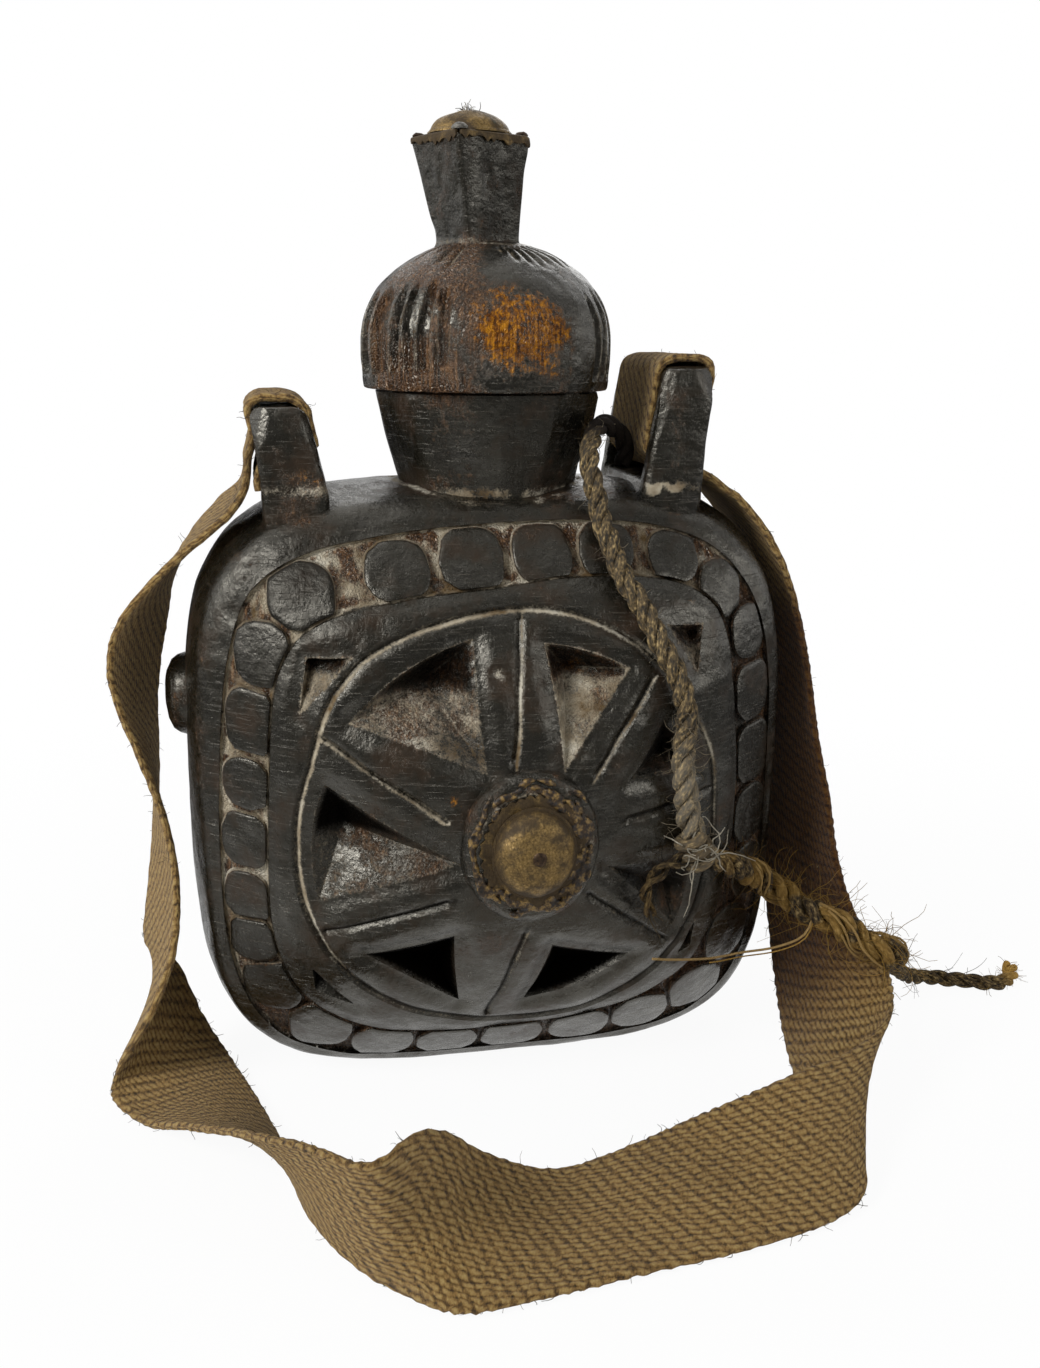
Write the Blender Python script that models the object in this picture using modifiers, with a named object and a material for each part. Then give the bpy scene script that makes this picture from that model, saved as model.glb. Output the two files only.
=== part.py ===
"""Carved wooden water flask: a domed, rounded-square body with a chip-carved wheel, a border of raised
roundels, a flared neck, two slotted lugs, a lid with a square finial and a plug, brass trim, a woven
shoulder strap and a jute tether. Metres, +Z up, front towards -Y, origin at the middle of the foot."""

import math

import bmesh
import bpy
from mathutils import Matrix, Vector

# Clearances
FIT_GAP = 0.0003  # between touching pieces
PLUG_GAP = 0.0004  # around the plug, in the bore
SHAFT_GAP = 0.0003  # around nails and tacks

# Body
BODY_HALF_WIDTH = 0.100  # at the middle of the side walls
BODY_HALF_HEIGHT = 0.100
FOOT_CUT = 0.0015  # how much of the bulge is cut off flat to stand on
EDGE_INSET = 0.005  # how far the arrises lie inside the bulge of the walls
WALL_HALF_DEPTH = 0.029  # from the middle to the arris of each face
FACE_RISE = 0.0405  # how far each face domes beyond its arris
FACE_POWER = 2.33
OUTLINE_POWER = 4.0  # superellipse of the rounded-square outline
WALL_THICKNESS = 0.014
CAVITY_EDGE_DEPTH = 0.024
CAVITY_RISE = 0.031

# Carved border
CHANNEL_OUTER = 0.940  # as a share of the face, 1 at the arris
CHANNEL_INNER = 0.775
CHANNEL_DEPTH = 0.0028
ROUNDELS = 27
ROUNDEL_RADIUS = 0.0090
ROUNDEL_START_TURN = math.radians(131)  # the corner roundel beside the wide space
WIDE_SPACE = 0.008  # extra space after that roundel

# Carved wheel
WHEEL_DROP = 0.0030  # its centre lies below the middle of the face
WHEEL_GROOVE_RADIUS = 0.0668
POCKET_RIM_RADIUS = 0.0595
POCKET_DEPTH = 0.0085
GROOVE_WIDTH = 0.0018
GROOVE_DEPTH = 0.0011
SPOKE_TURNS = (89, 45, 9, -40, -96, -149, 153)  # degrees, cut by eye and so uneven
SPOKE_HALF_WIDTH = 0.0052
POCKET_APEX_RADII = (0.0245, 0.0330, 0.0265, 0.0390, 0.0390, 0.0235, 0.0245)
CORNER_POCKET_REACH = 0.0615  # from the middle of the face to the pocket's corner, across and up
CORNER_POCKET_LEG = 0.0140
CORNER_POCKET_DEPTH = 0.0045
HUB_X = 0.002
HUB_RADIUS = 0.0215
HUB_RISE = 0.0040

# Brass on the hub
WASHER_RADIUS = 0.0170
WASHER_TEETH = 30
TOOTH_DEPTH = 0.0016
SHEET_THICKNESS = 0.0008
HUB_DOME_RADIUS = 0.0120
HUB_DOME_RISE = 0.0075
NAIL_RADIUS = 0.0010
NAIL_HEAD_RADIUS = 0.0025
NAIL_HEAD_RISE = 0.0012
NAIL_LENGTH = 0.0100  # in the wood

# Boss on the left wall
BOSS_LIFT = 0.0300  # above the middle of the wall
BOSS_RADIUS = 0.0135
BOSS_RISE = 0.0065

# Neck and bore
NECK_HEIGHT = 0.0275  # above the top of the body
NECK_ROOT = 0.0200  # how far it runs down into the body
NECK_CHAMFER = 0.0012
NECK_BASE_RADIUS = 0.0293
NECK_TOP_RADIUS = 0.0363
BORE_RADIUS = 0.0150

# Lugs
LUG_SPACING = 0.1180  # between their bases
LUG_SHIFT = -0.0035  # both sit a little left of the middle
LUG_LEAN = 0.0050  # outwards, from base to top
LUG_ROOT = 0.0190  # how far the lugs run down into the body, from the floor of the slot
LUG_SLOT_RISE = 0.0005  # the slot's floor above the top of the body
LEFT_CROSSBAR_HEIGHT = 0.0110
RIGHT_CROSSBAR_HEIGHT = 0.0235
LUG_POST_THICKNESS = 0.0061
LUG_BASE_HALF_THICKNESS = 0.0090
LUG_TOP_HALF_THICKNESS = 0.0068
LUG_SLOT_HEIGHT = 0.0120
LUG_ROUNDING = 0.0028

# Strap
STRAP_WIDTH = 0.0430
STRAP_THICKNESS = 0.0024
SLOT_SIDE_GAP = 0.0007
WRAP_GAP = 0.0007  # between the strap and the crossbar that it goes round

# Lid
LID_RADIUS = 0.0403
LID_RIM_RADIUS = 0.0392
LID_SIDE_HEIGHT = 0.0147  # from the rim up to the widest ring
LID_RISE = 0.0310  # from the widest ring up to the crown
FLUTES_EACH_SIDE = 7
FLUTE_DEPTH = 0.0013
FLUTE_HALF_ARC = math.radians(62)
LID_TURN = math.radians(14)  # the lid sits turned on the neck
PLUG_LENGTH = 0.0240
PLUG_TAPER = 0.0010

# Finial
FINIAL_ROOT = 0.0080  # how far the column runs down into the lid, from the crown
FINIAL_HEIGHT = 0.0285  # above the crown
FINIAL_BASE_SIDE = 0.0185
FINIAL_TOP_SIDE = 0.0270
FINIAL_TURN = math.radians(25)
FINIAL_BASE_X = -0.0026
FINIAL_TOP_X = -0.0054
FINIAL_ROUNDING = 0.0012

# Brass on the finial
SKIRT_LENGTH = 0.0030
SKIRT_TEETH = 9  # along each side
FINIAL_DOME_RADIUS = 0.0122
FINIAL_DOME_RISE = 0.0075
TACK_RADIUS = 0.0006
TACK_HEAD_RADIUS = 0.0015
TACK_HEAD_RISE = 0.0014
TACK_LENGTH = 0.0050
TACK_INSET = 0.0030  # from the finial's sides

# Tether
TETHER_DIAMETER = 0.0065

# Heights that follow from these
BODY_CENTRE_Z = BODY_HALF_HEIGHT - FOOT_CUT
BODY_TOP_Z = BODY_CENTRE_Z + BODY_HALF_HEIGHT
WHEEL_CENTRE_Z = BODY_CENTRE_Z - WHEEL_DROP
NECK_TOP_Z = BODY_TOP_Z + NECK_HEIGHT
LUG_SLOT_FLOOR_Z = BODY_TOP_Z + LUG_SLOT_RISE
LUG_SLOT_TOP_Z = LUG_SLOT_FLOOR_Z + LUG_SLOT_HEIGHT
LUG_TOP_Z = {-1: LUG_SLOT_TOP_Z + LEFT_CROSSBAR_HEIGHT, 1: LUG_SLOT_TOP_Z + RIGHT_CROSSBAR_HEIGHT}
LUG_HALF_LENGTH = STRAP_WIDTH / 2 + SLOT_SIDE_GAP + LUG_POST_THICKNESS
LID_RIM_Z = NECK_TOP_Z + FIT_GAP
LID_WIDEST_Z = LID_RIM_Z + LID_SIDE_HEIGHT
LID_CROWN_Z = LID_WIDEST_Z + LID_RISE
FINIAL_BASE_Z = LID_CROWN_Z - FINIAL_ROOT
FINIAL_TOP_Z = LID_CROWN_Z + FINIAL_HEIGHT

# Facets
OUTLINE_STEPS = 72
CAVITY_STEPS = 32
ROUND_STEPS = 32
SMALL_STEPS = 16

# The strap's two edges, front edge first. Beside the body each point is its distance outwards from the wall,
# its place from front to back, and its height above the body's top at the shoulders or above the floor below them
LEFT_SHOULDER_ROUTE = (
    ((-0.0160, -0.0210, -0.0105), (-0.0150, 0.0220, -0.0090)),
    ((-0.0050, -0.0195, -0.0195), (-0.0045, 0.0235, -0.0210)),
    ((0.0060, -0.0185, -0.0295), (0.0030, 0.0240, -0.0345)),
    ((0.0170, -0.0170, -0.0425), (0.0060, 0.0240, -0.0485)),
)
LEFT_SIDE_ROUTE = (
    ((0.0210, -0.0165, 0.1430), (0.0090, 0.0240, 0.1360)),
    ((0.0190, -0.0170, 0.1290), (0.0115, 0.0235, 0.1190)),
    ((0.0130, -0.0190, 0.1120), (0.0120, 0.0220, 0.1010)),
    ((0.0070, -0.0220, 0.0930), (0.0130, 0.0180, 0.0790)),
    ((0.0040, -0.0260, 0.0730), (0.0155, 0.0120, 0.0570)),
    ((0.0060, -0.0300, 0.0520), (0.0180, 0.0070, 0.0400)),
    ((0.0140, -0.0310, 0.0320), (0.0150, 0.0080, 0.0330)),
    ((0.0250, -0.0290, 0.0120), (0.0080, 0.0050, 0.0300)),
)
FLOOR_ROUTE = (
    ((-0.1270, -0.0350, 0.0035), (-0.0990, -0.0040, 0.0120)),
    ((-0.1160, -0.0500, 0.0030), (-0.0910, -0.0160, 0.0035)),
    ((-0.1010, -0.0730, 0.0150), (-0.0830, -0.0380, 0.0022)),
    ((-0.0890, -0.0960, 0.0270), (-0.0760, -0.0640, 0.0020)),
    ((-0.0790, -0.1120, 0.0350), (-0.0710, -0.0860, 0.0020)),
    ((-0.0710, -0.1230, 0.0390), (-0.0670, -0.1030, 0.0020)),
    ((-0.0630, -0.1330, 0.0410), (-0.0610, -0.1170, 0.0020)),
    ((-0.0560, -0.1400, 0.0425), (-0.0550, -0.1270, 0.0020)),
    ((-0.0490, -0.1400, 0.0440), (-0.0490, -0.1350, 0.0020)),
    ((-0.0410, -0.1310, 0.0420), (-0.0430, -0.1410, 0.0020)),
    ((-0.0320, -0.1210, 0.0360), (-0.0370, -0.1460, 0.0020)),
    ((-0.0200, -0.1130, 0.0230), (-0.0280, -0.1490, 0.0020)),
    ((0.0020, -0.1060, 0.0100), (-0.0080, -0.1470, 0.0020)),
    ((0.0270, -0.1020, 0.0120), (0.0200, -0.1430, 0.0020)),
    ((0.0510, -0.1000, 0.0190), (0.0500, -0.1390, 0.0020)),
)
RIGHT_SIDE_ROUTE = (
    ((-0.0220, -0.0960, 0.0250), (-0.0210, -0.1320, 0.0025)),
    ((0.0020, -0.0860, 0.0260), (-0.0080, -0.1220, 0.0040)),
    ((0.0190, -0.0760, 0.0270), (-0.0070, -0.1030, 0.0060)),
    ((0.0260, -0.0670, 0.0320), (-0.0090, -0.0760, 0.0090)),
    ((0.0240, -0.0600, 0.0420), (-0.0040, -0.0500, 0.0120)),
    ((0.0180, -0.0500, 0.0560), (0.0010, -0.0270, 0.0240)),
    ((0.0150, -0.0410, 0.0740), (0.0040, -0.0090, 0.0470)),
    ((0.0110, -0.0330, 0.1010), (0.0055, 0.0050, 0.0820)),
    ((0.0070, -0.0250, 0.1330), (0.0055, 0.0150, 0.1180)),
)
RIGHT_SHOULDER_ROUTE = (
    ((0.0010, -0.0210, -0.0385), (0.0000, 0.0210, -0.0425)),
    ((-0.0075, -0.0210, -0.0205), (-0.0075, 0.0215, -0.0210)),
    ((-0.0185, -0.0215, -0.0075), (-0.0180, 0.0215, -0.0075)),
)

# The middle of the tether, from the right lug's slot down the face, over the strap's edge and along the floor
TETHER_ROUTE = (
    (0.0443, -0.0085, 0.2030),
    (0.0435, -0.0115, 0.2100),
    (0.0380, -0.0160, 0.2150),
    (0.0328, -0.0215, 0.2160),
    (0.0287, -0.0275, 0.2125),
    (0.0262, -0.0335, 0.2060),
    (0.0270, -0.0360, 0.1995),
    (0.0283, -0.0368, 0.1940),
    (0.0290, -0.0395, 0.1885),
    (0.0303, -0.0440, 0.1832),
    (0.0332, -0.0512, 0.1728),
    (0.0378, -0.0560, 0.1650),
    (0.0424, -0.0605, 0.1548),
    (0.0480, -0.0630, 0.1436),
    (0.0507, -0.0644, 0.1318),
    (0.0497, -0.0655, 0.1187),
    (0.0512, -0.0651, 0.1087),
    (0.0533, -0.0642, 0.0985),
    (0.0580, -0.0620, 0.0880),
    (0.0655, -0.0585, 0.0818),
    (0.0755, -0.0525, 0.0762),
    (0.0850, -0.0455, 0.0695),
    (0.0925, -0.0470, 0.0645),
    (0.0990, -0.0530, 0.0600),
    (0.1070, -0.0595, 0.0580),
    (0.1145, -0.0620, 0.0530),
    (0.1212, -0.0650, 0.0490),
    (0.1285, -0.0610, 0.0440),
    (0.1340, -0.0505, 0.0380),
    (0.1420, -0.0350, 0.0270),
    (0.1530, -0.0210, 0.0165),
    (0.1640, -0.0100, 0.0070),
    (0.1750, -0.0060, 0.0036),
    (0.1870, -0.0110, 0.0035),
    (0.1980, -0.0150, 0.0035),
    (0.2060, -0.0115, 0.0035),
    (0.2105, -0.0040, 0.0035),
)
BRANCH_ROUTE = (
    (0.0536, -0.0642, 0.0868),
    (0.0490, -0.0662, 0.0855),
    (0.0440, -0.0677, 0.0840),
    (0.0395, -0.0688, 0.0805),
    (0.0385, -0.0690, 0.0755),
    (0.0410, -0.0676, 0.0690),
)


def remove_everything():
    for found in list(bpy.data.objects):
        bpy.data.objects.remove(found)


def new_collection(name):
    made = bpy.data.collections.new(name)
    bpy.context.scene.collection.children.link(made)
    return made


def finish_material(name, colour, roughness, metallic=0.0):
    made = bpy.data.materials.new(name)
    made.use_nodes = True
    shader = made.node_tree.nodes["Principled BSDF"]
    shader.inputs["Base Color"].default_value = (*colour, 1.0)
    shader.inputs["Roughness"].default_value = roughness
    shader.inputs["Metallic"].default_value = metallic
    made.diffuse_color = (*colour, 1.0)
    return made


remove_everything()
PARTS = new_collection("wooden_flask")
CUTTERS = new_collection("flask_cutters")
WOOD = finish_material("oiled_dark_wood", (0.035, 0.022, 0.016), 0.35)
BRASS = finish_material("aged_brass", (0.26, 0.19, 0.09), 0.42, 1.0)
IRON = finish_material("blackened_iron", (0.05, 0.045, 0.04), 0.5, 1.0)
WEBBING = finish_material("jute_webbing", (0.21, 0.16, 0.09), 0.9)
JUTE = finish_material("jute_cord", (0.20, 0.13, 0.06), 0.9)


def add_object(name, mesh, material=None, smooth_angle=32):
    """A part, or a cutter when it has no material."""
    made = bpy.data.objects.new(name, mesh)
    if material is None:
        CUTTERS.objects.link(made)
        made.hide_render = True
        made.display_type = "WIRE"
        return made
    PARTS.objects.link(made)
    made.data.materials.append(material)
    made.data.shade_smooth()
    made.data.set_sharp_from_angle(angle=math.radians(smooth_angle))
    return made


def mesh_from(bm, name):
    bmesh.ops.recalc_face_normals(bm, faces=bm.faces)
    mesh = bpy.data.meshes.new(name)
    bm.to_mesh(mesh)
    bm.free()
    return mesh


def boolean(target, cutter, operation):
    modifier = target.modifiers.new(f"{operation.lower()}_{cutter.name}", "BOOLEAN")
    modifier.operation = operation
    modifier.object = cutter
    modifier.solver = "EXACT"


def loft(rings, closed=False, caps=True):
    """Bridges rings of equal length; a closed loft joins the last ring to the first."""
    bm = bmesh.new()
    made = [[bm.verts.new(point) for point in ring] for ring in rings]
    pairs = list(zip(made, made[1:] + made[:1] if closed else made[1:]))
    for first, second in pairs:
        count = len(first)
        for i in range(count):
            j = (i + 1) % count
            bm.faces.new((first[i], first[j], second[j], second[i]))
    if caps and not closed:
        bm.faces.new(made[0])
        bm.faces.new(made[-1])
    return bm


def turned(name, profile, material=None, steps=ROUND_STEPS, matrix=None):
    """A closed profile of (radius, height), open at the axis, turned about Z with a Screw modifier."""
    mesh = bpy.data.meshes.new(name)
    points = [(radius, 0.0, height) for radius, height in profile]
    mesh.from_pydata(points, [(i, i + 1) for i in range(len(points) - 1)], [])
    made = add_object(name, mesh, material)
    screw = made.modifiers.new("turn", "SCREW")
    screw.steps = steps
    screw.render_steps = steps
    screw.use_merge_vertices = True
    screw.merge_threshold = 0.00001
    screw.use_smooth_shade = True
    if matrix is not None:
        made.matrix_world = matrix
    return made


def rod_profile(radius, high, low):
    return ((0.0, high), (radius, high), (radius, low), (0.0, low))


def spline(points, per_span):
    """Points along a Catmull-Rom curve through the given ones."""
    vectors = [Vector(point) for point in points]
    padded = [2 * vectors[0] - vectors[1], *vectors, 2 * vectors[-1] - vectors[-2]]
    made = []
    for a, b, c, d in zip(padded, padded[1:], padded[2:], padded[3:]):
        for step in range(per_span):
            t = step / per_span
            bend = (2 * a - 5 * b + 4 * c - d) * t**2
            twist = (3 * b - a - 3 * c + d) * t**3
            made.append(0.5 * (2 * b + (c - a) * t + bend + twist))
    made.append(vectors[-1])
    return made


# The body's outline and its domed face


def outline(turn, half_width, half_height):
    c, s = math.cos(turn), math.sin(turn)
    radius = (abs(c) ** OUTLINE_POWER + abs(s) ** OUTLINE_POWER) ** (-1 / OUTLINE_POWER)
    return radius * c * half_width, BODY_CENTRE_Z + radius * s * half_height


def edge_half():
    return BODY_HALF_WIDTH - EDGE_INSET, BODY_HALF_HEIGHT - EDGE_INSET


def ring(share, y, half_width, half_height, steps=OUTLINE_STEPS):
    made = []
    for i in range(steps):
        x, z = outline(2 * math.pi * i / steps, half_width, half_height)
        made.append((share * x, y, BODY_CENTRE_Z + share * (z - BODY_CENTRE_Z)))
    return made


def face_share(x, z):
    """How far a point lies from the middle of the face to its arris, from 0 to 1."""
    half_width, half_height = edge_half()
    u = abs(x / half_width)
    v = abs((z - BODY_CENTRE_Z) / half_height)
    return (u**OUTLINE_POWER + v**OUTLINE_POWER) ** (1 / OUTLINE_POWER)


def face_y(x, z):
    return -(WALL_HALF_DEPTH + FACE_RISE * (1 - min(face_share(x, z), 1.0) ** FACE_POWER))


def on_face(x, z):
    return Vector((x, face_y(x, z), z))


def face_normal(x, z, reach=0.001):
    across = on_face(x + reach, z) - on_face(x - reach, z)
    up = on_face(x, z + reach) - on_face(x, z - reach)
    return across.cross(up).normalized()


def pillow(name, edge_width, edge_height, bulge, edge_depth, rise, steps, dome_shares):
    """A rounded-square block with bulging walls and a dome on both faces."""
    rings = []
    for share in dome_shares[::-1]:
        y = edge_depth + rise * (1 - share**FACE_POWER)
        rings.append(ring(share, y, edge_width, edge_height, steps))
    for part in (1.0, 0.5, 0.0, -0.5, -1.0):
        swell = bulge * (1 - part**2)
        rings.append(ring(1.0, part * edge_depth, edge_width + swell, edge_height + swell, steps))
    for share in dome_shares:
        y = -edge_depth - rise * (1 - share**FACE_POWER)
        rings.append(ring(share, y, edge_width, edge_height, steps))
    bm = loft(rings, caps=False)
    bm.verts.ensure_lookup_table()
    for first, y in ((0, edge_depth + rise), (len(rings) - 1, -edge_depth - rise)):
        pole = bm.verts.new((0.0, y, BODY_CENTRE_Z))
        edge = bm.verts[first * steps : first * steps + steps]
        for i in range(steps):
            bm.faces.new((edge[i], edge[(i + 1) % steps], pole))
    return mesh_from(bm, name)


def channel_cutter():
    """The border's channel: a band between two shares of the face, its floor following the dome."""
    half_width, half_height = edge_half()
    middle = (CHANNEL_INNER + CHANNEL_OUTER) / 2
    clear = 0.006
    section = []
    for share, lift in (
        (CHANNEL_OUTER, -clear),
        (CHANNEL_OUTER, CHANNEL_DEPTH),
        (middle, CHANNEL_DEPTH * 1.1),
        (CHANNEL_INNER, CHANNEL_DEPTH),
        (CHANNEL_INNER, -clear),
        (middle, -clear),
    ):
        y = -WALL_HALF_DEPTH - FACE_RISE * (1 - share**FACE_POWER) + lift
        section.append(ring(share, y, half_width, half_height))
    return add_object("channel_cutter", mesh_from(loft(section, closed=True), "channel_cutter"))


def roundel_places():
    """Centres of the roundels, evenly spaced along the channel but for one wide space."""
    half_width, half_height = edge_half()
    share = (CHANNEL_INNER + CHANNEL_OUTER) / 2
    count = 720
    path = []
    for i in range(count + 1):
        x, z = outline(ROUNDEL_START_TURN - 2 * math.pi * i / count, half_width, half_height)
        path.append(Vector((share * x, 0, BODY_CENTRE_Z + share * (z - BODY_CENTRE_Z))))
    lengths = [0.0]
    for a, b in zip(path, path[1:]):
        lengths.append(lengths[-1] + (b - a).length)
    pitch = (lengths[-1] - WIDE_SPACE) / ROUNDELS
    places = []
    for i in range(ROUNDELS):
        along = i * pitch + (WIDE_SPACE if i else 0.0)
        nearest = min(range(count), key=lambda k: abs(lengths[k] - along))
        places.append((path[nearest].x, path[nearest].z))
    return places


def roundels():
    """Low discs that stand on the channel's floor, just below the face."""
    bm = bmesh.new()
    height = CHANNEL_DEPTH * 2
    for x, z in roundel_places():
        normal = face_normal(x, z)
        turn = normal.to_track_quat("Z", "Y").to_matrix().to_4x4()
        centre = on_face(x, z) - normal * (height / 2 + 0.0003)
        bmesh.ops.create_cone(
            bm,
            cap_ends=True,
            segments=SMALL_STEPS,
            radius1=ROUNDEL_RADIUS,
            radius2=ROUNDEL_RADIUS * 0.94,
            depth=height,
            matrix=Matrix.Translation(centre) @ turn,
        )
    return add_object("roundels", mesh_from(bm, "roundels"))


def wheel_point(radius, degrees):
    turn = math.radians(degrees)
    return radius * math.cos(turn), WHEEL_CENTRE_Z + radius * math.sin(turn)


def chip(bm, corners, deep, depth):
    """A chip cut: three corners on the face and one deepest point, widened above the surface."""
    lowest = on_face(*deep) - face_normal(*deep) * depth
    points = [lowest]
    for corner in corners:
        points.append(lowest + (on_face(*corner) - lowest) * 1.5)
    made = [bm.verts.new(point) for point in points]
    bmesh.ops.convex_hull(bm, input=made)


def pockets():
    """The seven pockets between the spokes and the four at the corners, as chip cuts."""
    bm = bmesh.new()
    turns = [*SPOKE_TURNS, SPOKE_TURNS[0] - 360]
    for first, second, apex_radius in zip(turns, turns[1:], POCKET_APEX_RADII):
        if second > first:
            second -= 360
        margin = math.degrees(SPOKE_HALF_WIDTH / POCKET_RIM_RADIUS)
        middle = (first + second) / 2
        corners = (
            wheel_point(POCKET_RIM_RADIUS, first - margin),
            wheel_point(POCKET_RIM_RADIUS, second + margin),
            wheel_point(apex_radius, middle),
        )
        chip(bm, corners, wheel_point(POCKET_RIM_RADIUS - 0.006, middle), POCKET_DEPTH)
    for side in (-1, 1):
        for up in (-1, 1):
            x = side * CORNER_POCKET_REACH
            z = WHEEL_CENTRE_Z + up * CORNER_POCKET_REACH * 0.88
            corners = ((x, z), (x - side * CORNER_POCKET_LEG, z), (x, z - up * CORNER_POCKET_LEG * 1.1))
            deep = (x - side * CORNER_POCKET_LEG * 0.25, z - up * CORNER_POCKET_LEG * 0.25)
            chip(bm, corners, deep, CORNER_POCKET_DEPTH)
    return add_object("pocket_cutters", mesh_from(bm, "pocket_cutters"))


def groove(name, places, closed):
    """A V groove along places on the face."""
    rings = []
    for i, (x, z) in enumerate(places):
        before = places[i - 1] if closed or i else places[i]
        after = places[(i + 1) % len(places)] if closed or i + 1 < len(places) else places[i]
        along = (on_face(*after) - on_face(*before)).normalized()
        normal = face_normal(x, z)
        side = along.cross(normal).normalized() * GROOVE_WIDTH
        centre = on_face(x, z)
        clear = centre + normal * GROOVE_DEPTH
        rings.append([clear + side, clear - side, centre - normal * GROOVE_DEPTH])
    return add_object(name, mesh_from(loft(rings, closed=closed), name))


def wheel_grooves():
    ring_places = [wheel_point(WHEEL_GROOVE_RADIUS, -360 * i / 64) for i in range(64)]
    made = [groove("wheel_ring_groove", ring_places, True)]
    start = HUB_RADIUS + 0.003
    end = WHEEL_GROOVE_RADIUS - 0.004
    for number, degrees in enumerate(SPOKE_TURNS, 1):
        places = [wheel_point(start + (end - start) * i / 5, degrees) for i in range(6)]
        made.append(groove(f"spoke_groove_{number}", places, False))
    return made


# Fittings that sit on the face


def hub_front_y():
    return -(WALL_HALF_DEPTH + FACE_RISE + HUB_RISE)


def hub_matrix(y):
    """Turned pieces on the hub: their +Z looks out along -Y."""
    return Matrix.Translation((HUB_X, y, WHEEL_CENTRE_Z)) @ Matrix.Rotation(math.radians(90), 4, "X")


def neck_profile():
    flare = NECK_TOP_RADIUS - NECK_BASE_RADIUS
    low = BODY_TOP_Z - NECK_ROOT
    return (
        (0.0, NECK_TOP_Z),
        (NECK_TOP_RADIUS - NECK_CHAMFER, NECK_TOP_Z),
        (NECK_TOP_RADIUS, NECK_TOP_Z - NECK_CHAMFER),
        (NECK_TOP_RADIUS - flare * 0.2, NECK_TOP_Z - NECK_HEIGHT * 0.33),
        (NECK_TOP_RADIUS - flare * 0.5, NECK_TOP_Z - NECK_HEIGHT * 0.62),
        (NECK_TOP_RADIUS - flare * 0.85, NECK_TOP_Z - NECK_HEIGHT * 0.84),
        (NECK_BASE_RADIUS, BODY_TOP_Z),
        (NECK_BASE_RADIUS, low),
        (0.0, low),
    )


def lug_centre_x(side, z):
    rise = (z - LUG_SLOT_FLOOR_Z) / (LUG_TOP_Z[side] - LUG_SLOT_FLOOR_Z)
    return LUG_SHIFT + side * (LUG_SPACING / 2 + LUG_LEAN * max(rise, 0.0))


def lug(side):
    """A leaning, tapered block; its slot is cut afterwards."""
    top_z = LUG_TOP_Z[side]
    rings = []
    for z, half in (
        (LUG_SLOT_FLOOR_Z - LUG_ROOT, LUG_BASE_HALF_THICKNESS),
        (LUG_SLOT_FLOOR_Z, LUG_BASE_HALF_THICKNESS),
        (LUG_SLOT_TOP_Z, LUG_TOP_HALF_THICKNESS),
        (top_z, LUG_TOP_HALF_THICKNESS),
    ):
        x = lug_centre_x(side, z)
        length = LUG_HALF_LENGTH
        corners = ((-half, -length), (half, -length), (half, length), (-half, length))
        rings.append([(x + across, y, z) for across, y in corners])
    made = add_object("lug_left" if side < 0 else "lug_right", mesh_from(loft(rings), "lug"))
    bevel = made.modifiers.new("rounding", "BEVEL")
    bevel.width = LUG_ROUNDING
    bevel.segments = 2
    bevel.limit_method = "ANGLE"
    return made


def lug_slot(side):
    half = STRAP_WIDTH / 2 + SLOT_SIDE_GAP
    middle_z = (LUG_SLOT_FLOOR_Z + LUG_SLOT_TOP_Z) / 2
    bm = bmesh.new()
    bmesh.ops.create_cube(bm, size=1.0)
    bmesh.ops.scale(bm, vec=(4 * LUG_BASE_HALF_THICKNESS, 2 * half, LUG_SLOT_HEIGHT), verts=bm.verts)
    bmesh.ops.translate(bm, vec=(lug_centre_x(side, middle_z), 0, middle_z), verts=bm.verts)
    return add_object(f"slot_cutter_{'left' if side < 0 else 'right'}", mesh_from(bm, "slot_cutter"))


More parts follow.
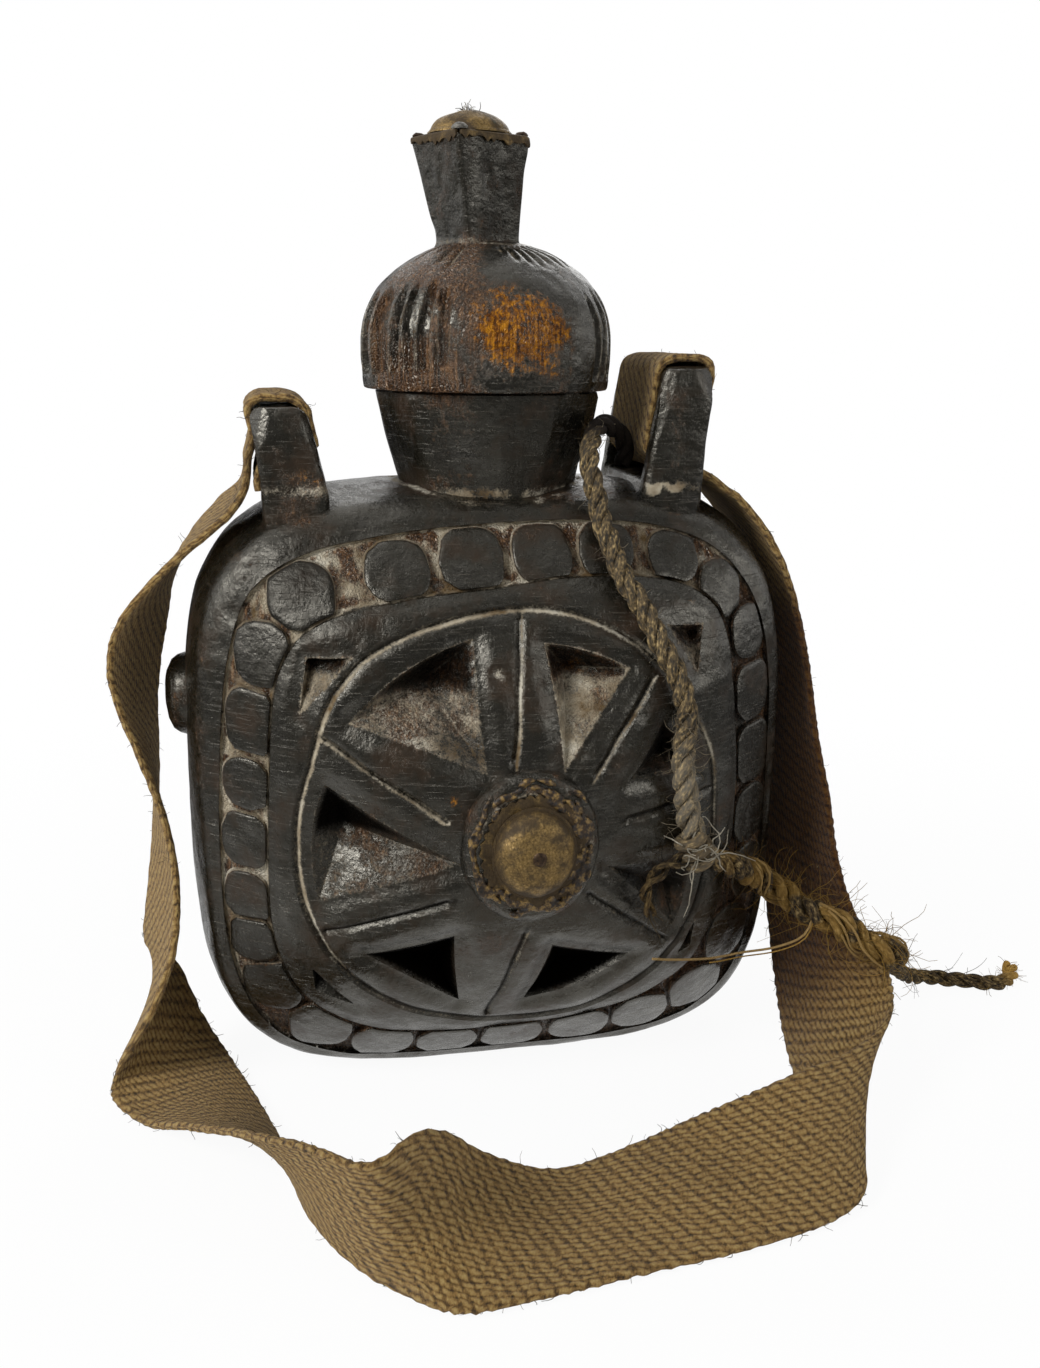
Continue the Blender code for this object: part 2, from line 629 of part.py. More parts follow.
def make_body():
    half_width, half_height = edge_half()
    shares = (0.94, 0.86, 0.775, 0.66, 0.52, 0.36, 0.18)
    mesh = pillow(
        "flask_body",
        half_width,
        half_height,
        EDGE_INSET,
        WALL_HALF_DEPTH,
        FACE_RISE,
        OUTLINE_STEPS,
        shares,
    )
    body = add_object("flask_body", mesh, WOOD)
    boolean(body, channel_cutter(), "DIFFERENCE")
    boolean(body, roundels(), "UNION")
    boolean(body, pockets(), "DIFFERENCE")
    for cutter in wheel_grooves():
        boolean(body, cutter, "DIFFERENCE")
    hub_height = HUB_RISE + 0.012
    hub_profile = (
        (0.0, 0.0),
        (HUB_RADIUS - 0.002, 0.0),
        (HUB_RADIUS, -0.002),
        (HUB_RADIUS + 0.001, -hub_height),
        (0.0, -hub_height),
    )
    boolean(body, turned("hub_disc", hub_profile, matrix=hub_matrix(hub_front_y())), "UNION")
    boss_profile = (
        (0.0, BOSS_RISE),
        (BOSS_RADIUS * 0.55, BOSS_RISE * 0.93),
        (BOSS_RADIUS * 0.85, BOSS_RISE * 0.62),
        (BOSS_RADIUS, 0.0),
        (BOSS_RADIUS, -BOSS_RISE),
        (0.0, -BOSS_RISE),
    )
    outwards = Matrix.Rotation(math.radians(-90), 4, "Y")
    boss_place = Matrix.Translation((-BODY_HALF_WIDTH, 0, BODY_CENTRE_Z + BOSS_LIFT)) @ outwards
    boolean(body, turned("wall_boss", boss_profile, steps=24, matrix=boss_place), "UNION")
    boolean(body, turned("neck", neck_profile()), "UNION")
    for side in (-1, 1):
        boolean(body, lug(side), "UNION")
    for side in (-1, 1):
        boolean(body, lug_slot(side), "DIFFERENCE")
    cavity = pillow(
        "cavity_cutter",
        half_width - WALL_THICKNESS,
        half_height - WALL_THICKNESS,
        EDGE_INSET / 2,
        CAVITY_EDGE_DEPTH,
        CAVITY_RISE,
        CAVITY_STEPS,
        (0.85, 0.62, 0.34),
    )
    boolean(body, add_object("cavity_cutter", cavity), "DIFFERENCE")
    bore_low = BODY_CENTRE_Z + half_height - WALL_THICKNESS - 0.010
    bore = rod_profile(BORE_RADIUS, NECK_TOP_Z + 0.005, bore_low)
    boolean(body, turned("bore_cutter", bore), "DIFFERENCE")
    nail_hole = rod_profile(NAIL_RADIUS + SHAFT_GAP, 0.001, -NAIL_LENGTH - 0.001)
    nail_cutter = turned("nail_hole_cutter", nail_hole, steps=12, matrix=hub_matrix(hub_front_y()))
    boolean(body, nail_cutter, "DIFFERENCE")
    bm = bmesh.new()
    bmesh.ops.create_cube(bm, size=1.0)
    bmesh.ops.scale(bm, vec=(0.3, 0.3, 0.02), verts=bm.verts)
    bmesh.ops.translate(bm, vec=(0, 0, -0.01), verts=bm.verts)
    boolean(body, add_object("foot_cutter", mesh_from(bm, "foot_cutter")), "DIFFERENCE")


# Lid


def flute_cut(turn, height_share):
    """Depth of the flutes at this turn; they run round the left and right sides and fade to top and rim."""
    pitch = 2 * FLUTE_HALF_ARC / FLUTES_EACH_SIDE
    fade = math.sin(math.pi * min(max(height_share, 0.0), 1.0)) ** 0.5
    depth = 0.0
    for side in (0.0, math.pi):
        off = (turn - LID_TURN - side + math.pi) % (2 * math.pi) - math.pi
        if abs(off) < FLUTE_HALF_ARC:
            depth = FLUTE_DEPTH * math.cos(math.pi * off / pitch) ** 2
    return depth * fade


def lid_radius(z):
    if z > LID_WIDEST_Z:
        return LID_RADIUS * math.sqrt(max(1 - ((z - LID_WIDEST_Z) / LID_RISE) ** 2, 0.0))
    drop = (LID_WIDEST_Z - z) / (LID_WIDEST_Z - LID_RIM_Z)
    return LID_RADIUS - (LID_RADIUS - LID_RIM_RADIUS) * drop**2


def lid_shell():
    """The dome with its flutes, closed by a flat underside."""
    steps = 6 * 2 * FLUTES_EACH_SIDE
    heights = [LID_RIM_Z + LID_SIDE_HEIGHT * share for share in (0, 0.1, 0.5, 1)]
    heights += [LID_WIDEST_Z + LID_RISE * math.sin(math.radians(a)) for a in (14, 28, 41, 53, 64, 74, 83)]
    rings = []
    for z in heights:
        share = (z - LID_RIM_Z) / (LID_CROWN_Z - LID_RIM_Z)
        points = []
        for i in range(steps):
            turn = 2 * math.pi * i / steps
            radius = lid_radius(z) - flute_cut(turn, share)
            points.append((radius * math.cos(turn), radius * math.sin(turn), z))
        rings.append(points)
    return mesh_from(loft(rings), "lid")


def finial_centre(z):
    rise = (z - FINIAL_BASE_Z) / (FINIAL_TOP_Z - FINIAL_BASE_Z)
    return FINIAL_BASE_X + (FINIAL_TOP_X - FINIAL_BASE_X) * rise


def finial_square(z, side):
    made = []
    for i in range(4):
        turn = FINIAL_TURN + math.radians(45 + 90 * i)
        reach = side / math.sqrt(2)
        made.append((finial_centre(z) + reach * math.cos(turn), reach * math.sin(turn), z))
    return made


def finial_side(z):
    rise = (z - FINIAL_BASE_Z) / (FINIAL_TOP_Z - FINIAL_BASE_Z)
    return FINIAL_BASE_SIDE + (FINIAL_TOP_SIDE - FINIAL_BASE_SIDE) * rise


def make_lid():
    lid = add_object("lid", lid_shell(), WOOD)
    heights = (FINIAL_BASE_Z, (FINIAL_BASE_Z + FINIAL_TOP_Z) / 2, FINIAL_TOP_Z)
    squares = [finial_square(z, finial_side(z)) for z in heights]
    column = add_object("finial_column", mesh_from(loft(squares), "finial"))
    bevel = column.modifiers.new("rounding", "BEVEL")
    bevel.width = FINIAL_ROUNDING
    bevel.segments = 2
    bevel.limit_method = "ANGLE"
    boolean(lid, column, "UNION")
    plug_radius = BORE_RADIUS - PLUG_GAP
    low = LID_RIM_Z - PLUG_LENGTH
    plug_profile = (
        (0.0, LID_RIM_Z + 0.004),
        (plug_radius, LID_RIM_Z + 0.004),
        (plug_radius, LID_RIM_Z - 0.004),
        (plug_radius - PLUG_TAPER, low + 0.0015),
        (plug_radius - PLUG_TAPER - 0.0015, low),
        (0.0, low),
    )
    boolean(lid, turned("plug", plug_profile), "UNION")
    for number, (x, y) in enumerate(tack_places(), 1):
        low = FINIAL_TOP_Z - TACK_LENGTH - 0.0005
        hole = rod_profile(TACK_RADIUS + SHAFT_GAP, FINIAL_TOP_Z + 0.001, low)
        cutter = turned(f"tack_hole_{number}", hole, steps=8, matrix=Matrix.Translation((x, y, 0)))
        boolean(lid, cutter, "DIFFERENCE")


def tack_places():
    reach = FINIAL_TOP_SIDE / math.sqrt(2) - TACK_INSET
    made = []
    for i in range(4):
        turn = FINIAL_TURN + math.radians(45 + 90 * i)
        made.append((FINIAL_TOP_X + reach * math.cos(turn), reach * math.sin(turn)))
    return made


def make_finial_plate():
    """Sheet folded over the finial's top: an open sheet with a toothed skirt, thickened outwards."""
    bm = bmesh.new()
    top_z = FINIAL_TOP_Z + FIT_GAP
    flare = (FINIAL_TOP_SIDE - FINIAL_BASE_SIDE) / (FINIAL_TOP_Z - FINIAL_BASE_Z)
    tops, hems = [], []
    for i in range(4):
        first = FINIAL_TURN + math.radians(45 + 90 * i)
        second = first + math.radians(90)
        for k in range(2 * SKIRT_TEETH):
            part = k / (2 * SKIRT_TEETH)
            drop = SKIRT_LENGTH + (TOOTH_DEPTH if k % 2 else 0.0)
            for row, z, side in (
                (tops, top_z, FINIAL_TOP_SIDE + 2 * FIT_GAP),
                (hems, top_z - drop, FINIAL_TOP_SIDE + 2 * FIT_GAP - flare * drop),
            ):
                reach = side / math.sqrt(2)
                x = (1 - part) * math.cos(first) + part * math.cos(second)
                y = (1 - part) * math.sin(first) + part * math.sin(second)
                row.append(bm.verts.new((finial_centre(z) + reach * x, reach * y, z)))
    count = len(tops)
    for i in range(count):
        j = (i + 1) % count
        bm.faces.new((tops[i], hems[i], hems[j], tops[j]))
    bm.faces.new(tops)
    bmesh.ops.recalc_face_normals(bm, faces=bm.faces)
    mesh = bpy.data.meshes.new("finial_plate")
    bm.to_mesh(mesh)
    bm.free()
    plate = add_object("finial_plate", mesh, BRASS)
    solidify = plate.modifiers.new("sheet", "SOLIDIFY")
    solidify.thickness = SHEET_THICKNESS
    solidify.offset = 1.0
    solidify.use_even_offset = True
    for number, (x, y) in enumerate(tack_places(), 1):
        hole = rod_profile(TACK_RADIUS + SHAFT_GAP, top_z + 0.003, top_z - 0.002)
        cutter = turned(f"plate_hole_{number}", hole, steps=8, matrix=Matrix.Translation((x, y, 0)))
        boolean(plate, cutter, "DIFFERENCE")


def dome_profile(radius, rise, bore=0.0):
    """A low dome with a flat underside, bored through when a nail passes it."""
    points = [(bore, rise)] if bore else [(0.0, rise)]
    for degrees in (68, 48, 30, 14, 0):
        share = math.cos(math.radians(degrees))
        height = rise * math.sin(math.radians(degrees)) * 0.9 + 0.0006
        points.append((max(radius * share, bore + 0.0005), height))
    points.append((radius, 0.0))
    points.append((bore, 0.0))
    if bore:
        points.append((bore, rise))
    return points


def make_brass():
    make_finial_plate()
    plate_top = FINIAL_TOP_Z + FIT_GAP + SHEET_THICKNESS
    place = Matrix.Translation((FINIAL_TOP_X, 0, plate_top + FIT_GAP))
    turned("finial_dome", dome_profile(FINIAL_DOME_RADIUS, FINIAL_DOME_RISE), BRASS, 28, place)
    for number, (x, y) in enumerate(tack_places(), 1):
        head_z = plate_top + FIT_GAP
        profile = (
            (0.0, head_z + TACK_HEAD_RISE),
            (TACK_HEAD_RADIUS * 0.6, head_z + TACK_HEAD_RISE * 0.8),
            (TACK_HEAD_RADIUS, head_z),
            (TACK_RADIUS, head_z),
            (TACK_RADIUS, FINIAL_TOP_Z - TACK_LENGTH),
            (0.0, FINIAL_TOP_Z - TACK_LENGTH),
        )
        turned(f"finial_tack_{number}", profile, IRON, 8, Matrix.Translation((x, y, 0)))
    make_washer()
    washer_front = hub_front_y() - FIT_GAP - SHEET_THICKNESS
    bore = NAIL_RADIUS + SHAFT_GAP
    dome_y = washer_front - FIT_GAP
    dome = dome_profile(HUB_DOME_RADIUS, HUB_DOME_RISE, bore)
    turned("hub_dome", dome, BRASS, ROUND_STEPS, hub_matrix(dome_y))
    head = HUB_DOME_RISE + FIT_GAP
    inside = hub_front_y() - dome_y
    nail_profile = (
        (0.0, head + NAIL_HEAD_RISE),
        (NAIL_HEAD_RADIUS * 0.6, head + NAIL_HEAD_RISE * 0.85),
        (NAIL_HEAD_RADIUS, head),
        (NAIL_RADIUS, head),
        (NAIL_RADIUS, -inside - NAIL_LENGTH),
        (0.0, -inside - NAIL_LENGTH),
    )
    turned("hub_nail", nail_profile, IRON, 12, hub_matrix(dome_y))


def make_washer():
    """A toothed disc of sheet, bored for the nail."""
    outer = []
    for i in range(2 * WASHER_TEETH):
        radius = WASHER_RADIUS - (TOOTH_DEPTH if i % 2 else 0.0)
        turn = math.pi * i / WASHER_TEETH
        outer.append((radius * math.cos(turn), radius * math.sin(turn)))
    bore = NAIL_RADIUS + SHAFT_GAP
    rings = []
    for low, inner in ((0.0, False), (SHEET_THICKNESS, False), (SHEET_THICKNESS, True), (0.0, True)):
        points = []
        for i, (x, y) in enumerate(outer):
            if inner:
                turn = math.pi * i / WASHER_TEETH
                x, y = bore * math.cos(turn), bore * math.sin(turn)
            points.append((x, y, low))
        rings.append(points)
    washer = add_object("hub_washer", mesh_from(loft(rings, closed=True), "hub_washer"), BRASS)
    washer.matrix_world = hub_matrix(hub_front_y() - FIT_GAP)


# Strap


def over_crossbar(side, across, low, top):
    """The strap's middle line from the lug's inner side over the crossbar and down its outer side."""
    shoulder = top - LUG_ROUNDING
    up = ((across, low), (across, (low + shoulder) / 2), (across * 0.98, shoulder))
    over = ((across * 0.55, top), (0.0, top + 0.0002), (-across * 0.55, top))
    return [(-x, z) for x, z in up] + [(-x, z) for x, z in over] + list(reversed(up))


def lug_wrap(side):
    """The edge points of the strap at a lug, from its sewn end to where it leaves for the shoulder."""
    off = STRAP_THICKNESS / 2 + WRAP_GAP
    layer = STRAP_THICKNESS + WRAP_GAP
    across = LUG_TOP_HALF_THICKNESS + off
    base = LUG_BASE_HALF_THICKNESS + off
    floor = LUG_SLOT_FLOOR_Z + off
    ceiling = LUG_SLOT_TOP_Z - off
    over = over_crossbar(side, across, ceiling + 0.0045, LUG_TOP_Z[side] + off)
    if side < 0:
        # The end comes out of the slot and lies under the run, which goes up the lug's outer side
        sewn_end = [
            (base, floor - 0.0044),
            (base, floor - 0.0009),
            (across, floor + 0.0036),
            (across * 0.62, ceiling - 0.0014),
            (0.0, ceiling),
            (-across * 0.58, ceiling),
            (-across * 0.97, ceiling + 0.0008),
        ]
        leaving = [
            (across + 0.0012, ceiling + 0.0019),
            (base + layer * 0.6, (floor + ceiling) / 2),
            (base + layer, floor - 0.0004),
            (base + layer * 1.8, floor - 0.0064),
        ]
        line = sewn_end + over + leaving
    else:
        # The run goes straight into the slot, and the end hangs down the lug's outer side
        sewn_end = [(base - 0.0014, floor + 0.0036), (across + 0.0003, ceiling)]
        leaving = [
            (-across * 0.97, ceiling),
            (-across * 0.71, ceiling - 0.0029),
            (-across * 0.34, floor + 0.0026),
            (across * 0.17, floor + 0.0009),
            (across * 0.75, floor + 0.0004),
            (base, floor - 0.0001),
            (base + 0.0041, floor - 0.0019),
            (base + 0.0091, floor - 0.0057),
        ]
        line = sewn_end + over[::-1] + leaving
    half = STRAP_WIDTH / 2
    made = []
    for outwards, z in line:
        x = lug_centre_x(side, z) + side * outwards
        made.append(((x, -half, z), (x, half, z)))
    return made


def beside_body(side, route, datum_z):
    """Route points given as distances outwards from the wall and up from a level."""
    made = []
    for edges in route:
        made.append([(side * (BODY_HALF_WIDTH + out), y, datum_z + z) for out, y, z in edges])
    return made


def strap_route():
    return [
        *lug_wrap(-1),
        *beside_body(-1, LEFT_SHOULDER_ROUTE, BODY_TOP_Z),
        *beside_body(-1, LEFT_SIDE_ROUTE, 0.0),
        *FLOOR_ROUTE,
        *beside_body(1, RIGHT_SIDE_ROUTE, 0.0),
        *beside_body(1, RIGHT_SHOULDER_ROUTE, BODY_TOP_Z),
        *lug_wrap(1)[::-1],
    ]


def make_strap():
    """A flat ribbon lofted between two edges; the edge that lies on the floor keeps its place."""
    pairs = strap_route()
    firsts = spline([pair[0] for pair in pairs], 2)
    seconds = spline([pair[1] for pair in pairs], 2)
    middles = [(a + b) / 2 for a, b in zip(firsts, seconds)]
    rings = []
    for i, (first, second) in enumerate(zip(firsts, seconds)):
        along = (middles[min(i + 1, len(middles) - 1)] - middles[max(i - 1, 0)]).normalized()
        across = (first - second).normalized()
        out = across.cross(along).normalized() * (STRAP_THICKNESS / 2)
        first = second + across * STRAP_WIDTH
        rings.append([first - out, second - out, second + out, first + out])
    add_object("carry_strap", mesh_from(loft(rings), "carry_strap"), WEBBING)


def tube(name, route, diameter, material, per_span):
    curve = bpy.data.curves.new(name, "CURVE")
    curve.dimensions = "3D"
    curve.bevel_depth = diameter / 2
    curve.bevel_resolution = 2
    curve.use_fill_caps = True
    points = spline(route, per_span)
    line = curve.splines.new("POLY")
    line.points.add(len(points) - 1)
    for point, place in zip(line.points, points):
        point.co = (*place, 1.0)
    made = bpy.data.objects.new(name, curve)
    made.data.materials.append(material)
    PARTS.objects.link(made)


make_body()
make_lid()
make_brass()
make_strap()
tube("tether_cord", TETHER_ROUTE, TETHER_DIAMETER, JUTE, 2)
tube("tether_branch", BRANCH_ROUTE, TETHER_DIAMETER, JUTE, 2)
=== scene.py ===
"""Dressed model of a carved wooden water flask: a wheel and a border of roundels cut in its face, a fluted
lid with a square brass-capped finial, a woven shoulder strap and a jute tether. The packed solids are its
frame, and each finished piece rides on one of their bodies. Metres, +Z up, front towards -Y."""

import math
from functools import partial

import bmesh
import bpy
import numpy as np
from bpy.props import FloatProperty, FloatVectorProperty, IntProperty, PointerProperty
from mathutils import Matrix, Vector, geometry


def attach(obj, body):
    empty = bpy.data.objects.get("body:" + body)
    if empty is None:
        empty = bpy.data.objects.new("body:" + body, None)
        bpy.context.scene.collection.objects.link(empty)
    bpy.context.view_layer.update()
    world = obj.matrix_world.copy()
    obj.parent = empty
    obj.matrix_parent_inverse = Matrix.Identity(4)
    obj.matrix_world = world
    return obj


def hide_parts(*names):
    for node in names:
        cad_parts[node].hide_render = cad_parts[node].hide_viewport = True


bl_info = {
    "name": "Carved Wooden Flask",
    "version": (1, 0, 0),
    "blender": (4, 5, 0),
    "location": "View3D > Sidebar > Flask",
    "description": "Builds the finished flask around its packed solids",
    "category": "Object",
}

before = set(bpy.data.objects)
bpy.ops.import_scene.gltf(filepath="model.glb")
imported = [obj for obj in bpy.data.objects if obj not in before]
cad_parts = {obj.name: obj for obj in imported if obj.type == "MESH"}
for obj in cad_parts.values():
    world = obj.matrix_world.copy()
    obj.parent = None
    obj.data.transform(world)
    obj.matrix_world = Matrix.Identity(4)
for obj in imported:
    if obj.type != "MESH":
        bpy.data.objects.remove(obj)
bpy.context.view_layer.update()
MM = 0.001

# Shared with the part's source
BODY_CENTRE_Z = 0.0985
BODY_TOP_Z = 0.1985
WHEEL_CENTRE_Z = 0.0955
EDGE_HALF = 0.095  # half the face's width and height, at its arris
WALL_HALF_DEPTH = 0.029
FACE_RISE = 0.0405
FACE_POWER = 2.33
WALL_BULGE = 0.005
HUB_X = 0.002
NECK_TOP_Z = 0.226
NECK_HEIGHT = 0.0275
LUG_FLOOR_Z = 0.199
LUG_TOP_Z = {-1: 0.222, 1: 0.2345}
PLUG_FOOT_Z = 0.2024
LID_RIM_Z = 0.2263
LID_WIDEST_Z = 0.241
LID_CROWN_Z = 0.272
FINIAL_TURN = math.radians(25)
FINIAL_FOOT_Z = 0.264
FINIAL_TOP_Z = 0.3005
CAP_Z = FINIAL_TOP_Z + 0.0004  # where the brass cap lies on the finial
CAP_SHEET = 0.0005  # thickness of its sheet
BOSS_X, BOSS_Z = -0.0993, BODY_CENTRE_Z + 0.03
FLOOR_GAP = 0.0006  # what is soft keeps this far off the floor
HAIR_STEPS = 7


# Small tools


def hex_colour(code):
    """An sRGB hex colour as linear RGBA."""
    parts = [int(code[i : i + 2], 16) / 255 for i in (0, 2, 4)]
    return tuple(p / 12.92 if p <= 0.04045 else ((p + 0.055) / 1.055) ** 2.4 for p in parts) + (1.0,)


def length_setting(name, description, default):
    return FloatProperty(name=name, description=description, default=default, unit="LENGTH")


def angle_setting(name, description, degrees):
    turn = math.radians(degrees)
    return FloatProperty(name=name, description=description, default=turn, subtype="ANGLE", unit="ROTATION")


def colour_setting(name, description, code):
    clean = hex_colour(code)
    return FloatVectorProperty(name=name, description=description, size=4, subtype="COLOR", default=clean)


def set_sockets(node, sockets):
    """Sets a node's sockets to numbers, colours or outputs; a node stands for its first output in use."""
    for name, value in sockets.items():
        if isinstance(value, bpy.types.Node):
            value = next(output for output in value.outputs if output.enabled)
        if isinstance(value, bpy.types.NodeSocket):
            node.id_data.links.new(value, node.inputs[name])
        else:
            node.inputs[name].default_value = hex_colour(value) if isinstance(value, str) else value


def add_node(tree, kind, sockets=None, ramp=(), **settings):
    """Adds one shader node with its settings, its sockets and the stops of its colour ramp."""
    node = tree.nodes.new("ShaderNode" + kind)
    for name, value in settings.items():
        setattr(node, name, value)
    set_sockets(node, sockets or {})
    for number, (position, colour) in enumerate(ramp):
        stops = node.color_ramp.elements
        stop = stops[number] if number < len(stops) else stops.new(1.0)
        stop.position = position
        stop.color = hex_colour(colour) if isinstance(colour, str) else colour
    return node


def new_material(name):
    """A new material, what adds nodes to it, and its surface shader."""
    material = bpy.data.materials.new(name)
    material.use_nodes = True
    material.node_tree.nodes.clear()
    add = partial(add_node, material.node_tree)
    shader = add("BsdfPrincipled")
    add("OutputMaterial", {"Surface": shader})
    return material, add, shader


def finish_named(name):
    """The finish of that name, made on first use."""
    return bpy.data.materials.get(name) or FINISHES[name]()


def waves(points, size, seed, count=14):
    """Smooth unevenness from -1 to 1 at each point, in bumps of about this size; the same on every run."""
    draw = np.random.default_rng(seed)
    points = np.asarray(points, float)
    total = np.zeros(len(points))
    for _ in range(count):
        direction = draw.normal(size=points.shape[1])
        direction *= draw.uniform(0.6, 1.5) * math.pi / (size * np.linalg.norm(direction))
        total += np.sin(points @ direction + draw.uniform(0, 2 * math.pi))
    return np.clip(total / math.sqrt(count), -2.0, 2.0) / 2


def wander(points, size, seed):
    """The same unevenness in all three directions."""
    return np.column_stack([waves(points, size, seed + k) for k in range(3)])


def smooth_step(low, high, value):
    """0 below low and 1 above high, with a soft change between."""
    t = np.clip((value - low) / (high - low), 0.0, 1.0)
    return t * t * (3 - 2 * t)


def bell(off, width):
    """1 where off is 0, falling softly to nothing beyond the width."""
    return np.exp(-((off / width) ** 2))


def lengths(vectors):
    return np.linalg.norm(vectors, axis=1)


def run_along(path):
    """How far along a path each of its points lies."""
    return np.concatenate([[0], np.cumsum(lengths(np.diff(path, axis=0)))])


def full_turn(steps):
    return np.linspace(0, 2 * math.pi, steps, endpoint=False)


def around(first, second, turns):
    """Places round a path, out along its two sideways axes."""
    return first * np.cos(turns)[:, None] + second * np.sin(turns)[:, None]


def heading_at(turn, *up):
    """A direction at this turn, flat unless its rise is given."""
    return np.array((math.cos(turn), math.sin(turn), *up))


def circle_at(turns):
    return np.column_stack([np.cos(turns), np.sin(turns)])


def spline(points, spacing):
    """Evenly spaced points along a Catmull-Rom curve through the given ones, whatever their dimension."""
    points = np.asarray(points, float)
    padded = np.vstack([2 * points[0] - points[1], points, 2 * points[-1] - points[-2]])
    fine = []
    t = np.linspace(0, 1, 24, endpoint=False)[:, None]
    for a, b, c, d in zip(padded, padded[1:], padded[2:], padded[3:]):
        bend = (2 * a - 5 * b + 4 * c - d) * t**2 + (3 * b - a - 3 * c + d) * t**3
        fine.append(0.5 * (2 * b + (c - a) * t + bend))
    fine = np.vstack([*fine, points[-1:]])
    along = run_along(fine[:, :3])
    wanted = np.linspace(0, along[-1], max(int(round(along[-1] / spacing)), 2) + 1)
    return np.column_stack([np.interp(wanted, along, column) for column in fine.T])


def unit(vectors):
    return vectors / np.maximum(np.linalg.norm(vectors, axis=-1, keepdims=True), 1e-12)


def axes_along(path):
    """Tangents, and two sideways axes that don't spin, along a path."""
    tangents = unit(np.gradient(path, axis=0))
    side = unit(np.cross(tangents[0], (0.31, 0.57, 0.76)))
    sides = [side]
    for tangent in tangents[1:]:
        side = unit(side - tangent * np.dot(side, tangent))
        sides.append(side)
    sides = np.array(sides)
    return tangents, sides, np.cross(tangents, sides)


def ring_faces(rings, count, outwards=False):
    """Four-cornered faces between neighbouring rings of points; the rings are given by number."""
    faces = []
    for a, b in zip(rings, rings[1:]):
        for j in range(count):
            k = (j + 1) % count
            face = (a * count + j, b * count + j, b * count + k, a * count + k)
            faces.append(face if outwards else face[:1] + face[:0:-1])
    return faces


def new_piece(name, points, faces):
    mesh = bpy.data.meshes.new(name)
    mesh.from_pydata(points, [], faces)
    piece = bpy.data.objects.new(name, mesh)
    bpy.context.scene.collection.objects.link(piece)
    return piece


class MeshStore:
    """Collects points and faces of many small shapes for one mesh, with the colours and map of each."""

    def __init__(self):
        self.points, self.faces, self.tints, self.maps, self.count = [], [], [], [], 0

    def add(self, points, faces, tint=(0.0, 0.0, 0.0), face_map=None):
        points = np.asarray(points, float)
        tints = np.ones((len(points), 4))
        tints[:, : np.shape(tint)[-1]] = tint
        self.points.append(points)
        self.tints.append(tints)
        self.faces += [tuple(corner + self.count for corner in face) for face in faces]
        if face_map is not None:
            self.maps += face_map
        self.count += len(points)

    def tube(self, path, radii, sides=8, tint=(0.0, 0.0, 0.0), squash=1.0):
        """A tube with closed ends along a path; its map runs round it and along it, in millimetres."""
        _, first, second = axes_along(path)
        turn = full_turn(sides)
        radii = np.broadcast_to(radii, len(path))[:, None, None]
        across = first[:, None] * np.cos(turn)[:, None] + second[:, None] * np.sin(turn)[:, None] * squash
        points = (path[:, None] + across * radii).reshape(-1, 3)
        rows = len(path)
        along = run_along(path) / MM
        faces = ring_faces(range(rows), sides)
        faces += [tuple(range(sides))[::-1], tuple(range((rows - 1) * sides, rows * sides))]
        corners = ((0, 0), (1, 0), (1, 1), (0, 1))
        face_map = [
            ((j + right) / sides, along[i + ahead])
            for i in range(rows - 1) for j in range(sides) for right, ahead in corners
        ]
        face_map += [(0.0, 0.0)] * (2 * sides)
        self.add(points, faces, tint, face_map)

    def make(self, name, finish, smooth=None):
        """The collected shapes as one object, with its colours in the attribute 'finish'."""
        piece = new_piece(name, np.vstack(self.points).tolist(), self.faces)
        tint_points(piece, np.vstack(self.tints))
        if self.maps:
            layer = piece.data.uv_layers.new(name="surface")
            layer.data.foreach_set("uv", np.asarray(self.maps, "f").ravel())
        return dress(piece, finish, smooth)


def dress(piece, finish, smooth=None):
    """Gives a piece its finish and its smooth shading, with edges sharper than the angle kept crisp."""
    piece.data.materials.clear()
    piece.data.materials.append(finish_named(finish))
    piece.data.shade_smooth()
    if smooth is not None:
        piece.data.set_sharp_from_angle(angle=math.radians(smooth))
    return piece


def tints_of(dust, wear=0, rubbed=0, shade=1):
    """The 'finish' colours, a row for each point: dust or tarnish, wear, rubbing, and shade (1 is none)."""
    return np.column_stack(np.broadcast_arrays(dust, wear, rubbed, shade))


def tint_points(piece, tints):
    """Writes the 'finish' colours of a piece."""
    layer = piece.data.color_attributes.new("finish", "FLOAT_COLOR", "POINT")
    layer.data.foreach_set("color", tints.astype("f").ravel())


def vertex_array(piece):
    points = np.empty(len(piece.data.vertices) * 3, "f")
    piece.data.vertices.foreach_get("co", points)
    return points.reshape(-1, 3).astype(float)


def set_vertex_array(piece, points):
    piece.data.vertices.foreach_set("co", np.asarray(points, "f").ravel())
    piece.data.update()


def finished(piece, tints, finish, smooth, *place):
    """Tints and dresses a piece, then puts it in its place: body, slot (not used) and the nodes it stands
    for.
    """
    tint_points(piece, tints)
    return belongs(dress(piece, finish, smooth), *place)


def belongs(piece, body, slot, *nodes):
    """Puts a piece on its body and hides the solids that it stands for; the slot is not used."""
    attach(piece, body)
    if nodes:
        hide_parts(*nodes)
    return piece


def start_new():
    """Leaves nothing selected, so that an operator touches only the new piece."""
    if bpy.context.mode != "OBJECT":
        bpy.ops.object.mode_set(mode="OBJECT")
    bpy.ops.object.select_all(action="DESELECT")


def only(piece):
    start_new()
    piece.select_set(True)
    bpy.context.view_layer.objects.active = piece
    return piece


def apply_modifier(piece, kind, **settings):
    """Adds a modifier with its settings and applies it."""
    only(piece)
    modifier = piece.modifiers.new(kind.title(), kind)
    for name, value in settings.items():
        setattr(modifier, name, value)
    bpy.ops.object.modifier_apply(modifier=modifier.name)
    return piece


# The flask's shape


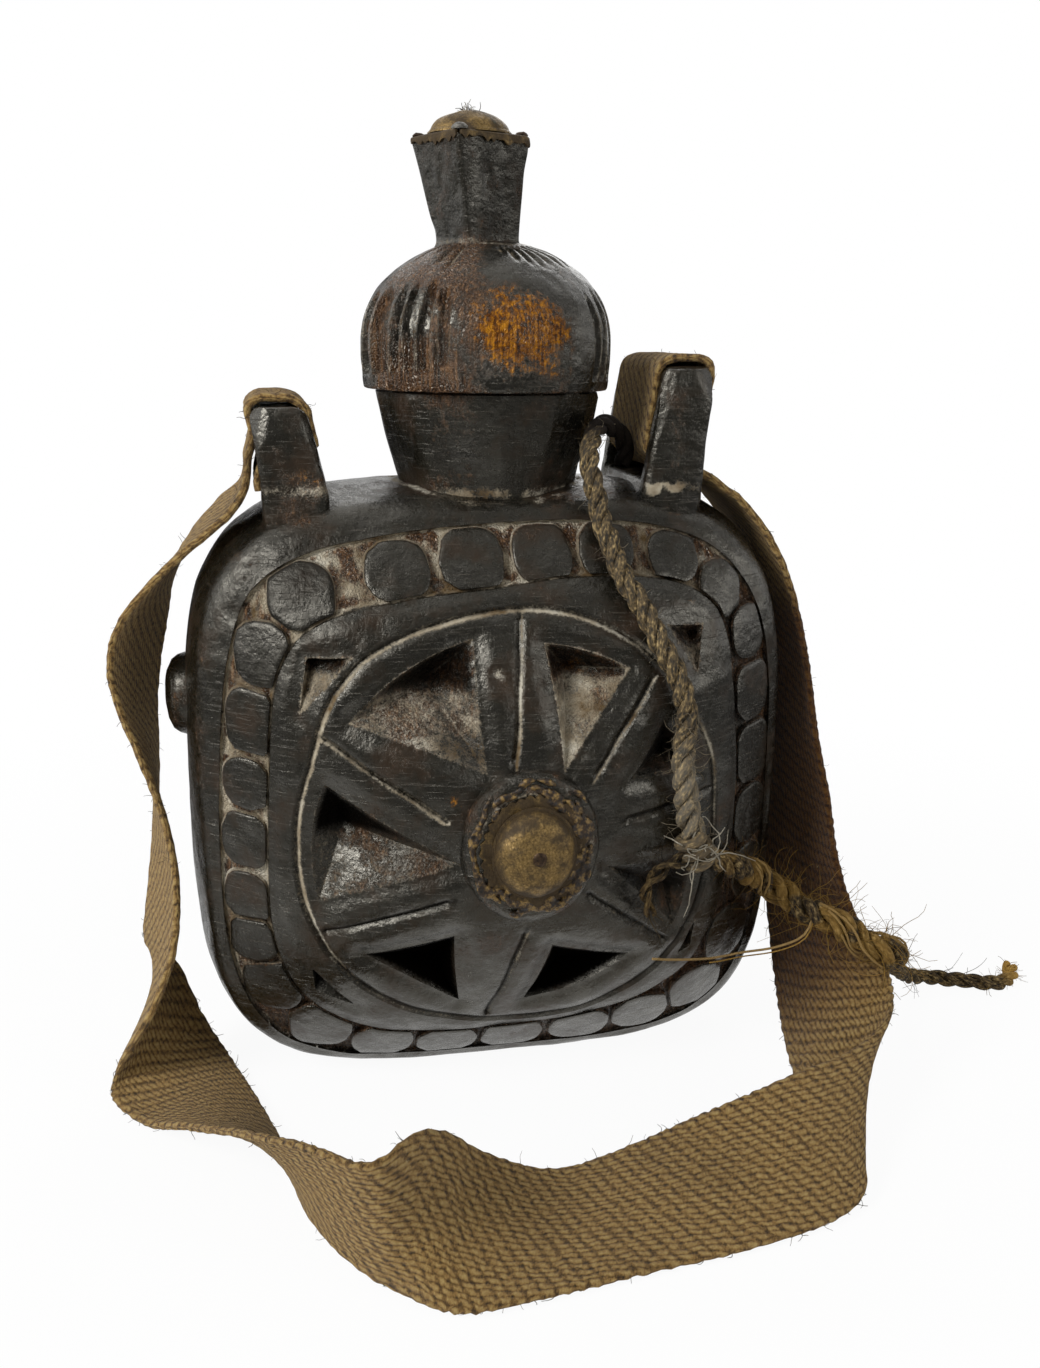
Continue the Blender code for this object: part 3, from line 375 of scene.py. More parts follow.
def face_share(x, z):
    """How far a point lies from the middle of the face to its arris, from 0 to 1."""
    return (np.abs(x / EDGE_HALF) ** 4 + np.abs((z - BODY_CENTRE_Z) / EDGE_HALF) ** 4) ** 0.25


def face_y(x, z):
    """The domed front before anything is carved in it."""
    return -(WALL_HALF_DEPTH + FACE_RISE * (1 - np.minimum(face_share(x, z), 1.0) ** FACE_POWER))


def outline(turns, half):
    """The rounded square at this half size."""
    c, s = np.cos(turns), np.sin(turns)
    radius = half * (c**4 + s**4) ** -0.25
    return radius * c, BODY_CENTRE_Z + radius * s


# Stage


class FlaskStage(bpy.types.PropertyGroup):
    """Camera and light of the plain studio."""

    lens: FloatProperty(name="Lens", description="Focal length over the frame's height", default=34.21)
    turn: angle_setting("Camera turn", "How far the camera stands round to the left", -11.56)
    tilt: angle_setting("Camera tilt", "How far it looks down", 15.07)
    roll: angle_setting("Camera roll", "How far it leans", 0.67)
    eye: FloatVectorProperty(
        name="Camera place", description="Where the camera stands", default=(-0.0744, -0.4238, 0.2433),
        subtype="TRANSLATION", unit="LENGTH",
    )
    key: FloatProperty(
        name="Key light", description="Power of the upper left softbox", default=10.0, unit="POWER",
    )
    fill: FloatProperty(
        name="Fill light", description="Power of the right softbox", default=2.4, unit="POWER",
    )
    ambient: FloatProperty(name="Ambient", description="Light from all round", default=0.34)
    front: FloatProperty(
        name="Dim front", description="What the gloss mirrors from the studio's front", default=0.17,
    )


def white_studio_sweep():
    """White studio sweep: flat and matt. The camera sees it near white, with the object's shadow on it."""
    material, add, shader = new_material("white_studio_sweep")
    path = add("LightPath")
    glossy = path.outputs["Is Glossy Ray"]
    seen = add("Math", {0: path.outputs["Is Camera Ray"], 1: glossy}, operation="MAXIMUM")
    seen = add("Math", {0: seen, 1: path.outputs["Is Transmission Ray"]}, operation="MAXIMUM")
    away = add("VectorMath", {0: add("TexCoord").outputs["Object"]}, operation="LENGTH")
    far = add("MapRange", {"Value": away, "From Min": 0.11, "From Max": 0.45})
    # Far out the sweep melts into the white behind it, and the gloss mirrors it dark
    dimmed = add("Math", {0: far, 1: glossy}, operation="MULTIPLY")
    level = add("MapRange", {"Value": dimmed, "To Min": 1.0, "To Max": 0.12})
    glow = add("Emission", {"Color": (1.0, 1.0, 1.0, 1.0), "Strength": level})
    share = add("MapRange", {"Value": far, "To Min": 0.94, "To Max": 1.0})
    share = add("Math", {0: seen, 1: share}, operation="MULTIPLY")
    mixed = add("MixShader", {0: share, 1: shader, 2: glow})
    set_sockets(material.node_tree.nodes["Material Output"], {"Surface": mixed})
    set_sockets(shader, {"Base Color": "f4f4f2", "Roughness": 0.9, "Specular IOR Level": 0.1})
    return material


class FLASK_OT_stage(bpy.types.Operator):
    """Sets up the camera, the white sweep and the softboxes"""

    bl_idname = "flask.stage"
    bl_label = "Stage"

    def execute(self, context):
        sizes = context.scene.flask_stage
        t, a, r = sizes.tilt, sizes.turn, sizes.roll
        ahead = Vector((-math.sin(a) * math.cos(t), math.cos(a) * math.cos(t), -math.sin(t)))
        right = Vector((math.cos(a), math.sin(a), 0))
        up = right.cross(ahead)
        right, up = right * math.cos(r) + up * math.sin(r), up * math.cos(r) - right * math.sin(r)
        camera = bpy.data.objects.new("camera", bpy.data.cameras.new("camera"))
        camera.data.sensor_fit = "VERTICAL"
        camera.data.sensor_height = 36.0
        camera.data.lens = sizes.lens
        camera.data.clip_start = 0.01
        axes = Matrix((right, up, -ahead)).transposed()
        camera.matrix_world = Matrix.Translation(sizes.eye) @ axes.to_4x4()
        context.scene.collection.objects.link(camera)
        context.scene.camera = camera
        start_new()
        bpy.ops.mesh.primitive_plane_add(size=12.0)
        floor = context.object
        floor.name = "studio_floor"
        dress(floor, "white_studio_sweep")
        for name, power, size, place in (
            ("key_light", sizes.key, 0.4, (-0.88, -0.48, 0.75)),
            ("fill_light", sizes.fill, 0.35, (0.9, -0.7, 0.5)),
            ("back_light", sizes.fill, 0.5, (0.3, 0.9, 0.8)),
        ):
            light = bpy.data.lights.new(name, "AREA")
            light.energy = power
            light.size = size
            lamp = bpy.data.objects.new(name, light)
            lamp.matrix_world = Matrix.Translation(place) @ (
                (Vector((0, 0, 0.1)) - Vector(place)).to_track_quat("-Z", "Y").to_matrix().to_4x4()
            )
            context.scene.collection.objects.link(lamp)
        world = bpy.data.worlds.new("white_studio")
        context.scene.world = world
        world.use_nodes = True
        world.node_tree.nodes.clear()
        add = partial(add_node, world.node_tree)
        path = add("LightPath")
        seen = add(
            "Math", {0: path.outputs["Is Camera Ray"], 1: path.outputs["Is Transmission Ray"]},
            operation="MAXIMUM",
        )
        # The gloss mirrors a dim, uneven front, a bright left side and a half-lit ceiling
        sky = add("TexCoord").outputs["Generated"]
        x, y, z = add("SeparateXYZ", {0: sky}).outputs
        front = add(
            "MapRange",
            {"Value": y, "From Min": -0.7, "From Max": 0.2, "To Min": sizes.front, "To Max": 0.8},
        )
        left = add("MapRange", {"Value": x, "From Min": -0.45, "From Max": -0.85})
        above = add("MapRange", {"Value": z, "From Min": 0.5, "From Max": 0.95, "To Max": 0.14})
        lit = add("Math", {0: left, 1: above}, operation="MAXIMUM")
        mirrored = add("Mix", {0: lit, 2: front, 3: 1.0}, data_type="FLOAT")
        room = add("TexNoise", {"Vector": sky, "Scale": 3.4, "Detail": 2.0})
        room = add(
            "MapRange", {"Value": room, "From Min": 0.42, "From Max": 0.58, "To Min": 0.08, "To Max": 1.9},
        )
        mirrored = add("Math", {0: mirrored, 1: room}, operation="MULTIPLY")
        level = add(
            "Mix", {0: path.outputs["Is Glossy Ray"], 2: sizes.ambient, 3: mirrored}, data_type="FLOAT",
        )
        level = add("Mix", {0: seen, 2: level, 3: 1.0}, data_type="FLOAT")
        light = add("Background", {"Color": (1.0, 1.0, 1.0, 1.0), "Strength": level})
        add("OutputWorld", {"Surface": light})
        context.scene.view_settings.view_transform = "Standard"
        return {"FINISHED"}


# Tether


TETHER_ROUTE = (
    (0.0443, -0.0085, 0.2030), (0.0435, -0.0115, 0.2100), (0.0380, -0.0160, 0.2150),
    (0.0328, -0.0215, 0.2160), (0.0287, -0.0275, 0.2125), (0.0262, -0.0335, 0.2060),
    (0.0270, -0.0360, 0.1995), (0.0283, -0.0368, 0.1940), (0.0290, -0.0395, 0.1885),
    (0.0303, -0.0440, 0.1832), (0.0332, -0.0512, 0.1728), (0.0378, -0.0560, 0.1650),
    (0.0424, -0.0605, 0.1548), (0.0480, -0.0630, 0.1436), (0.0507, -0.0644, 0.1318),
    (0.0497, -0.0655, 0.1187), (0.0512, -0.0651, 0.1087), (0.0533, -0.0642, 0.0985),
    (0.0580, -0.0620, 0.0880), (0.0655, -0.0585, 0.0818), (0.0755, -0.0525, 0.0762),
    (0.0850, -0.0455, 0.0695), (0.0925, -0.0470, 0.0645), (0.0990, -0.0530, 0.0600),
    (0.1070, -0.0595, 0.0580), (0.1145, -0.0620, 0.0530), (0.1212, -0.0650, 0.0490),
    (0.1285, -0.0610, 0.0440), (0.1340, -0.0505, 0.0380), (0.1420, -0.0350, 0.0270),
    (0.1530, -0.0210, 0.0165), (0.1640, -0.0100, 0.0070), (0.1750, -0.0060, 0.0036),
    (0.1870, -0.0110, 0.0035), (0.1980, -0.0150, 0.0035), (0.2060, -0.0115, 0.0035),
    (0.2105, -0.0040, 0.0035),
)
BRANCH_ROUTE = (
    (0.0536, -0.0642, 0.0868), (0.0490, -0.0662, 0.0855), (0.0440, -0.0677, 0.0840),
    (0.0395, -0.0688, 0.0805), (0.0385, -0.0690, 0.0755), (0.0410, -0.0676, 0.0690),
)
# One long straw fibre that droops from the tangle and lies across the border of the face
LONG_FIBRE = (
    (0.1010, -0.0570, 0.0610), (0.0960, -0.0600, 0.0540), (0.0870, -0.0590, 0.0500),
    (0.0760, -0.0560, 0.0475), (0.0640, -0.0600, 0.0485), (0.0500, -0.0655, 0.0520),
    (0.0420, -0.0675, 0.0540),
)
KNOT = 0.0555, -0.0640, 0.0890
# Where the tether changes, as shares of its length from the lug
MATTED, KNOTTED, TANGLED, PARTED = 0.36, 0.44, 0.47, 0.72

GOLD = (1.0, 0.0, 0.0)
PALE = (0.0, 1.0, 0.0)
DIRTY = (0.0, 0.0, 1.0)
PLAIN = (0.0, 0.0, 0.0)


class FlaskTether(bpy.types.PropertyGroup):
    """The jute cord that hangs from the right lug."""

    diameter: length_setting("Diameter", "Across the laid cord", 0.0065)
    lay: length_setting("Lay", "Length of one full turn of its strands", 0.0195)
    hairs: IntProperty(name="Hairs", description="Loose fibres along the cord", default=420)
    colour: colour_setting("Jute", "Colour of clean jute fibre", "6e5a38")


def jute_fibre():
    """Jute, spun and laid by hand: matt brown fibres with painted shade in their gaps, darker where it is
    dirty and where painted shade lies near the lug, straw gold where the ends have opened and nearly white
    in the cotton thread of the knot."""
    material, add, shader = new_material("jute_fibre")
    gold, pale, dirt_and_shade = add("SeparateColor", {0: add("Attribute", attribute_name="finish")}).outputs
    place = add("TexCoord").outputs["Object"]
    # One strand shows about 11 fibres round it, 1 mm wide at the cord's slant
    lengthways = add("Mapping", {0: add("UVMap", uv_map="surface"), 3: (11.0, 0.55, 1.0)})
    fibres = add("TexNoise", {"Vector": lengthways, "Scale": 1.0, "Detail": 3.0, "Roughness": 0.6})
    patches = add("TexNoise", {"Vector": place, "Scale": 160.0, "Detail": 3.0})
    base = bpy.context.scene.flask_tether.colour
    # Painted shade: the fibres' colour falls to nearly black where their relief lies low
    tone = add(
        "ValToRGB", {0: fibres},
        [(0.38, "120d07"), (0.47, "4a3b21"), (0.55, tuple(base)), (0.66, "b59d6c")],
    )
    stain = add("ValToRGB", {0: patches}, [(0.4, (0.45, 0.42, 0.4, 1)), (0.6, (1, 1, 1, 1))])
    tone = add("Mix", {0: 0.8, 6: tone, 7: stain}, data_type="RGBA", blend_type="MULTIPLY")
    gilded = add("Mix", {0: fibres, 6: "7b5216", 7: "e0b45a"}, data_type="RGBA")
    tone = add("Mix", {0: gold, 6: tone, 7: gilded}, data_type="RGBA")
    tone = add("Mix", {0: pale, 6: tone, 7: "c9c0ac"}, data_type="RGBA")
    tone = add("Mix", {0: dirt_and_shade, 6: tone, 7: "1c140d"}, data_type="RGBA")
    bump = add("Bump", {"Height": fibres, "Strength": 1.0, "Distance": 0.001})
    set_sockets(shader, {"Base Color": tone, "Roughness": 0.82, "Specular IOR Level": 0.3, "Normal": bump})
    return material


def laid_strands(store, path, radius, lay, strands, swell, loosen, tints, seed):
    """Strands twisted round a path; swell thickens them and loosen lets them wander, along its length."""
    _, first, second = axes_along(path)
    along = run_along(path)
    thickness = radius / (1 + 1 / math.sin(math.pi / strands)) if strands > 1 else radius
    thickness *= 1 if strands == 1 else 1 / math.sin(math.pi / strands)
    for strand in range(strands):
        rough = waves(along[:, None], 0.006, seed + strand)
        turn = 2 * math.pi * (along / lay + strand / strands)
        turn = turn + 0.5 * loosen * waves(along[:, None], 0.011, seed + 40 + strand)
        wander_out = 1 + loosen * (0.55 + 0.7 * waves(along[:, None], 0.008, seed + 20 + strand))
        reach = (radius - thickness * 0.9) * swell * wander_out
        centre = path + around(first, second, turn) * reach[:, None]
        store.tube(centre, thickness * swell * (1 + 0.09 * rough), 10, PLAIN)
        store.tints[-1][:, :3] = np.repeat(tints, 10, axis=0)


def hair(store, start, heading, length, curl, radius, tint, draw):
    """One loose fibre that leaves at its heading and curls."""
    place, heading = np.array(start, float), unit(np.array(heading, float))
    bend = draw.normal(size=3) * curl
    path = [place]
    for _ in range(HAIR_STEPS):
        bend = bend * 0.8 + draw.normal(size=3) * curl * 0.5
        heading = unit(heading + bend)
        place = place + heading * (length / HAIR_STEPS)
        place[2] = max(place[2], FLOOR_GAP)
        path.append(place)
    store.tube(np.array(path), radius * np.linspace(1.0, 0.55, HAIR_STEPS + 1), 3, tint)


def fringe(store, path, share, count, reach, radius, tint, seed, curl=0.35, along_share=0.6):
    """Hairs spread over a stretch of the cord, from its surface outwards and partly along it."""
    draw = np.random.default_rng(seed)
    tangents, first, second = axes_along(path)
    low, high = int(share[0] * (len(path) - 1)), int(share[1] * (len(path) - 1))
    for _ in range(count):
        i = int(draw.integers(low, max(high, low + 1)))
        turn = draw.uniform(0, 2 * math.pi)
        out = first[i] * math.cos(turn) + second[i] * math.sin(turn)
        heading = out * (1 - along_share) + tangents[i] * along_share * draw.choice((-1, 1))
        heading = heading + draw.normal(size=3) * 0.15
        start = path[i] + out * radius * 0.85
        length, thick = draw.uniform(*reach), draw.uniform(8e-5, 1.6e-4)
        hair(store, start, heading, length, curl, thick, tint, draw)


def tether_cord(path, sizes):
    """The laid cord: matted above the knot, tangled below it and parted to its end."""
    radius = sizes.diameter / 2
    share = np.linspace(0, 1, len(path))
    above_knot = 1 - smooth_step(KNOTTED, KNOTTED + 0.02, share)
    matted = smooth_step(MATTED - 0.04, MATTED + 0.02, share) * above_knot
    whole = 1 - smooth_step(PARTED - 0.05, PARTED, share)
    tangled = smooth_step(TANGLED - 0.02, TANGLED + 0.04, share) * whole
    parted = smooth_step(PARTED - 0.02, PARTED + 0.03, share)
    swell = 0.9 + 0.1 * smooth_step(0.05, 0.2, share) + 0.08 * matted + 0.1 * tangled - 0.2 * parted
    golden = 0.55 * tangled * (waves(share[:, None], 0.03, 5) > -0.1) + smooth_step(0.955, 0.985, share)
    pale = 0.22 * matted + 0.05 * (1 - smooth_step(0.3, 0.4, share))
    # Painted shade on the first stretch, where the cord arches out of the lug's slot, and dirt in the
    # tangle
    dirt_and_shade = 1.3 * (1 - smooth_step(0.06, 0.1, share)) + 0.3 * tangled
    tints = np.column_stack([np.clip(golden, 0, 1), pale, dirt_and_shade])
    cord = MeshStore()
    loosen = 0.1 + 0.25 * matted + 0.75 * tangled + 0.2 * parted
    laid_strands(cord, path, radius, sizes.lay, 3, swell, loosen, tints, 3)
    return belongs(cord.make("jute_tether", "jute_fibre"), "flask", "jute", "tether_cord")


def tether_branch(radius):
    """The short frayed end below the knot."""
    branch = MeshStore()
    path = spline(BRANCH_ROUTE, 0.0006)
    fade = np.linspace(0, 1, len(path))
    swell = 0.85 - 0.3 * fade
    tints = np.column_stack([0.2 * fade, 0 * fade, 0.65 - 0.3 * fade])
    laid_strands(branch, path, radius * 0.85, 0.016, 2, swell, 0.5 + 0 * fade, tints, 61)
    fringe(branch, path, (0.1, 1.0), 60, (0.004, 0.009), radius * 0.6, DIRTY, 62)
    fringe(branch, path, (0.9, 1.0), 26, (0.004, 0.009), radius * 0.4, PLAIN, 63, 0.2, 0.9)
    return belongs(branch.make("tether_branch_end", "jute_fibre"), "flask", "jute", "tether_branch")


def tether_knot():
    """The coil of the knot, with pale cotton ends."""
    knot = MeshStore()
    turn = np.linspace(0, 2.35 * 2 * math.pi, 120)
    route = np.array(TETHER_ROUTE[16:19])  # the three places next to the knot
    ahead = unit(route[2] - route[1])
    _, first, second = axes_along(route)
    coil = np.array(KNOT) + (
        np.cos(turn)[:, None] * first[1] * 0.0038 + np.sin(turn)[:, None] * second[1] * 0.0038
        + (turn / turn[-1] - 0.5)[:, None] * ahead * 0.0105
    )
    knot.tube(coil, 0.0019 * (1 + 0.12 * waves(turn[:, None], 1.4, 71)), 10, (0.1, 0.15, 0.35))
    draw = np.random.default_rng(72)
    for _ in range(15):
        heading = np.array((draw.normal(), -1.3 + 0.4 * draw.normal(), draw.normal()))
        start = np.array(KNOT) + unit(heading) * 0.004 + (draw.normal(size=3) * 0.0018)
        hair(knot, start, heading, draw.uniform(0.009, 0.019), 0.75, 0.00028, PALE, draw)
    return belongs(knot.make("tether_knot", "jute_fibre"), "flask", "jute")


def tether_fibres(path, sizes):
    """Loose fibres along the cord, open loops in its tangle and one long fibre."""
    radius = sizes.diameter / 2
    fluff = MeshStore()
    for stretch, part, reach, size, tint, seed, curl, lean in (
        ((0.02, MATTED), 4, (0.003, 0.006), 1, (0.1, 0.35, 0.0), 81, 0.3, 0.8),
        ((MATTED - 0.04, KNOTTED), 3, (0.004, 0.009), 1.15, (0.25, 0.45, 0.0), 82, 0.5, 0.75),
        ((TANGLED, PARTED - 0.03), 3, (0.005, 0.012), 1.2, (0.45, 0.0, 0.3), 83, 0.45, 0.7),
        ((0.53, 0.68), 3, (0.009, 0.021), 1.3, GOLD, 84, 0.6, 0.6),
        ((PARTED, 0.93), 8, (0.006, 0.016), 0.8, PLAIN, 85, 0.12, 0.93),
        ((0.95, 1.0), 6, (0.004, 0.0085), 0.5, GOLD, 86, 0.3, 0.9),
    ):
        fringe(fluff, path, stretch, sizes.hairs // part, reach, radius * size, tint, seed, curl, lean)
    draw = np.random.default_rng(87)
    _, first, second = axes_along(path)
    for _ in range(9):
        low = draw.uniform(0.5, 0.66)
        stretch = path[int(low * len(path)) : int((low + draw.uniform(0.05, 0.1)) * len(path))]
        i = int(low * len(path))
        turn = np.linspace(0, draw.uniform(2.5, 5.5), len(stretch)) + draw.uniform(0, 6)
        bulge = 0.9 * np.sin(np.linspace(0.25, math.pi - 0.1, len(stretch)))
        reach = radius * (1.15 + bulge * draw.uniform(0.4, 1.0))
        near = slice(i, i + len(stretch))
        loop = stretch + around(first[near], second[near], turn) * reach[:, None]
        fluff.tube(loop[::3], 0.00042, 5, (0.75, 0.1, 0.0))
    long_fibre = spline(LONG_FIBRE, 0.003)
    fluff.tube(long_fibre, 0.00042, 5, (0.8, 0.15, 0.0))
    fluff.tube(long_fibre[: len(long_fibre) * 2 // 3] + (0.0, -0.0006, -0.0012), 0.00026, 4, GOLD)
    return belongs(fluff.make("tether_fibres", "jute_fibre"), "flask", "jute")


class FLASK_OT_tether(bpy.types.Operator):
    """Lays the jute tether with its knot, branch and loose fibres"""

    bl_idname = "flask.tether"
    bl_label = "Tether"

    def execute(self, context):
        sizes = context.scene.flask_tether
        path = spline(TETHER_ROUTE, 0.0008)
        cord = tether_cord(path, sizes)
        branch, knot, fluff = tether_branch(sizes.diameter / 2), tether_knot(), tether_fibres(path, sizes)
        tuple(TETHER_ROUTE[0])
        [tuple(point) for point in spline(TETHER_ROUTE, 0.003)]
        return {"FINISHED"}


# Shoulder strap


# The two edges of the strap in millimetres, front edge first, from the left lug to the right lug. Its two
# ends lie straight across their lugs, so that x and z are enough there.
STRAP_LEFT_END = (
    (-73.4, 196.5), (-73.6, 200), (-72.3, 204.5), (-69.7, 207.7), (-64.6, 209.1), (-59.6, 209.1),
    (-56.4, 209.9), (-56.9, 213.6), (-57.7, 217.3), (-58.7, 221.1), (-63.1, 223.9), (-67.9, 224.1),
    (-72.6, 223.9), (-75.8, 221.1), (-75.1, 217.3), (-74.3, 213.6), (-75, 211), (-76.5, 205),
    (-76.8, 200.5), (-78.9, 194.5),
)
STRAP_RIGHT_END = (
    (75.5, 195.2), (70.5, 199), (66.6, 200.8), (62.3, 201.3), (57.3, 201.8), (53.1, 203.5), (50.3, 206.2),
    (48.4, 209.1), (48.8, 213.6), (50.2, 223.6), (51.8, 233.6), (55.9, 236.4), (60.7, 236.6), (65.5, 236.4),
    (68.8, 233.6), (67.6, 223.6), (66.2, 213.6), (65.9, 209.1), (65.7, 204.5),
)
STRAP_COURSE = (
    (-84, -21, 188, -85, 22, 189.5), (-95, -19.5, 179, -95.5, 23.5, 177.5),
    (-106, -18.5, 169, -103, 24, 164), (-117, -17, 156, -106, 24, 150), (-121, -16.5, 143, -109, 24, 136),
    (-119, -17, 129, -111.5, 23.5, 119), (-113, -19, 112, -112, 22, 101), (-107, -22, 93, -113, 18, 79),
    (-104, -26, 73, -115.5, 12, 57), (-106, -30, 52, -118, 7, 40), (-114, -31, 32, -115, 8, 33),
    (-125, -29, 12, -108, 5, 30), (-127, -35, 3.5, -99, -4, 12), (-116, -50, 3, -91, -16, 3.5),
    (-101, -73, 15, -83, -38, 2.2), (-89, -96, 27, -76, -64, 2), (-79, -112, 35, -71, -86, 2),
    (-71, -123, 39, -67, -103, 2), (-63, -133, 41, -61, -117, 2), (-56, -140, 42.5, -55, -127, 2),
    (-49, -140, 44, -49, -135, 2), (-41, -131, 42, -43, -141, 2), (-32, -121, 36, -37, -146, 2),
    (-20, -113, 23, -28, -149, 2), (2, -106, 10, -8, -147, 2), (27, -102, 12, 20, -143, 2),
    (51, -100, 19, 50, -139, 2), (78, -96, 25, 79, -132, 2.5), (102, -86, 26, 92, -122, 4),
    (119, -76, 27, 93, -103, 6), (126, -67, 32, 91, -76, 9), (124, -60, 42, 96, -50, 12),
    (118, -50, 56, 101, -27, 24), (115, -41, 74, 104, -9, 47), (111, -33, 101, 105.5, 5, 82),
    (107, -25, 133, 105.5, 15, 118), (101, -21, 160, 100, 21, 156), (92.5, -21, 178, 92.5, 21.5, 177.5),
    (81.5, -21.5, 191, 82, 21.5, 191),
)


MAP_WIDTH = 43.0  # the webbing's width on its map, in millimetres
SHADED = (615, 660, 770, 800)  # where shade begins and ends along the strap, in millimetres
EDGE_HAIRS, FACE_HAIRS = 520, 420
WEAVE_COLUMNS = 30  # points across the webbing


class FlaskStrap(bpy.types.PropertyGroup):
    """The woven shoulder strap."""

    width: length_setting("Width", "Across the webbing", 0.043)
    thickness: length_setting("Thickness", "Through one layer of webbing", 0.0022)
    rib: length_setting("Rib", "Spacing of the ribs of the weave", 0.0017)
    colour: colour_setting("Webbing", "Colour of the clean yarn", "9c7a44")


def jute_webbing():
    """Jute webbing, coarse broken twill of hand-spun yarn: matt khaki with painted shade in the gaps
    between its ribs, grey-brown where it is soiled and painted browner where it hangs in shade."""
    material, add, shader = new_material("jute_webbing")
    soil, shade, _ = add("SeparateColor", {0: add("Attribute", attribute_name="finish")}).outputs
    surface = add("UVMap", uv_map="surface")
    place = add("TexCoord").outputs["Object"]
    # The map is in millimetres: ribs lie 1.7 mm apart, a little askew, and slanting yarns 4.8 mm apart
    uneven = add("TexNoise", {"Vector": surface, "Scale": 0.16, "Detail": 2.0})
    across, along, _ = add("SeparateXYZ", {0: surface}).outputs
    rib = bpy.context.scene.flask_strap.rib / MM
    drift = add("Math", {0: uneven, 1: 3.0, 2: across}, operation="MULTIPLY_ADD")
    askew = add("Math", {0: along, 1: 0.16, 2: drift}, operation="MULTIPLY_ADD")
    phase = add("Math", {0: askew, 1: 1 / rib}, operation="MULTIPLY")
    number = add("Math", {0: phase}, operation="FLOOR")
    within = add("Math", {0: phase}, operation="FRACT")
    hump = add("Math", {0: within, 1: math.pi}, operation="MULTIPLY")
    hump = add("Math", {0: hump}, operation="SINE")
    slant = add("Math", {0: within, 1: 1.3, 2: along}, operation="MULTIPLY_ADD")
    stagger = add("Math", {0: number, 1: 1.37, 2: slant}, operation="MULTIPLY_ADD")
    loose = add("TexNoise", {"Vector": surface, "Scale": 0.9, "Detail": 2.0})
    stagger = add("Math", {0: loose, 1: 2.6, 2: stagger}, operation="MULTIPLY_ADD")
    stitch = add("Math", {0: stagger, 1: 2 * math.pi / 4.8}, operation="MULTIPLY")
    stitch = add("Math", {0: stitch}, operation="SINE")
    stitch = add("MapRange", {"Value": stitch, "From Min": -1.0, "From Max": 0.2, "To Min": 0.5})
    hump = add("MapRange", {"Value": hump, "To Min": 0.4})
    yarn = add("Math", {0: hump, 1: stitch}, operation="MULTIPLY")
    # Fibres half a millimetre wide stand out of the yarn, and some yarns are thicker than others
    fuzz = add("TexNoise", {"Vector": surface, "Scale": 2.4, "Detail": 4.0, "Roughness": 0.8})
    lumps = add("TexNoise", {"Vector": surface, "Scale": 0.75, "Detail": 2.0})
    height = add("Math", {0: fuzz, 1: 1.5, 2: yarn}, operation="MULTIPLY_ADD")
    height = add("Math", {0: lumps, 1: 1.3, 2: height}, operation="MULTIPLY_ADD")
    # Painted shade: the colour darkens where the weave lies low, between ribs and stitches, and lightens on
    # its crowns
    lit = add("MapRange", {"Value": height, "From Min": 1.2, "From Max": 2.65})
    base = bpy.context.scene.flask_strap.colour
    tone = add(
        "ValToRGB", {0: lit},
        [(0.12, "241a0d"), (0.36, "644b28"), (0.6, tuple(base)), (0.95, "c0a468")],
    )
    cloud = add("TexNoise", {"Vector": place, "Scale": 26.0, "Detail": 5.0, "Roughness": 0.6})
    soil = add("Math", {0: cloud, 1: soil}, operation="ADD")
    soil = add(
        "MapRange", {"Value": soil, "From Min": 0.5, "From Max": 1.0}, interpolation_type="SMOOTHSTEP",
    )
    soiled = add("Mix", {0: 1.0, 6: tone, 7: "918b7c"}, data_type="RGBA", blend_type="MULTIPLY")
    tone = add("Mix", {0: soil, 6: tone, 7: soiled}, data_type="RGBA")
    browned = add("Mix", {0: 1.0, 6: tone, 7: "a08460"}, data_type="RGBA", blend_type="MULTIPLY")
    tone = add("Mix", {0: shade, 6: tone, 7: browned}, data_type="RGBA")
    specks = add("TexNoise", {"Vector": surface, "Scale": 0.35, "Detail": 3.0, "Roughness": 0.8})
    specks = add("MapRange", {"Value": specks, "From Min": 0.68, "From Max": 0.76})
    tone = add("Mix", {0: specks, 6: tone, 7: "c3ad7c"}, data_type="RGBA")
    bump = add("Bump", {"Height": height, "Strength": 0.9, "Distance": 0.0006})
    set_sockets(shader, {
        "Base Color": tone, "Roughness": 0.92, "Specular IOR Level": 0.25, "Sheen Weight": 0.12,
        "Normal": bump,
    })
    return material


def strap_points(first, second, across, out, run, half):
    """Both faces of the webbing, row by row, and where each column lies across it."""
    share = np.concatenate([[0.0, 0.012], np.linspace(0.03, 0.97, WEAVE_COLUMNS - 4), [0.988, 1.0]])
    knobs = [0.0005 * waves(run[:, None], 2.1, seed) + 0.0002 for seed in (201, 202)]
    round_edge = np.sqrt(np.clip(1 - ((np.abs(share - 0.5) - 0.475).clip(0) / 0.026) ** 2, 0.0, 1))
    selvage = 1 + 0.16 * bell(np.abs(share - 0.5) - 0.465, 0.018)
    # Between its lugs nothing holds the strap flat
    free = smooth_step(120, 170, run) * (1 - smooth_step(run[-1] - 170, run[-1] - 130, run))
    grid = np.empty((2, len(run), WEAVE_COLUMNS, 3))
    for column, t in enumerate(share):
        line = second * (1 - t) + first * t
        if t < 0.1 or t > 0.9:
            knob = knobs[1] * smooth_step(0.9, 1, t) - knobs[0] * smooth_step(0.1, 0, t)
            line = line + across * knob[:, None]
        place = np.column_stack([run, np.full(len(run), t * MAP_WIDTH)])
        lump = 0.00022 * waves(place, 3.4, 203) + 0.0006 * free * waves(place, 26.0, 204)
        for layer, side in enumerate((-1, 1)):
            lift = half * round_edge[column] * selvage[column] * side + lump
            grid[layer, :, column] = line + out * lift[:, None]
    points = grid.reshape(-1, 3)
    points[:, 2] = np.maximum(points[:, 2], FLOOR_GAP)
    return points, share


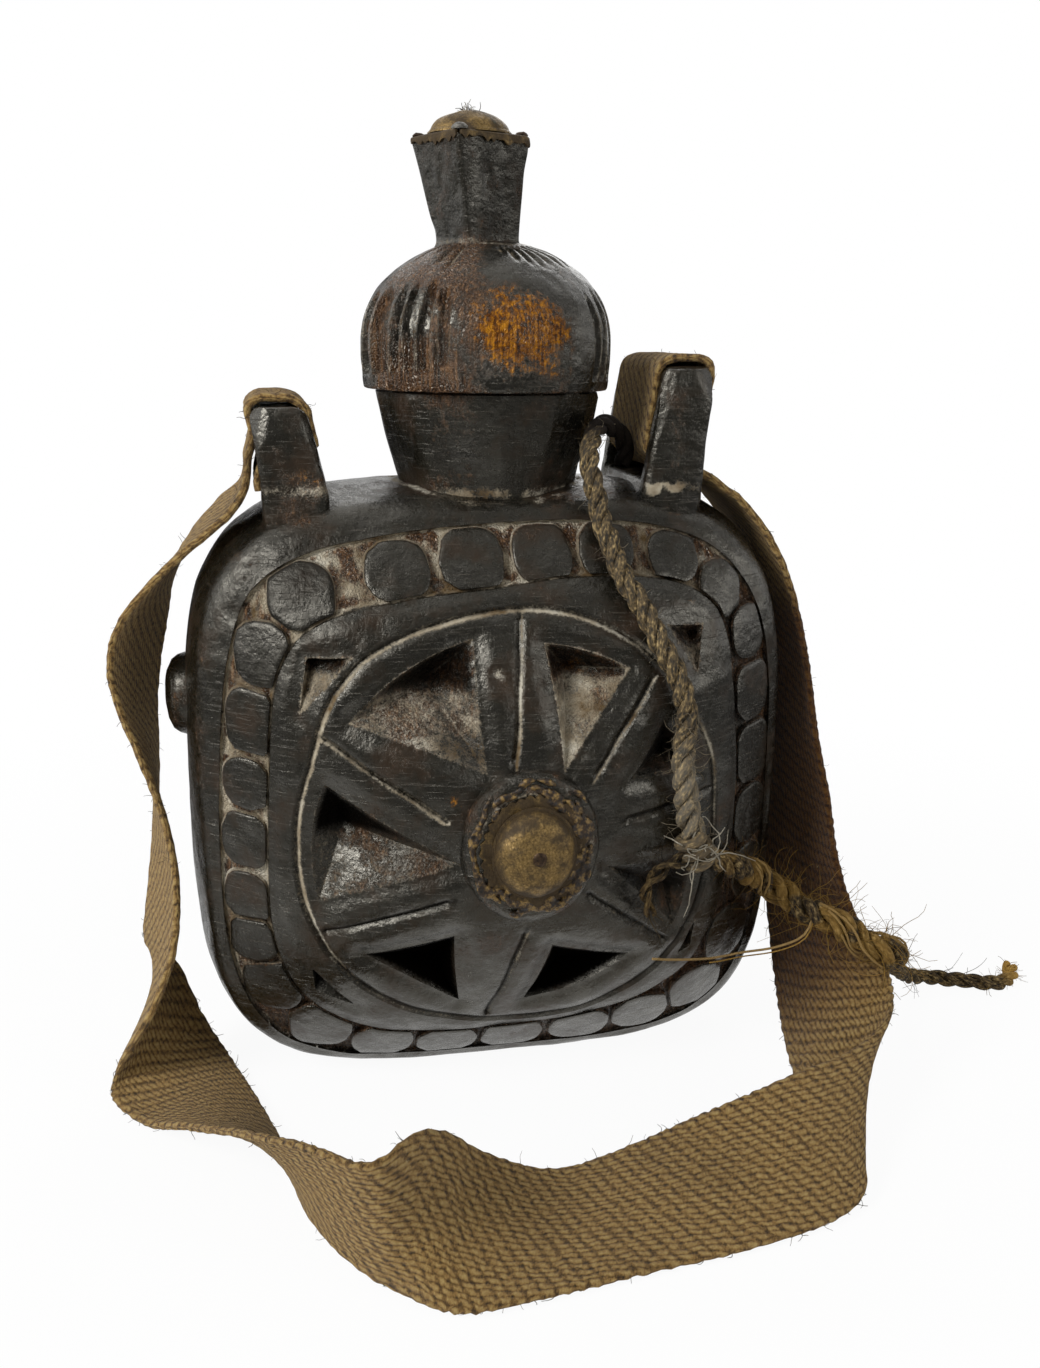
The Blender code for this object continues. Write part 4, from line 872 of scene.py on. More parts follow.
def strap_faces(share, run):
    """Faces of both sides and of the rim between them, with their places on the map."""
    count = len(run) * WEAVE_COLUMNS

    def corner(layer, i, j):
        return layer * count + i * WEAVE_COLUMNS + j

    faces, face_map = [], []
    for layer in (0, 1):
        for i in range(len(run) - 1):
            for j in range(WEAVE_COLUMNS - 1):
                face = [(i, j), (i + 1, j), (i + 1, j + 1), (i, j + 1)]
                face = face if layer else face[::-1]
                faces.append([corner(layer, *place) for place in face])
                face_map += [(share[b] * MAP_WIDTH, run[a]) for a, b in face]
    rim = [(i, 0) for i in range(len(run))] + [(len(run) - 1, j) for j in range(1, WEAVE_COLUMNS)]
    rim += [(i, WEAVE_COLUMNS - 1) for i in range(len(run) - 2, -1, -1)]
    rim += [(0, j) for j in range(WEAVE_COLUMNS - 2, 0, -1)]
    for a, b in zip(rim, rim[1:] + rim[:1]):
        faces.append([corner(0, *a), corner(0, *b), corner(1, *b), corner(1, *a)])
        face_map += [
            (share[q] * MAP_WIDTH + over, run[p])
            for (p, q), over in ((a, 0), (b, 0), (b, 1.2), (a, 1.2))
        ]
    return faces, face_map


def strap_fray(first, second, across, along, out, half):
    """Yarn ends that stand out of the selvages and of both faces."""
    fray = MeshStore()
    draw = np.random.default_rng(206)
    for _ in range(EDGE_HAIRS):
        i = int(draw.integers(2, len(out) - 2))
        edge, side = (first, 1) if draw.random() < 0.5 else (second, -1)
        heading = across[i] * side + along[i] * draw.normal() * 1.1 + out[i] * draw.normal() * 0.5
        start = edge[i] - across[i] * side * 0.0004 + out[i] * draw.uniform(-0.5, 0.5) * half
        length, thick = draw.uniform(0.0012, 0.0042), draw.uniform(7e-5, 1.5e-4)
        hair(fray, start, heading, length, 0.5, thick, PLAIN, draw)
    for _ in range(FACE_HAIRS):
        i = int(draw.integers(2, len(out) - 2))
        t = draw.uniform(0.02, 0.98)
        side = draw.choice((-1, 1))
        heading = out[i] * side * 0.5 + along[i] * draw.normal() + across[i] * draw.normal()
        start = second[i] * (1 - t) + first[i] * t + out[i] * side * half * 0.9
        length, thick = draw.uniform(0.0012, 0.0034), draw.uniform(6e-5, 1.2e-4)
        hair(fray, start, heading, length, 0.5, thick, PLAIN, draw)
    return belongs(fray.make("strap_fray", "jute_fibre"), "flask", "jute")


class FLASK_OT_strap(bpy.types.Operator):
    """Weaves the shoulder strap between its two edges, with knobbly selvages and loose yarn ends"""

    bl_idname = "flask.strap"
    bl_label = "Shoulder strap"

    def execute(self, context):
        sizes = context.scene.flask_strap
        side, ends = MAP_WIDTH / 2, (STRAP_LEFT_END, STRAP_RIGHT_END)
        left, right = ([(x, -side, z, x, side, z) for x, z in end] for end in ends)
        edges = np.array([*left, *STRAP_COURSE, *right])
        rows = spline(edges[:, [3, 4, 5, 0, 1, 2]] * MM, 0.0014)
        second, first = rows[:, :3], rows[:, 3:]
        across = unit(first - second)
        first = second + across * sizes.width
        middle = (first + second) / 2
        along = unit(np.gradient(middle, axis=0))
        run = run_along(middle) / MM
        out = unit(np.cross(across, along))
        half = sizes.thickness / 2
        points, share = strap_points(first, second, across, out, run, half)
        faces, face_map = strap_faces(share, run)
        soil = 0.2 * waves(points, 0.03, 205) - 0.05
        shade = smooth_step(*SHADED[:2], run) * (1 - smooth_step(*SHADED[2:], run))
        tints = tints_of(soil, np.tile(np.repeat(shade, WEAVE_COLUMNS), 2))
        store = MeshStore()
        store.add(points, faces, tints, face_map)
        strap = store.make("shoulder_strap", "jute_webbing", 60)
        bm = bmesh.new()
        bm.from_mesh(strap.data)
        bmesh.ops.recalc_face_normals(bm, faces=bm.faces)
        bm.to_mesh(strap.data)
        bm.free()
        belongs(strap, "flask", "webbing", "carry_strap")
        fray = strap_fray(first, second, across, along, out, half)
        return {"FINISHED"}


# Carved body


class FlaskCarving(bpy.types.PropertyGroup):
    """The wheel, its border and the wood of the body."""

    ring: FloatProperty(
        name="Ring groove", description="Size of the wheel's ring as a share of its cut radius",
        default=1.0,
    )
    groove_width: length_setting("Groove width", "Across the V grooves", 0.0033)
    groove_depth: length_setting("Groove depth", "Depth of the V grooves", 0.0014)
    channel_depth: length_setting("Channel depth", "Depth of the border's channel", 0.0031)
    pocket_depth: length_setting("Pocket depth", "Depth of the wheel's pockets", 0.0106)
    roundel_gap: length_setting("Roundel gap", "Between neighbouring roundels", 0.0011)
    grain: length_setting("Facet spacing", "Spacing of the mesh on the face", 0.00092)
    wood: colour_setting("Oiled wood", "Colour of the oiled surface", "14120c")
    worn: colour_setting("Worn wood", "Colour where the oil has worn thin", "48301f")
    dust: colour_setting("Dust", "Colour of the dust in the cuts", "aba08b")


# The wheel's pockets on the face, (x, z) in millimetres: rim corner, rim corner, apex at the hub, deepest
# point, then depth as a share of the full depth, wear of the facets and painted shade on the upper ones
POCKETS = (
    ((-50.2, 132.6), (-13.3, 156.1), (-11.0, 118.1), (-27.0, 143.1), 1.0, 0.85, 0.85),
    ((8.2, 154.3), (33.9, 146.3), (12.8, 117.3), (15.8, 145.5), 1.0, 1.08, 0.8),
    ((-57.8, 113.3), (-60.5, 75.6), (-18.7, 89.7), (-51.8, 98.5), 1.0, 0.68, 0.97),
    ((-47.2, 58.6), (-20.2, 65.1), (-17.3, 37.8), (-25.0, 52.4), 1.1, 0.1, 1.0),
    ((3.9, 35.6), (37.0, 51.9), (11.1, 58.7), (16.6, 46.4), 1.1, 0.1, 1.0),
    ((44.8, 129.9), (57.0, 111.0), (33.7, 112.8), (47.5, 118.2), 0.9, 0.5, 0.7),
    ((57.5, 85.0), (52.0, 60.0), (27.0, 85.7), (50.0, 72.0), 0.8, 0.5, 0.6),
)
CORNER_POCKETS = (
    ((-61.8, 151.0), (-48.8, 151.7), (-64.4, 134.6), (-60.2, 149.2), 0.55, 1.0, 0.9),
    ((60.0, 157.0), (47.7, 157.8), (57.5, 142.9), (57.2, 153.6), 0.55, 0.9, 0.7),
    ((-63.1, 51.5), (-50.1, 38.2), (-62.2, 43.0), (-60.2, 46.6), 0.5, 0.3, 0.8),
    ((60.5, 59.0), (55.0, 47.5), (60.0, 49.5), (59.2, 51.0), 0.4, 0.6, 0.8),
)
# Ends of the spokes' grooves at the ring and at the hub, then how much dust lies in each
SPOKE_GROOVES = (
    ((1.2, 162.8), (-2.7, 118.8), 0.8), ((42.1, 144.2), (21.0, 114.6), 0.8),
    ((-58.5, 128.0), (-23.1, 104.2), 0.95), ((-60.3, 65.1), (-20.5, 78.6), 0.12),
    ((-8.1, 29.7), (2.3, 66.8), 0.55), ((50.2, 54.5), (19.3, 78.6), 0.5),
    ((65.5, 104.6), (31.0, 100.3), 0.2),
)
# Roundels: middle on the face, then half width and half height, in millimetres
ROUNDELS = (
    (-62.5, 167.9, 10.0, 9.8), (-34.1, 174.9, 9.8, 8.4), (-11.4, 177.6, 10.2, 9.0), (10.3, 179.0, 9.3, 8.6),
    (30.7, 179.5, 8.9, 8.0), (52.5, 177.0, 8.6, 7.6), (68.4, 166.4, 7.9, 9.0), (79.0, 152.2, 7.2, 8.6),
    (81.2, 132.7, 8.0, 10.0), (83.0, 111.3, 8.5, 10.9), (83.2, 89.9, 8.0, 10.2), (83.4, 69.5, 7.4, 9.8),
    (76.5, 47.8, 9.5, 11.0), (66.5, 28.0, 10.8, 10.2), (47.0, 21.0, 10.5, 9.4), (25.9, 17.4, 10.6, 8.4),
    (2.8, 15.8, 10.6, 8.0), (-19.1, 15.4, 10.2, 8.0), (-40.7, 17.6, 10.2, 8.8), (-60.8, 26.0, 10.2, 10.4),
    (-75.5, 42.0, 9.4, 9.8), (-80.8, 57.6, 7.6, 7.6), (-82.0, 72.4, 7.4, 8.4), (-82.0, 91.6, 7.2, 9.4),
    (-80.9, 109.9, 7.2, 8.4), (-78.9, 129.6, 7.4, 11.0), (-74.7, 150.6, 8.4, 9.8),
)
# The border's channel: turn in degrees, then its inner and outer edge as shares of the face
CHANNEL_EDGES = (
    (-180, 0.784, 0.944), (-157, 0.794, 0.95), (-143, 0.784, 0.946), (-131, 0.768, 0.953),
    (-111, 0.794, 0.955), (-97, 0.806, 0.956), (-77, 0.786, 0.956), (-64, 0.75, 0.956), (-50, 0.722, 0.956),
    (-35, 0.735, 0.956), (-22, 0.76, 0.956), (-9, 0.787, 0.956), (4, 0.79, 0.956), (20, 0.774, 0.952),
    (30, 0.771, 0.94), (43, 0.804, 0.932), (51, 0.8, 0.938), (62, 0.786, 0.944), (80, 0.77, 0.945),
    (95, 0.747, 0.936), (108, 0.737, 0.921), (118, 0.728, 0.909), (128, 0.736, 0.914), (138, 0.76, 0.926),
    (147, 0.768, 0.918), (157, 0.77, 0.923), (169, 0.776, 0.934),
)
# The wheel's ring as it was cut: turn in degrees and radius in millimetres
RING = (
    (-177, 66.6), (-162, 68.1), (-147, 68.8), (-132, 67.8), (-110, 67.4), (-93, 68.0), (-70, 70.0),
    (-52, 69.1), (-35, 68.0), (-15, 66.2), (1, 65.5), (15, 66.4), (28, 65.8), (40, 66.3), (57, 68.5),
    (75, 69.3), (89, 68.8), (99, 68.5), (109, 69.1), (120, 70.7), (130, 72.0), (140, 70.9), (147, 69.2),
    (153, 67.3), (160, 66.0), (172, 66.2),
)
# Places where a hand has rubbed through the oil: middle on the face and radius in millimetres, strength
RUBBED_SPOTS = (
    (17.5, 147.5, 4.5, 0.7), (-22.0, 111.0, 3.6, 0.5), (-9.0, 115.0, 4.0, 0.4), (57.0, 164.0, 3.0, 0.6),
    (43.0, 172.0, 2.5, 0.6), (26.0, 171.0, 2.4, 0.5), (-72.0, 176.0, 5.0, 0.4), (-54.5, 42.0, 3.5, 0.5),
    (44.0, 19.0, 4.0, 0.4), (-66.0, 18.0, 6.0, 0.3),
)
# Places where old oil and soot lie thick and dull: middle on the face and radius in millimetres, strength
SOOTY_SPOTS = ((-66.0, 172.0, 19.0, 0.62), (-78.0, 50.0, 13.0, 0.5), (48.0, 186.0, 12.0, 0.3))
WALL_RUN = 0.0008  # how far the channel's walls lean
FACE_LIMIT = 0.972  # share of the face at which the carved front meets the turned-in side
OUTLINE_STEPS = 480
KNIFE_FLATS = 420  # tried on the sides and back


def oiled_hardwood():
    """Dense hardwood, knife-carved, oiled and handled until nearly black: a low satin gloss that picks up
    grey light, fine scratches and grain, red-brown facets where the oil is thin, pale dust in every cut."""
    material, add, shader = new_material("oiled_hardwood")
    finish = add("Attribute", attribute_name="finish")
    dust, wear, rubbed = add("SeparateColor", {0: finish}).outputs
    place = add("TexCoord").outputs["Object"]
    # Grain runs up the flask, its streaks about 1 mm wide and 15 mm long
    streaks = add("Mapping", {0: place, 3: (1100.0, 1100.0, 70.0)})
    grain = add("TexNoise", {"Vector": streaks, "Scale": 1.0, "Detail": 6.0, "Roughness": 0.7})
    cloud, pits, powder, dents = (
        add("TexNoise", {"Vector": place, "Scale": scale, "Detail": detail, "Roughness": rough})
        for scale, detail, rough in (
            (60.0, 5.0, 0.65), (520.0, 6.0, 0.75), (1900.0, 5.0, 0.7), (210.0, 3.0, 0.55),
        )
    )
    # Fine crackle of the dried oil where the wood is worn, its plates about 1 mm across
    plates = add("Mapping", {0: place, 3: (950.0, 950.0, 760.0)})
    crackle = add(
        "TexVoronoi", {"Vector": plates, "Scale": 1.0, "Randomness": 1.0}, feature="DISTANCE_TO_EDGE",
    )
    crackle = add("MapRange", {"Value": crackle, "From Max": 0.25})
    # Knife and handling scratches, hair-thin, in two directions
    scratches = []
    for turn, seed in ((0.5, 3.1), (-1.1, 7.7)):
        lines = add(
            "Mapping", {0: place, 1: (seed, seed, seed), 2: (0.0, turn, 0.2), 3: (90.0, 90.0, 2600.0)},
        )
        lines = add("TexNoise", {"Vector": lines, "Scale": 1.0, "Detail": 2.0, "Roughness": 0.6})
        scratches.append(add("MapRange", {"Value": lines, "From Min": 0.64, "From Max": 0.74}))
    scratched = add("Math", {0: scratches[0], 1: scratches[1]}, operation="MAXIMUM")
    sizes = bpy.context.scene.flask_carving
    dark = add("ValToRGB", {0: cloud}, [(0.32, "060504"), (0.5, tuple(sizes.wood)), (0.72, "32251a")])
    worn = add("ValToRGB", {0: grain}, [(0.36, "150b06"), (0.5, tuple(sizes.worn)), (0.66, "83603f")])
    # Wear comes through in ragged patches
    ragged = add("Math", {0: cloud, 1: pits}, operation="ADD")
    ragged = add(
        "MapRange", {"Value": ragged, "From Min": 0.75, "From Max": 1.25, "To Min": -0.5, "To Max": 0.5},
    )
    wear = add("Math", {0: wear, 1: ragged}, operation="ADD")
    wear = add(
        "MapRange", {"Value": wear, "From Min": 0.4, "From Max": 1.05}, interpolation_type="SMOOTHSTEP",
    )
    tone = add("Mix", {0: wear, 6: dark, 7: worn}, data_type="RGBA")
    grey = add("Math", {0: scratched, 1: 0.2}, operation="MULTIPLY")
    tone = add("Mix", {0: grey, 6: tone, 7: "7d7468"}, data_type="RGBA")
    # Bare heartwood, orange where a hand has rubbed it
    mottled = add("Math", {0: pits, 1: grain}, operation="ADD")
    mottled = add("MapRange", {"Value": mottled, "From Min": 0.75, "From Max": 1.25})
    amber = add("ValToRGB", {0: mottled}, [(0.15, "241005"), (0.45, "6b3c0b"), (0.85, "bb7c16")])
    rubbed = add("Math", {0: rubbed, 1: ragged}, operation="ADD")
    rubbed = add(
        "MapRange", {"Value": rubbed, "From Min": 0.5, "From Max": 0.95}, interpolation_type="SMOOTHSTEP",
    )
    tone = add("Mix", {0: rubbed, 6: tone, 7: amber}, data_type="RGBA")
    powder = add("Math", {0: powder, 1: pits}, operation="ADD")
    dusty = add(
        "MapRange", {"Value": powder, "From Min": 0.75, "From Max": 1.25, "To Min": -0.3, "To Max": 0.3},
    )
    dusty = add("Math", {0: dust, 1: dusty}, operation="ADD")
    dusty = add(
        "MapRange", {"Value": dusty, "From Min": 0.28, "From Max": 0.82}, interpolation_type="SMOOTHSTEP",
    )
    dust = add("ValToRGB", {0: cloud}, [(0.36, "65533a"), (0.52, tuple(sizes.dust)), (0.68, "cbc5b5")])
    tone = add("Mix", {0: dusty, 6: tone, 7: dust}, data_type="RGBA")
    # Painted shade in the pockets, the channel and on the grooves' shaded walls, and dull patches of old
    # oil and soot:
    # both darken the colour and take away the gloss
    shade = finish.outputs["Alpha"]
    tone = add("Mix", {0: shade, 6: "040302", 7: tone}, data_type="RGBA")
    clean = add("Math", {0: 1.0, 1: dusty}, operation="SUBTRACT")
    clean = add("Math", {0: clean, 1: shade}, operation="MULTIPLY")
    # The oil stands glossier in some patches than in others, 1 to 2 cm across
    oily = add(
        "MapRange", {"Value": cloud, "From Min": 0.35, "From Max": 0.65, "To Min": 1.1, "To Max": 0.5},
    )
    bare = add("MapRange", {"Value": rubbed, "To Min": 1.0, "To Max": 0.35})
    gloss = add("Math", {0: clean, 1: oily}, operation="MULTIPLY")
    gloss = add("Math", {0: gloss, 1: bare}, operation="MULTIPLY")
    satin = add(
        "MapRange", {"Value": ragged, "From Min": -0.5, "From Max": 0.5, "To Min": 0.2, "To Max": 0.38},
    )
    matt = add("Math", {0: dusty, 1: 0.4, 2: satin}, operation="MULTIPLY_ADD")
    relief = add("Math", {0: pits, 1: 0.3}, operation="MULTIPLY")
    relief = add("Math", {0: grain, 1: 0.3, 2: relief}, operation="MULTIPLY_ADD")
    cracked = add("Math", {0: wear, 1: 0.9, 2: 0.05}, operation="MULTIPLY_ADD")
    relief = add("Math", {0: crackle, 1: cracked, 2: relief}, operation="MULTIPLY_ADD")
    relief = add("Math", {0: scratched, 1: -0.25, 2: relief}, operation="MULTIPLY_ADD")
    relief = add("Math", {0: dents, 1: 1.4, 2: relief}, operation="MULTIPLY_ADD")
    bump = add("Bump", {"Height": relief, "Strength": 1.0, "Distance": 0.0004})
    set_sockets(shader, {
        "Specular Tint": "fff9ea", "Base Color": tone, "Specular IOR Level": gloss, "Roughness": matt,
        "Normal": bump,
    })
    return material


def wobble(turns, seed):
    """Slow unevenness of a line cut by eye round the face, from -1 to 1."""
    circle = circle_at(turns)
    return waves(circle, 0.45, seed)


def channel_edges(turns):
    """Shares of the face at the inner and outer edge of the border's channel."""
    table = np.array(CHANNEL_EDGES)
    inner, outer = (np.interp(np.degrees(turns), table[:, 0], table[:, k], period=360) for k in (1, 2))
    return inner + 0.003 * wobble(turns, 11), outer + 0.003 * wobble(turns, 12)


def pocket_outline(first, second, apex):
    """A pocket's outline: its rim side follows the wheel, its other two sides bow a little."""
    first, second, apex = (np.array(corner) * MM for corner in (first, second, apex))
    hub = np.array((0.0, WHEEL_CENTRE_Z))
    t = np.linspace(0, 1, 14)[:, None]
    radii = np.linalg.norm(first - hub) * (1 - t) + np.linalg.norm(second - hub) * t
    rim = hub + unit((first - hub) * (1 - t) + (second - hub) * t) * radii
    middle = (first + second + apex) / 3
    sides = []
    for a, b in ((second, apex), (apex, first)):
        bow = unit((a + b) / 2 - middle) * 0.0006
        sides.append(a * (1 - t) + b * t - bow * np.sin(math.pi * t))
    return np.vstack([rim[:-1], sides[0][:-1], sides[1][:-1]])


def corner_outline(first, second, third):
    corners = [np.array(corner) * MM for corner in (first, second, third)]
    t = np.linspace(0, 1, 8)[:-1, None]
    return np.vstack([a * (1 - t) + b * t for a, b in zip(corners, corners[1:] + corners[:1])])


def pocket_share(points, border, deep):
    """0 at a pocket's deepest point and 1 at its outline, rising straight between them."""
    share = np.full(len(points), 9.0)
    away = points - deep
    for a, b in zip(border, np.roll(border, -1, axis=0)):
        a, b = a - deep, b - deep
        area = a[0] * b[1] - a[1] * b[0]
        if abs(area) < 1e-12:
            continue
        s = (away[:, 0] * b[1] - away[:, 1] * b[0]) / area
        t = (a[0] * away[:, 1] - a[1] * away[:, 0]) / area
        inside = (s >= -1e-9) & (t >= -1e-9)
        share = np.where(inside, np.minimum(share, s + t), share)
    return share


def line_distance(points, line):
    """Distance to a line of points, how far along it the nearest place lies, from 0 to 1, and how far down
    and to the right of the line the point lies."""
    nearest = np.full(len(points), 9.0)
    along = np.zeros(len(points))
    lower = np.zeros(len(points))
    for i, (a, b) in enumerate(zip(line, line[1:])):
        step = b - a
        t = np.clip(((points - a) @ step) / (step @ step), 0, 1)
        gap = points - a - t[:, None] * step
        off = lengths(gap)
        closer = off < nearest
        lower = np.where(closer, gap @ (0.7, -0.7), lower)
        nearest = np.where(closer, off, nearest)
        along = np.where(closer, (i + t) / (len(line) - 1), along)
    return nearest, along, lower


def groove_lines(sizes):
    """Middle lines of the V grooves: the wheel's ring, then the spokes' grooves."""
    turns = np.linspace(0, 2 * math.pi, 301)
    radius = sizes.ring * MM * np.interp(np.degrees(turns), *np.array(RING).T, period=360)
    ring = np.column_stack([radius * np.cos(turns), WHEEL_CENTRE_Z + radius * np.sin(turns)])
    lines = [ring]
    for number, (outer, inner, _) in enumerate(SPOKE_GROOVES):
        t = np.linspace(0, 1, 40)[:, None]
        line = (np.array(outer) * (1 - t) + np.array(inner) * t) * MM
        line[:, 0] += 0.0004 * waves(t * 0.04, 0.012, 30 + number)
        lines.append(line)
    return lines


def spots_at(points, spots):
    """Strength of round, soft-edged spots at each place on the face."""
    return sum(
        amount * bell(lengths(points - np.array((px, pz)) * MM), radius * MM)
        for px, pz, radius, amount in spots
    )


def upper_left(x, z):
    """0 to 1: dust lies thick towards the upper left of the face and thin towards its lower right; the
    channel's painted shade falls towards the lower right.
    """
    return smooth_step(-0.035, 0.055, z - BODY_CENTRE_Z - 0.9 * x)


def carve_pockets(points, sizes, depth, dust, wear, shade):
    """Sinks the pockets, with dust on their rims and creases, pale dust on the lower walls that is partly
    painted sheen, and painted shade on the upper walls.
    """
    z = points[:, 1]
    for border, deep, amount, worn, dark in pocket_list():
        ratio = pocket_share(points, border, deep)
        inside = ratio < 1
        off = line_distance(points, np.vstack([border, border[:1]]))[0]
        softened = 0.0022 * amount * bell(off, 0.0036)
        sunk = 0.0022 * amount + sizes.pocket_depth * amount * (1 - ratio)
        depth = np.maximum(depth, np.where(inside, sunk, softened))
        wear = np.where(inside, worn * (0.75 + 0.35 * waves(points, 0.008, 43)), wear)
        rim = np.exp(-(((ratio - 1) * lengths(border - deep).mean() / 0.0007) ** 2))
        dust = np.maximum(dust, rim * 0.5 * worn)
        wear = np.maximum(wear, rim * 0.6 * worn)
        # Painted shade on the walls above the deepest point, which face down, fading out towards the rim
        below = smooth_step(-0.004 - 0.03 * (dark == 1.0), 0.001 - 0.02 * (dark == 1.0), z - deep[1])
        shade = np.where(inside, 1 - dark * below * smooth_step(1.0, 0.84, ratio), shade)
        # Pale dust on the walls below the deepest point, which face up; it also stands for the sheen those
        # facets catch, so it is partly painted highlight
        lower_wall_dust_and_sheen = (1 - below) * 0.75 * worn**2 * (0.8 + 0.3 * waves(points, 0.006, 47))
        dust = np.where(inside, np.maximum(dust, lower_wall_dust_and_sheen), dust)
        for end in sharpest(border):
            off, along, _ = line_distance(points, np.array([deep, end]))
            crease = 0.6 * worn * (off < 0.001) * bell(off, 0.0005)
            dust = np.maximum(dust, crease * smooth_step(0, 0.3, along))
    return depth, dust, wear, shade


def carve_grooves(points, sizes, depth, dust, shade):
    """Cuts the V grooves, with dust heavier on the wall that faces the light, partly painted highlight
    there, and painted shade on the other wall.
    """
    x, z = points.T
    for number, line in enumerate(groove_lines(sizes)):
        off, along, lower = line_distance(points, line)
        half = sizes.groove_width / 2
        taper = 1.0 if number == 0 else smooth_step(0, 0.04, along) * smooth_step(0, 0.08, 1 - along)
        depth = np.maximum(depth, 0.0005 * taper * bell(off, 0.0032))
        sunk = 0.0003 + sizes.groove_depth * np.clip(1 - off / half, 0, 1)
        depth = np.maximum(depth, sunk * taper * (off < half))
        high = 0.08 + 0.88 * smooth_step(-0.11, 0.02, z - BODY_CENTRE_Z - 0.5 * x)
        strength = SPOKE_GROOVES[number - 1][2] if number else high
        # Dust along the groove, heavier towards the upper left; on the wall that faces the light it is
        # partly painted highlight, and the other wall gets painted shade
        band = bell(off - 0.0005, 0.0008)
        lit_wall = smooth_step(-0.0003, 0.0004, lower)
        uneven = 0.2 * waves(points, 0.014, 44) + 0.16 * waves(points, 0.005, 48) - 0.08
        dust = np.maximum(dust, band * (strength + uneven) * (0.4 + 0.62 * lit_wall))
        shade = np.minimum(shade, 1 - bell(off, 0.0009) * (0.85 - 0.85 * lit_wall) * (off < half))
    return depth, dust, shade


def carve(points, sizes):
    """Depth of the carving at each place on the face, with the dust, wear, rubbing and shade there."""
    x, z = points.T
    turns = np.arctan2(z - BODY_CENTRE_Z, x)
    share = face_share(x, z)
    inner, outer = channel_edges(turns)
    run = WALL_RUN / EDGE_HALF
    floor = smooth_step(0, run, share - inner) * smooth_step(0, run, outer - share)
    chisel = waves(points * (1, 0.35), 0.0022, 41)
    depth = floor * (sizes.channel_depth + 0.0004 * chisel)
    upper = upper_left(x, z)
    corner = np.minimum(np.abs(share - inner - run), np.abs(outer - run - share)) * EDGE_HALF
    clumps = 0.5 * chisel + 0.7 * waves(points, 0.005, 49)
    dust = floor * (0.06 + (0.36 + clumps) * upper) + bell(corner, 0.0006) * (0.2 + 0.55 * upper)
    wear = 0.95 * floor + 0.16 * waves(points, 0.03, 42) + 0.08
    # Painted shade on the channel's floor, deepening towards the lower right, away from the light
    shade = 1 - 0.45 * floor * (1 - upper)
    # Handling has rounded the edges of every cut
    edge = np.minimum(np.abs(share - inner), np.abs(share - outer)) * EDGE_HALF
    depth = np.maximum(depth, 0.0009 * bell(edge, 0.0024))
    depth, dust, wear, shade = carve_pockets(points, sizes, depth, dust, wear, shade)
    depth, dust, shade = carve_grooves(points, sizes, depth, dust, shade)
    knot = lengths(points - np.array((-6.7, 146.4)) * MM)
    depth += 0.0016 * bell(knot, 0.0019)
    dust = np.maximum(dust, 0.55 * bell(knot, 0.0022))
    plain = 1 - np.clip(floor, 0, 1)
    depth += plain * (0.0005 * waves(points, 0.014, 45) + 0.00026 * waves(points, 0.0055, 46))
    shade *= 1 - spots_at(points, SOOTY_SPOTS) * plain * (1 - np.clip(dust, 0, 1))
    return depth, np.column_stack([dust, wear, spots_at(points, RUBBED_SPOTS), shade])


def pocket_list():
    """Outline, deepest point, share of the depth, wear and painted shade of every pocket."""
    return [
        (outline_of(a, b, c), np.array(deep) * MM, *rest)
        for outline_of, pockets in ((pocket_outline, POCKETS), (corner_outline, CORNER_POCKETS))
        for a, b, c, deep, *rest in pockets
    ]


def sharpest(border):
    """The three sharpest corners of a pocket's outline."""
    before, after = unit(border - np.roll(border, 1, axis=0)), unit(np.roll(border, -1, axis=0) - border)
    return border[np.argsort((before * after).sum(axis=1))[:3]]


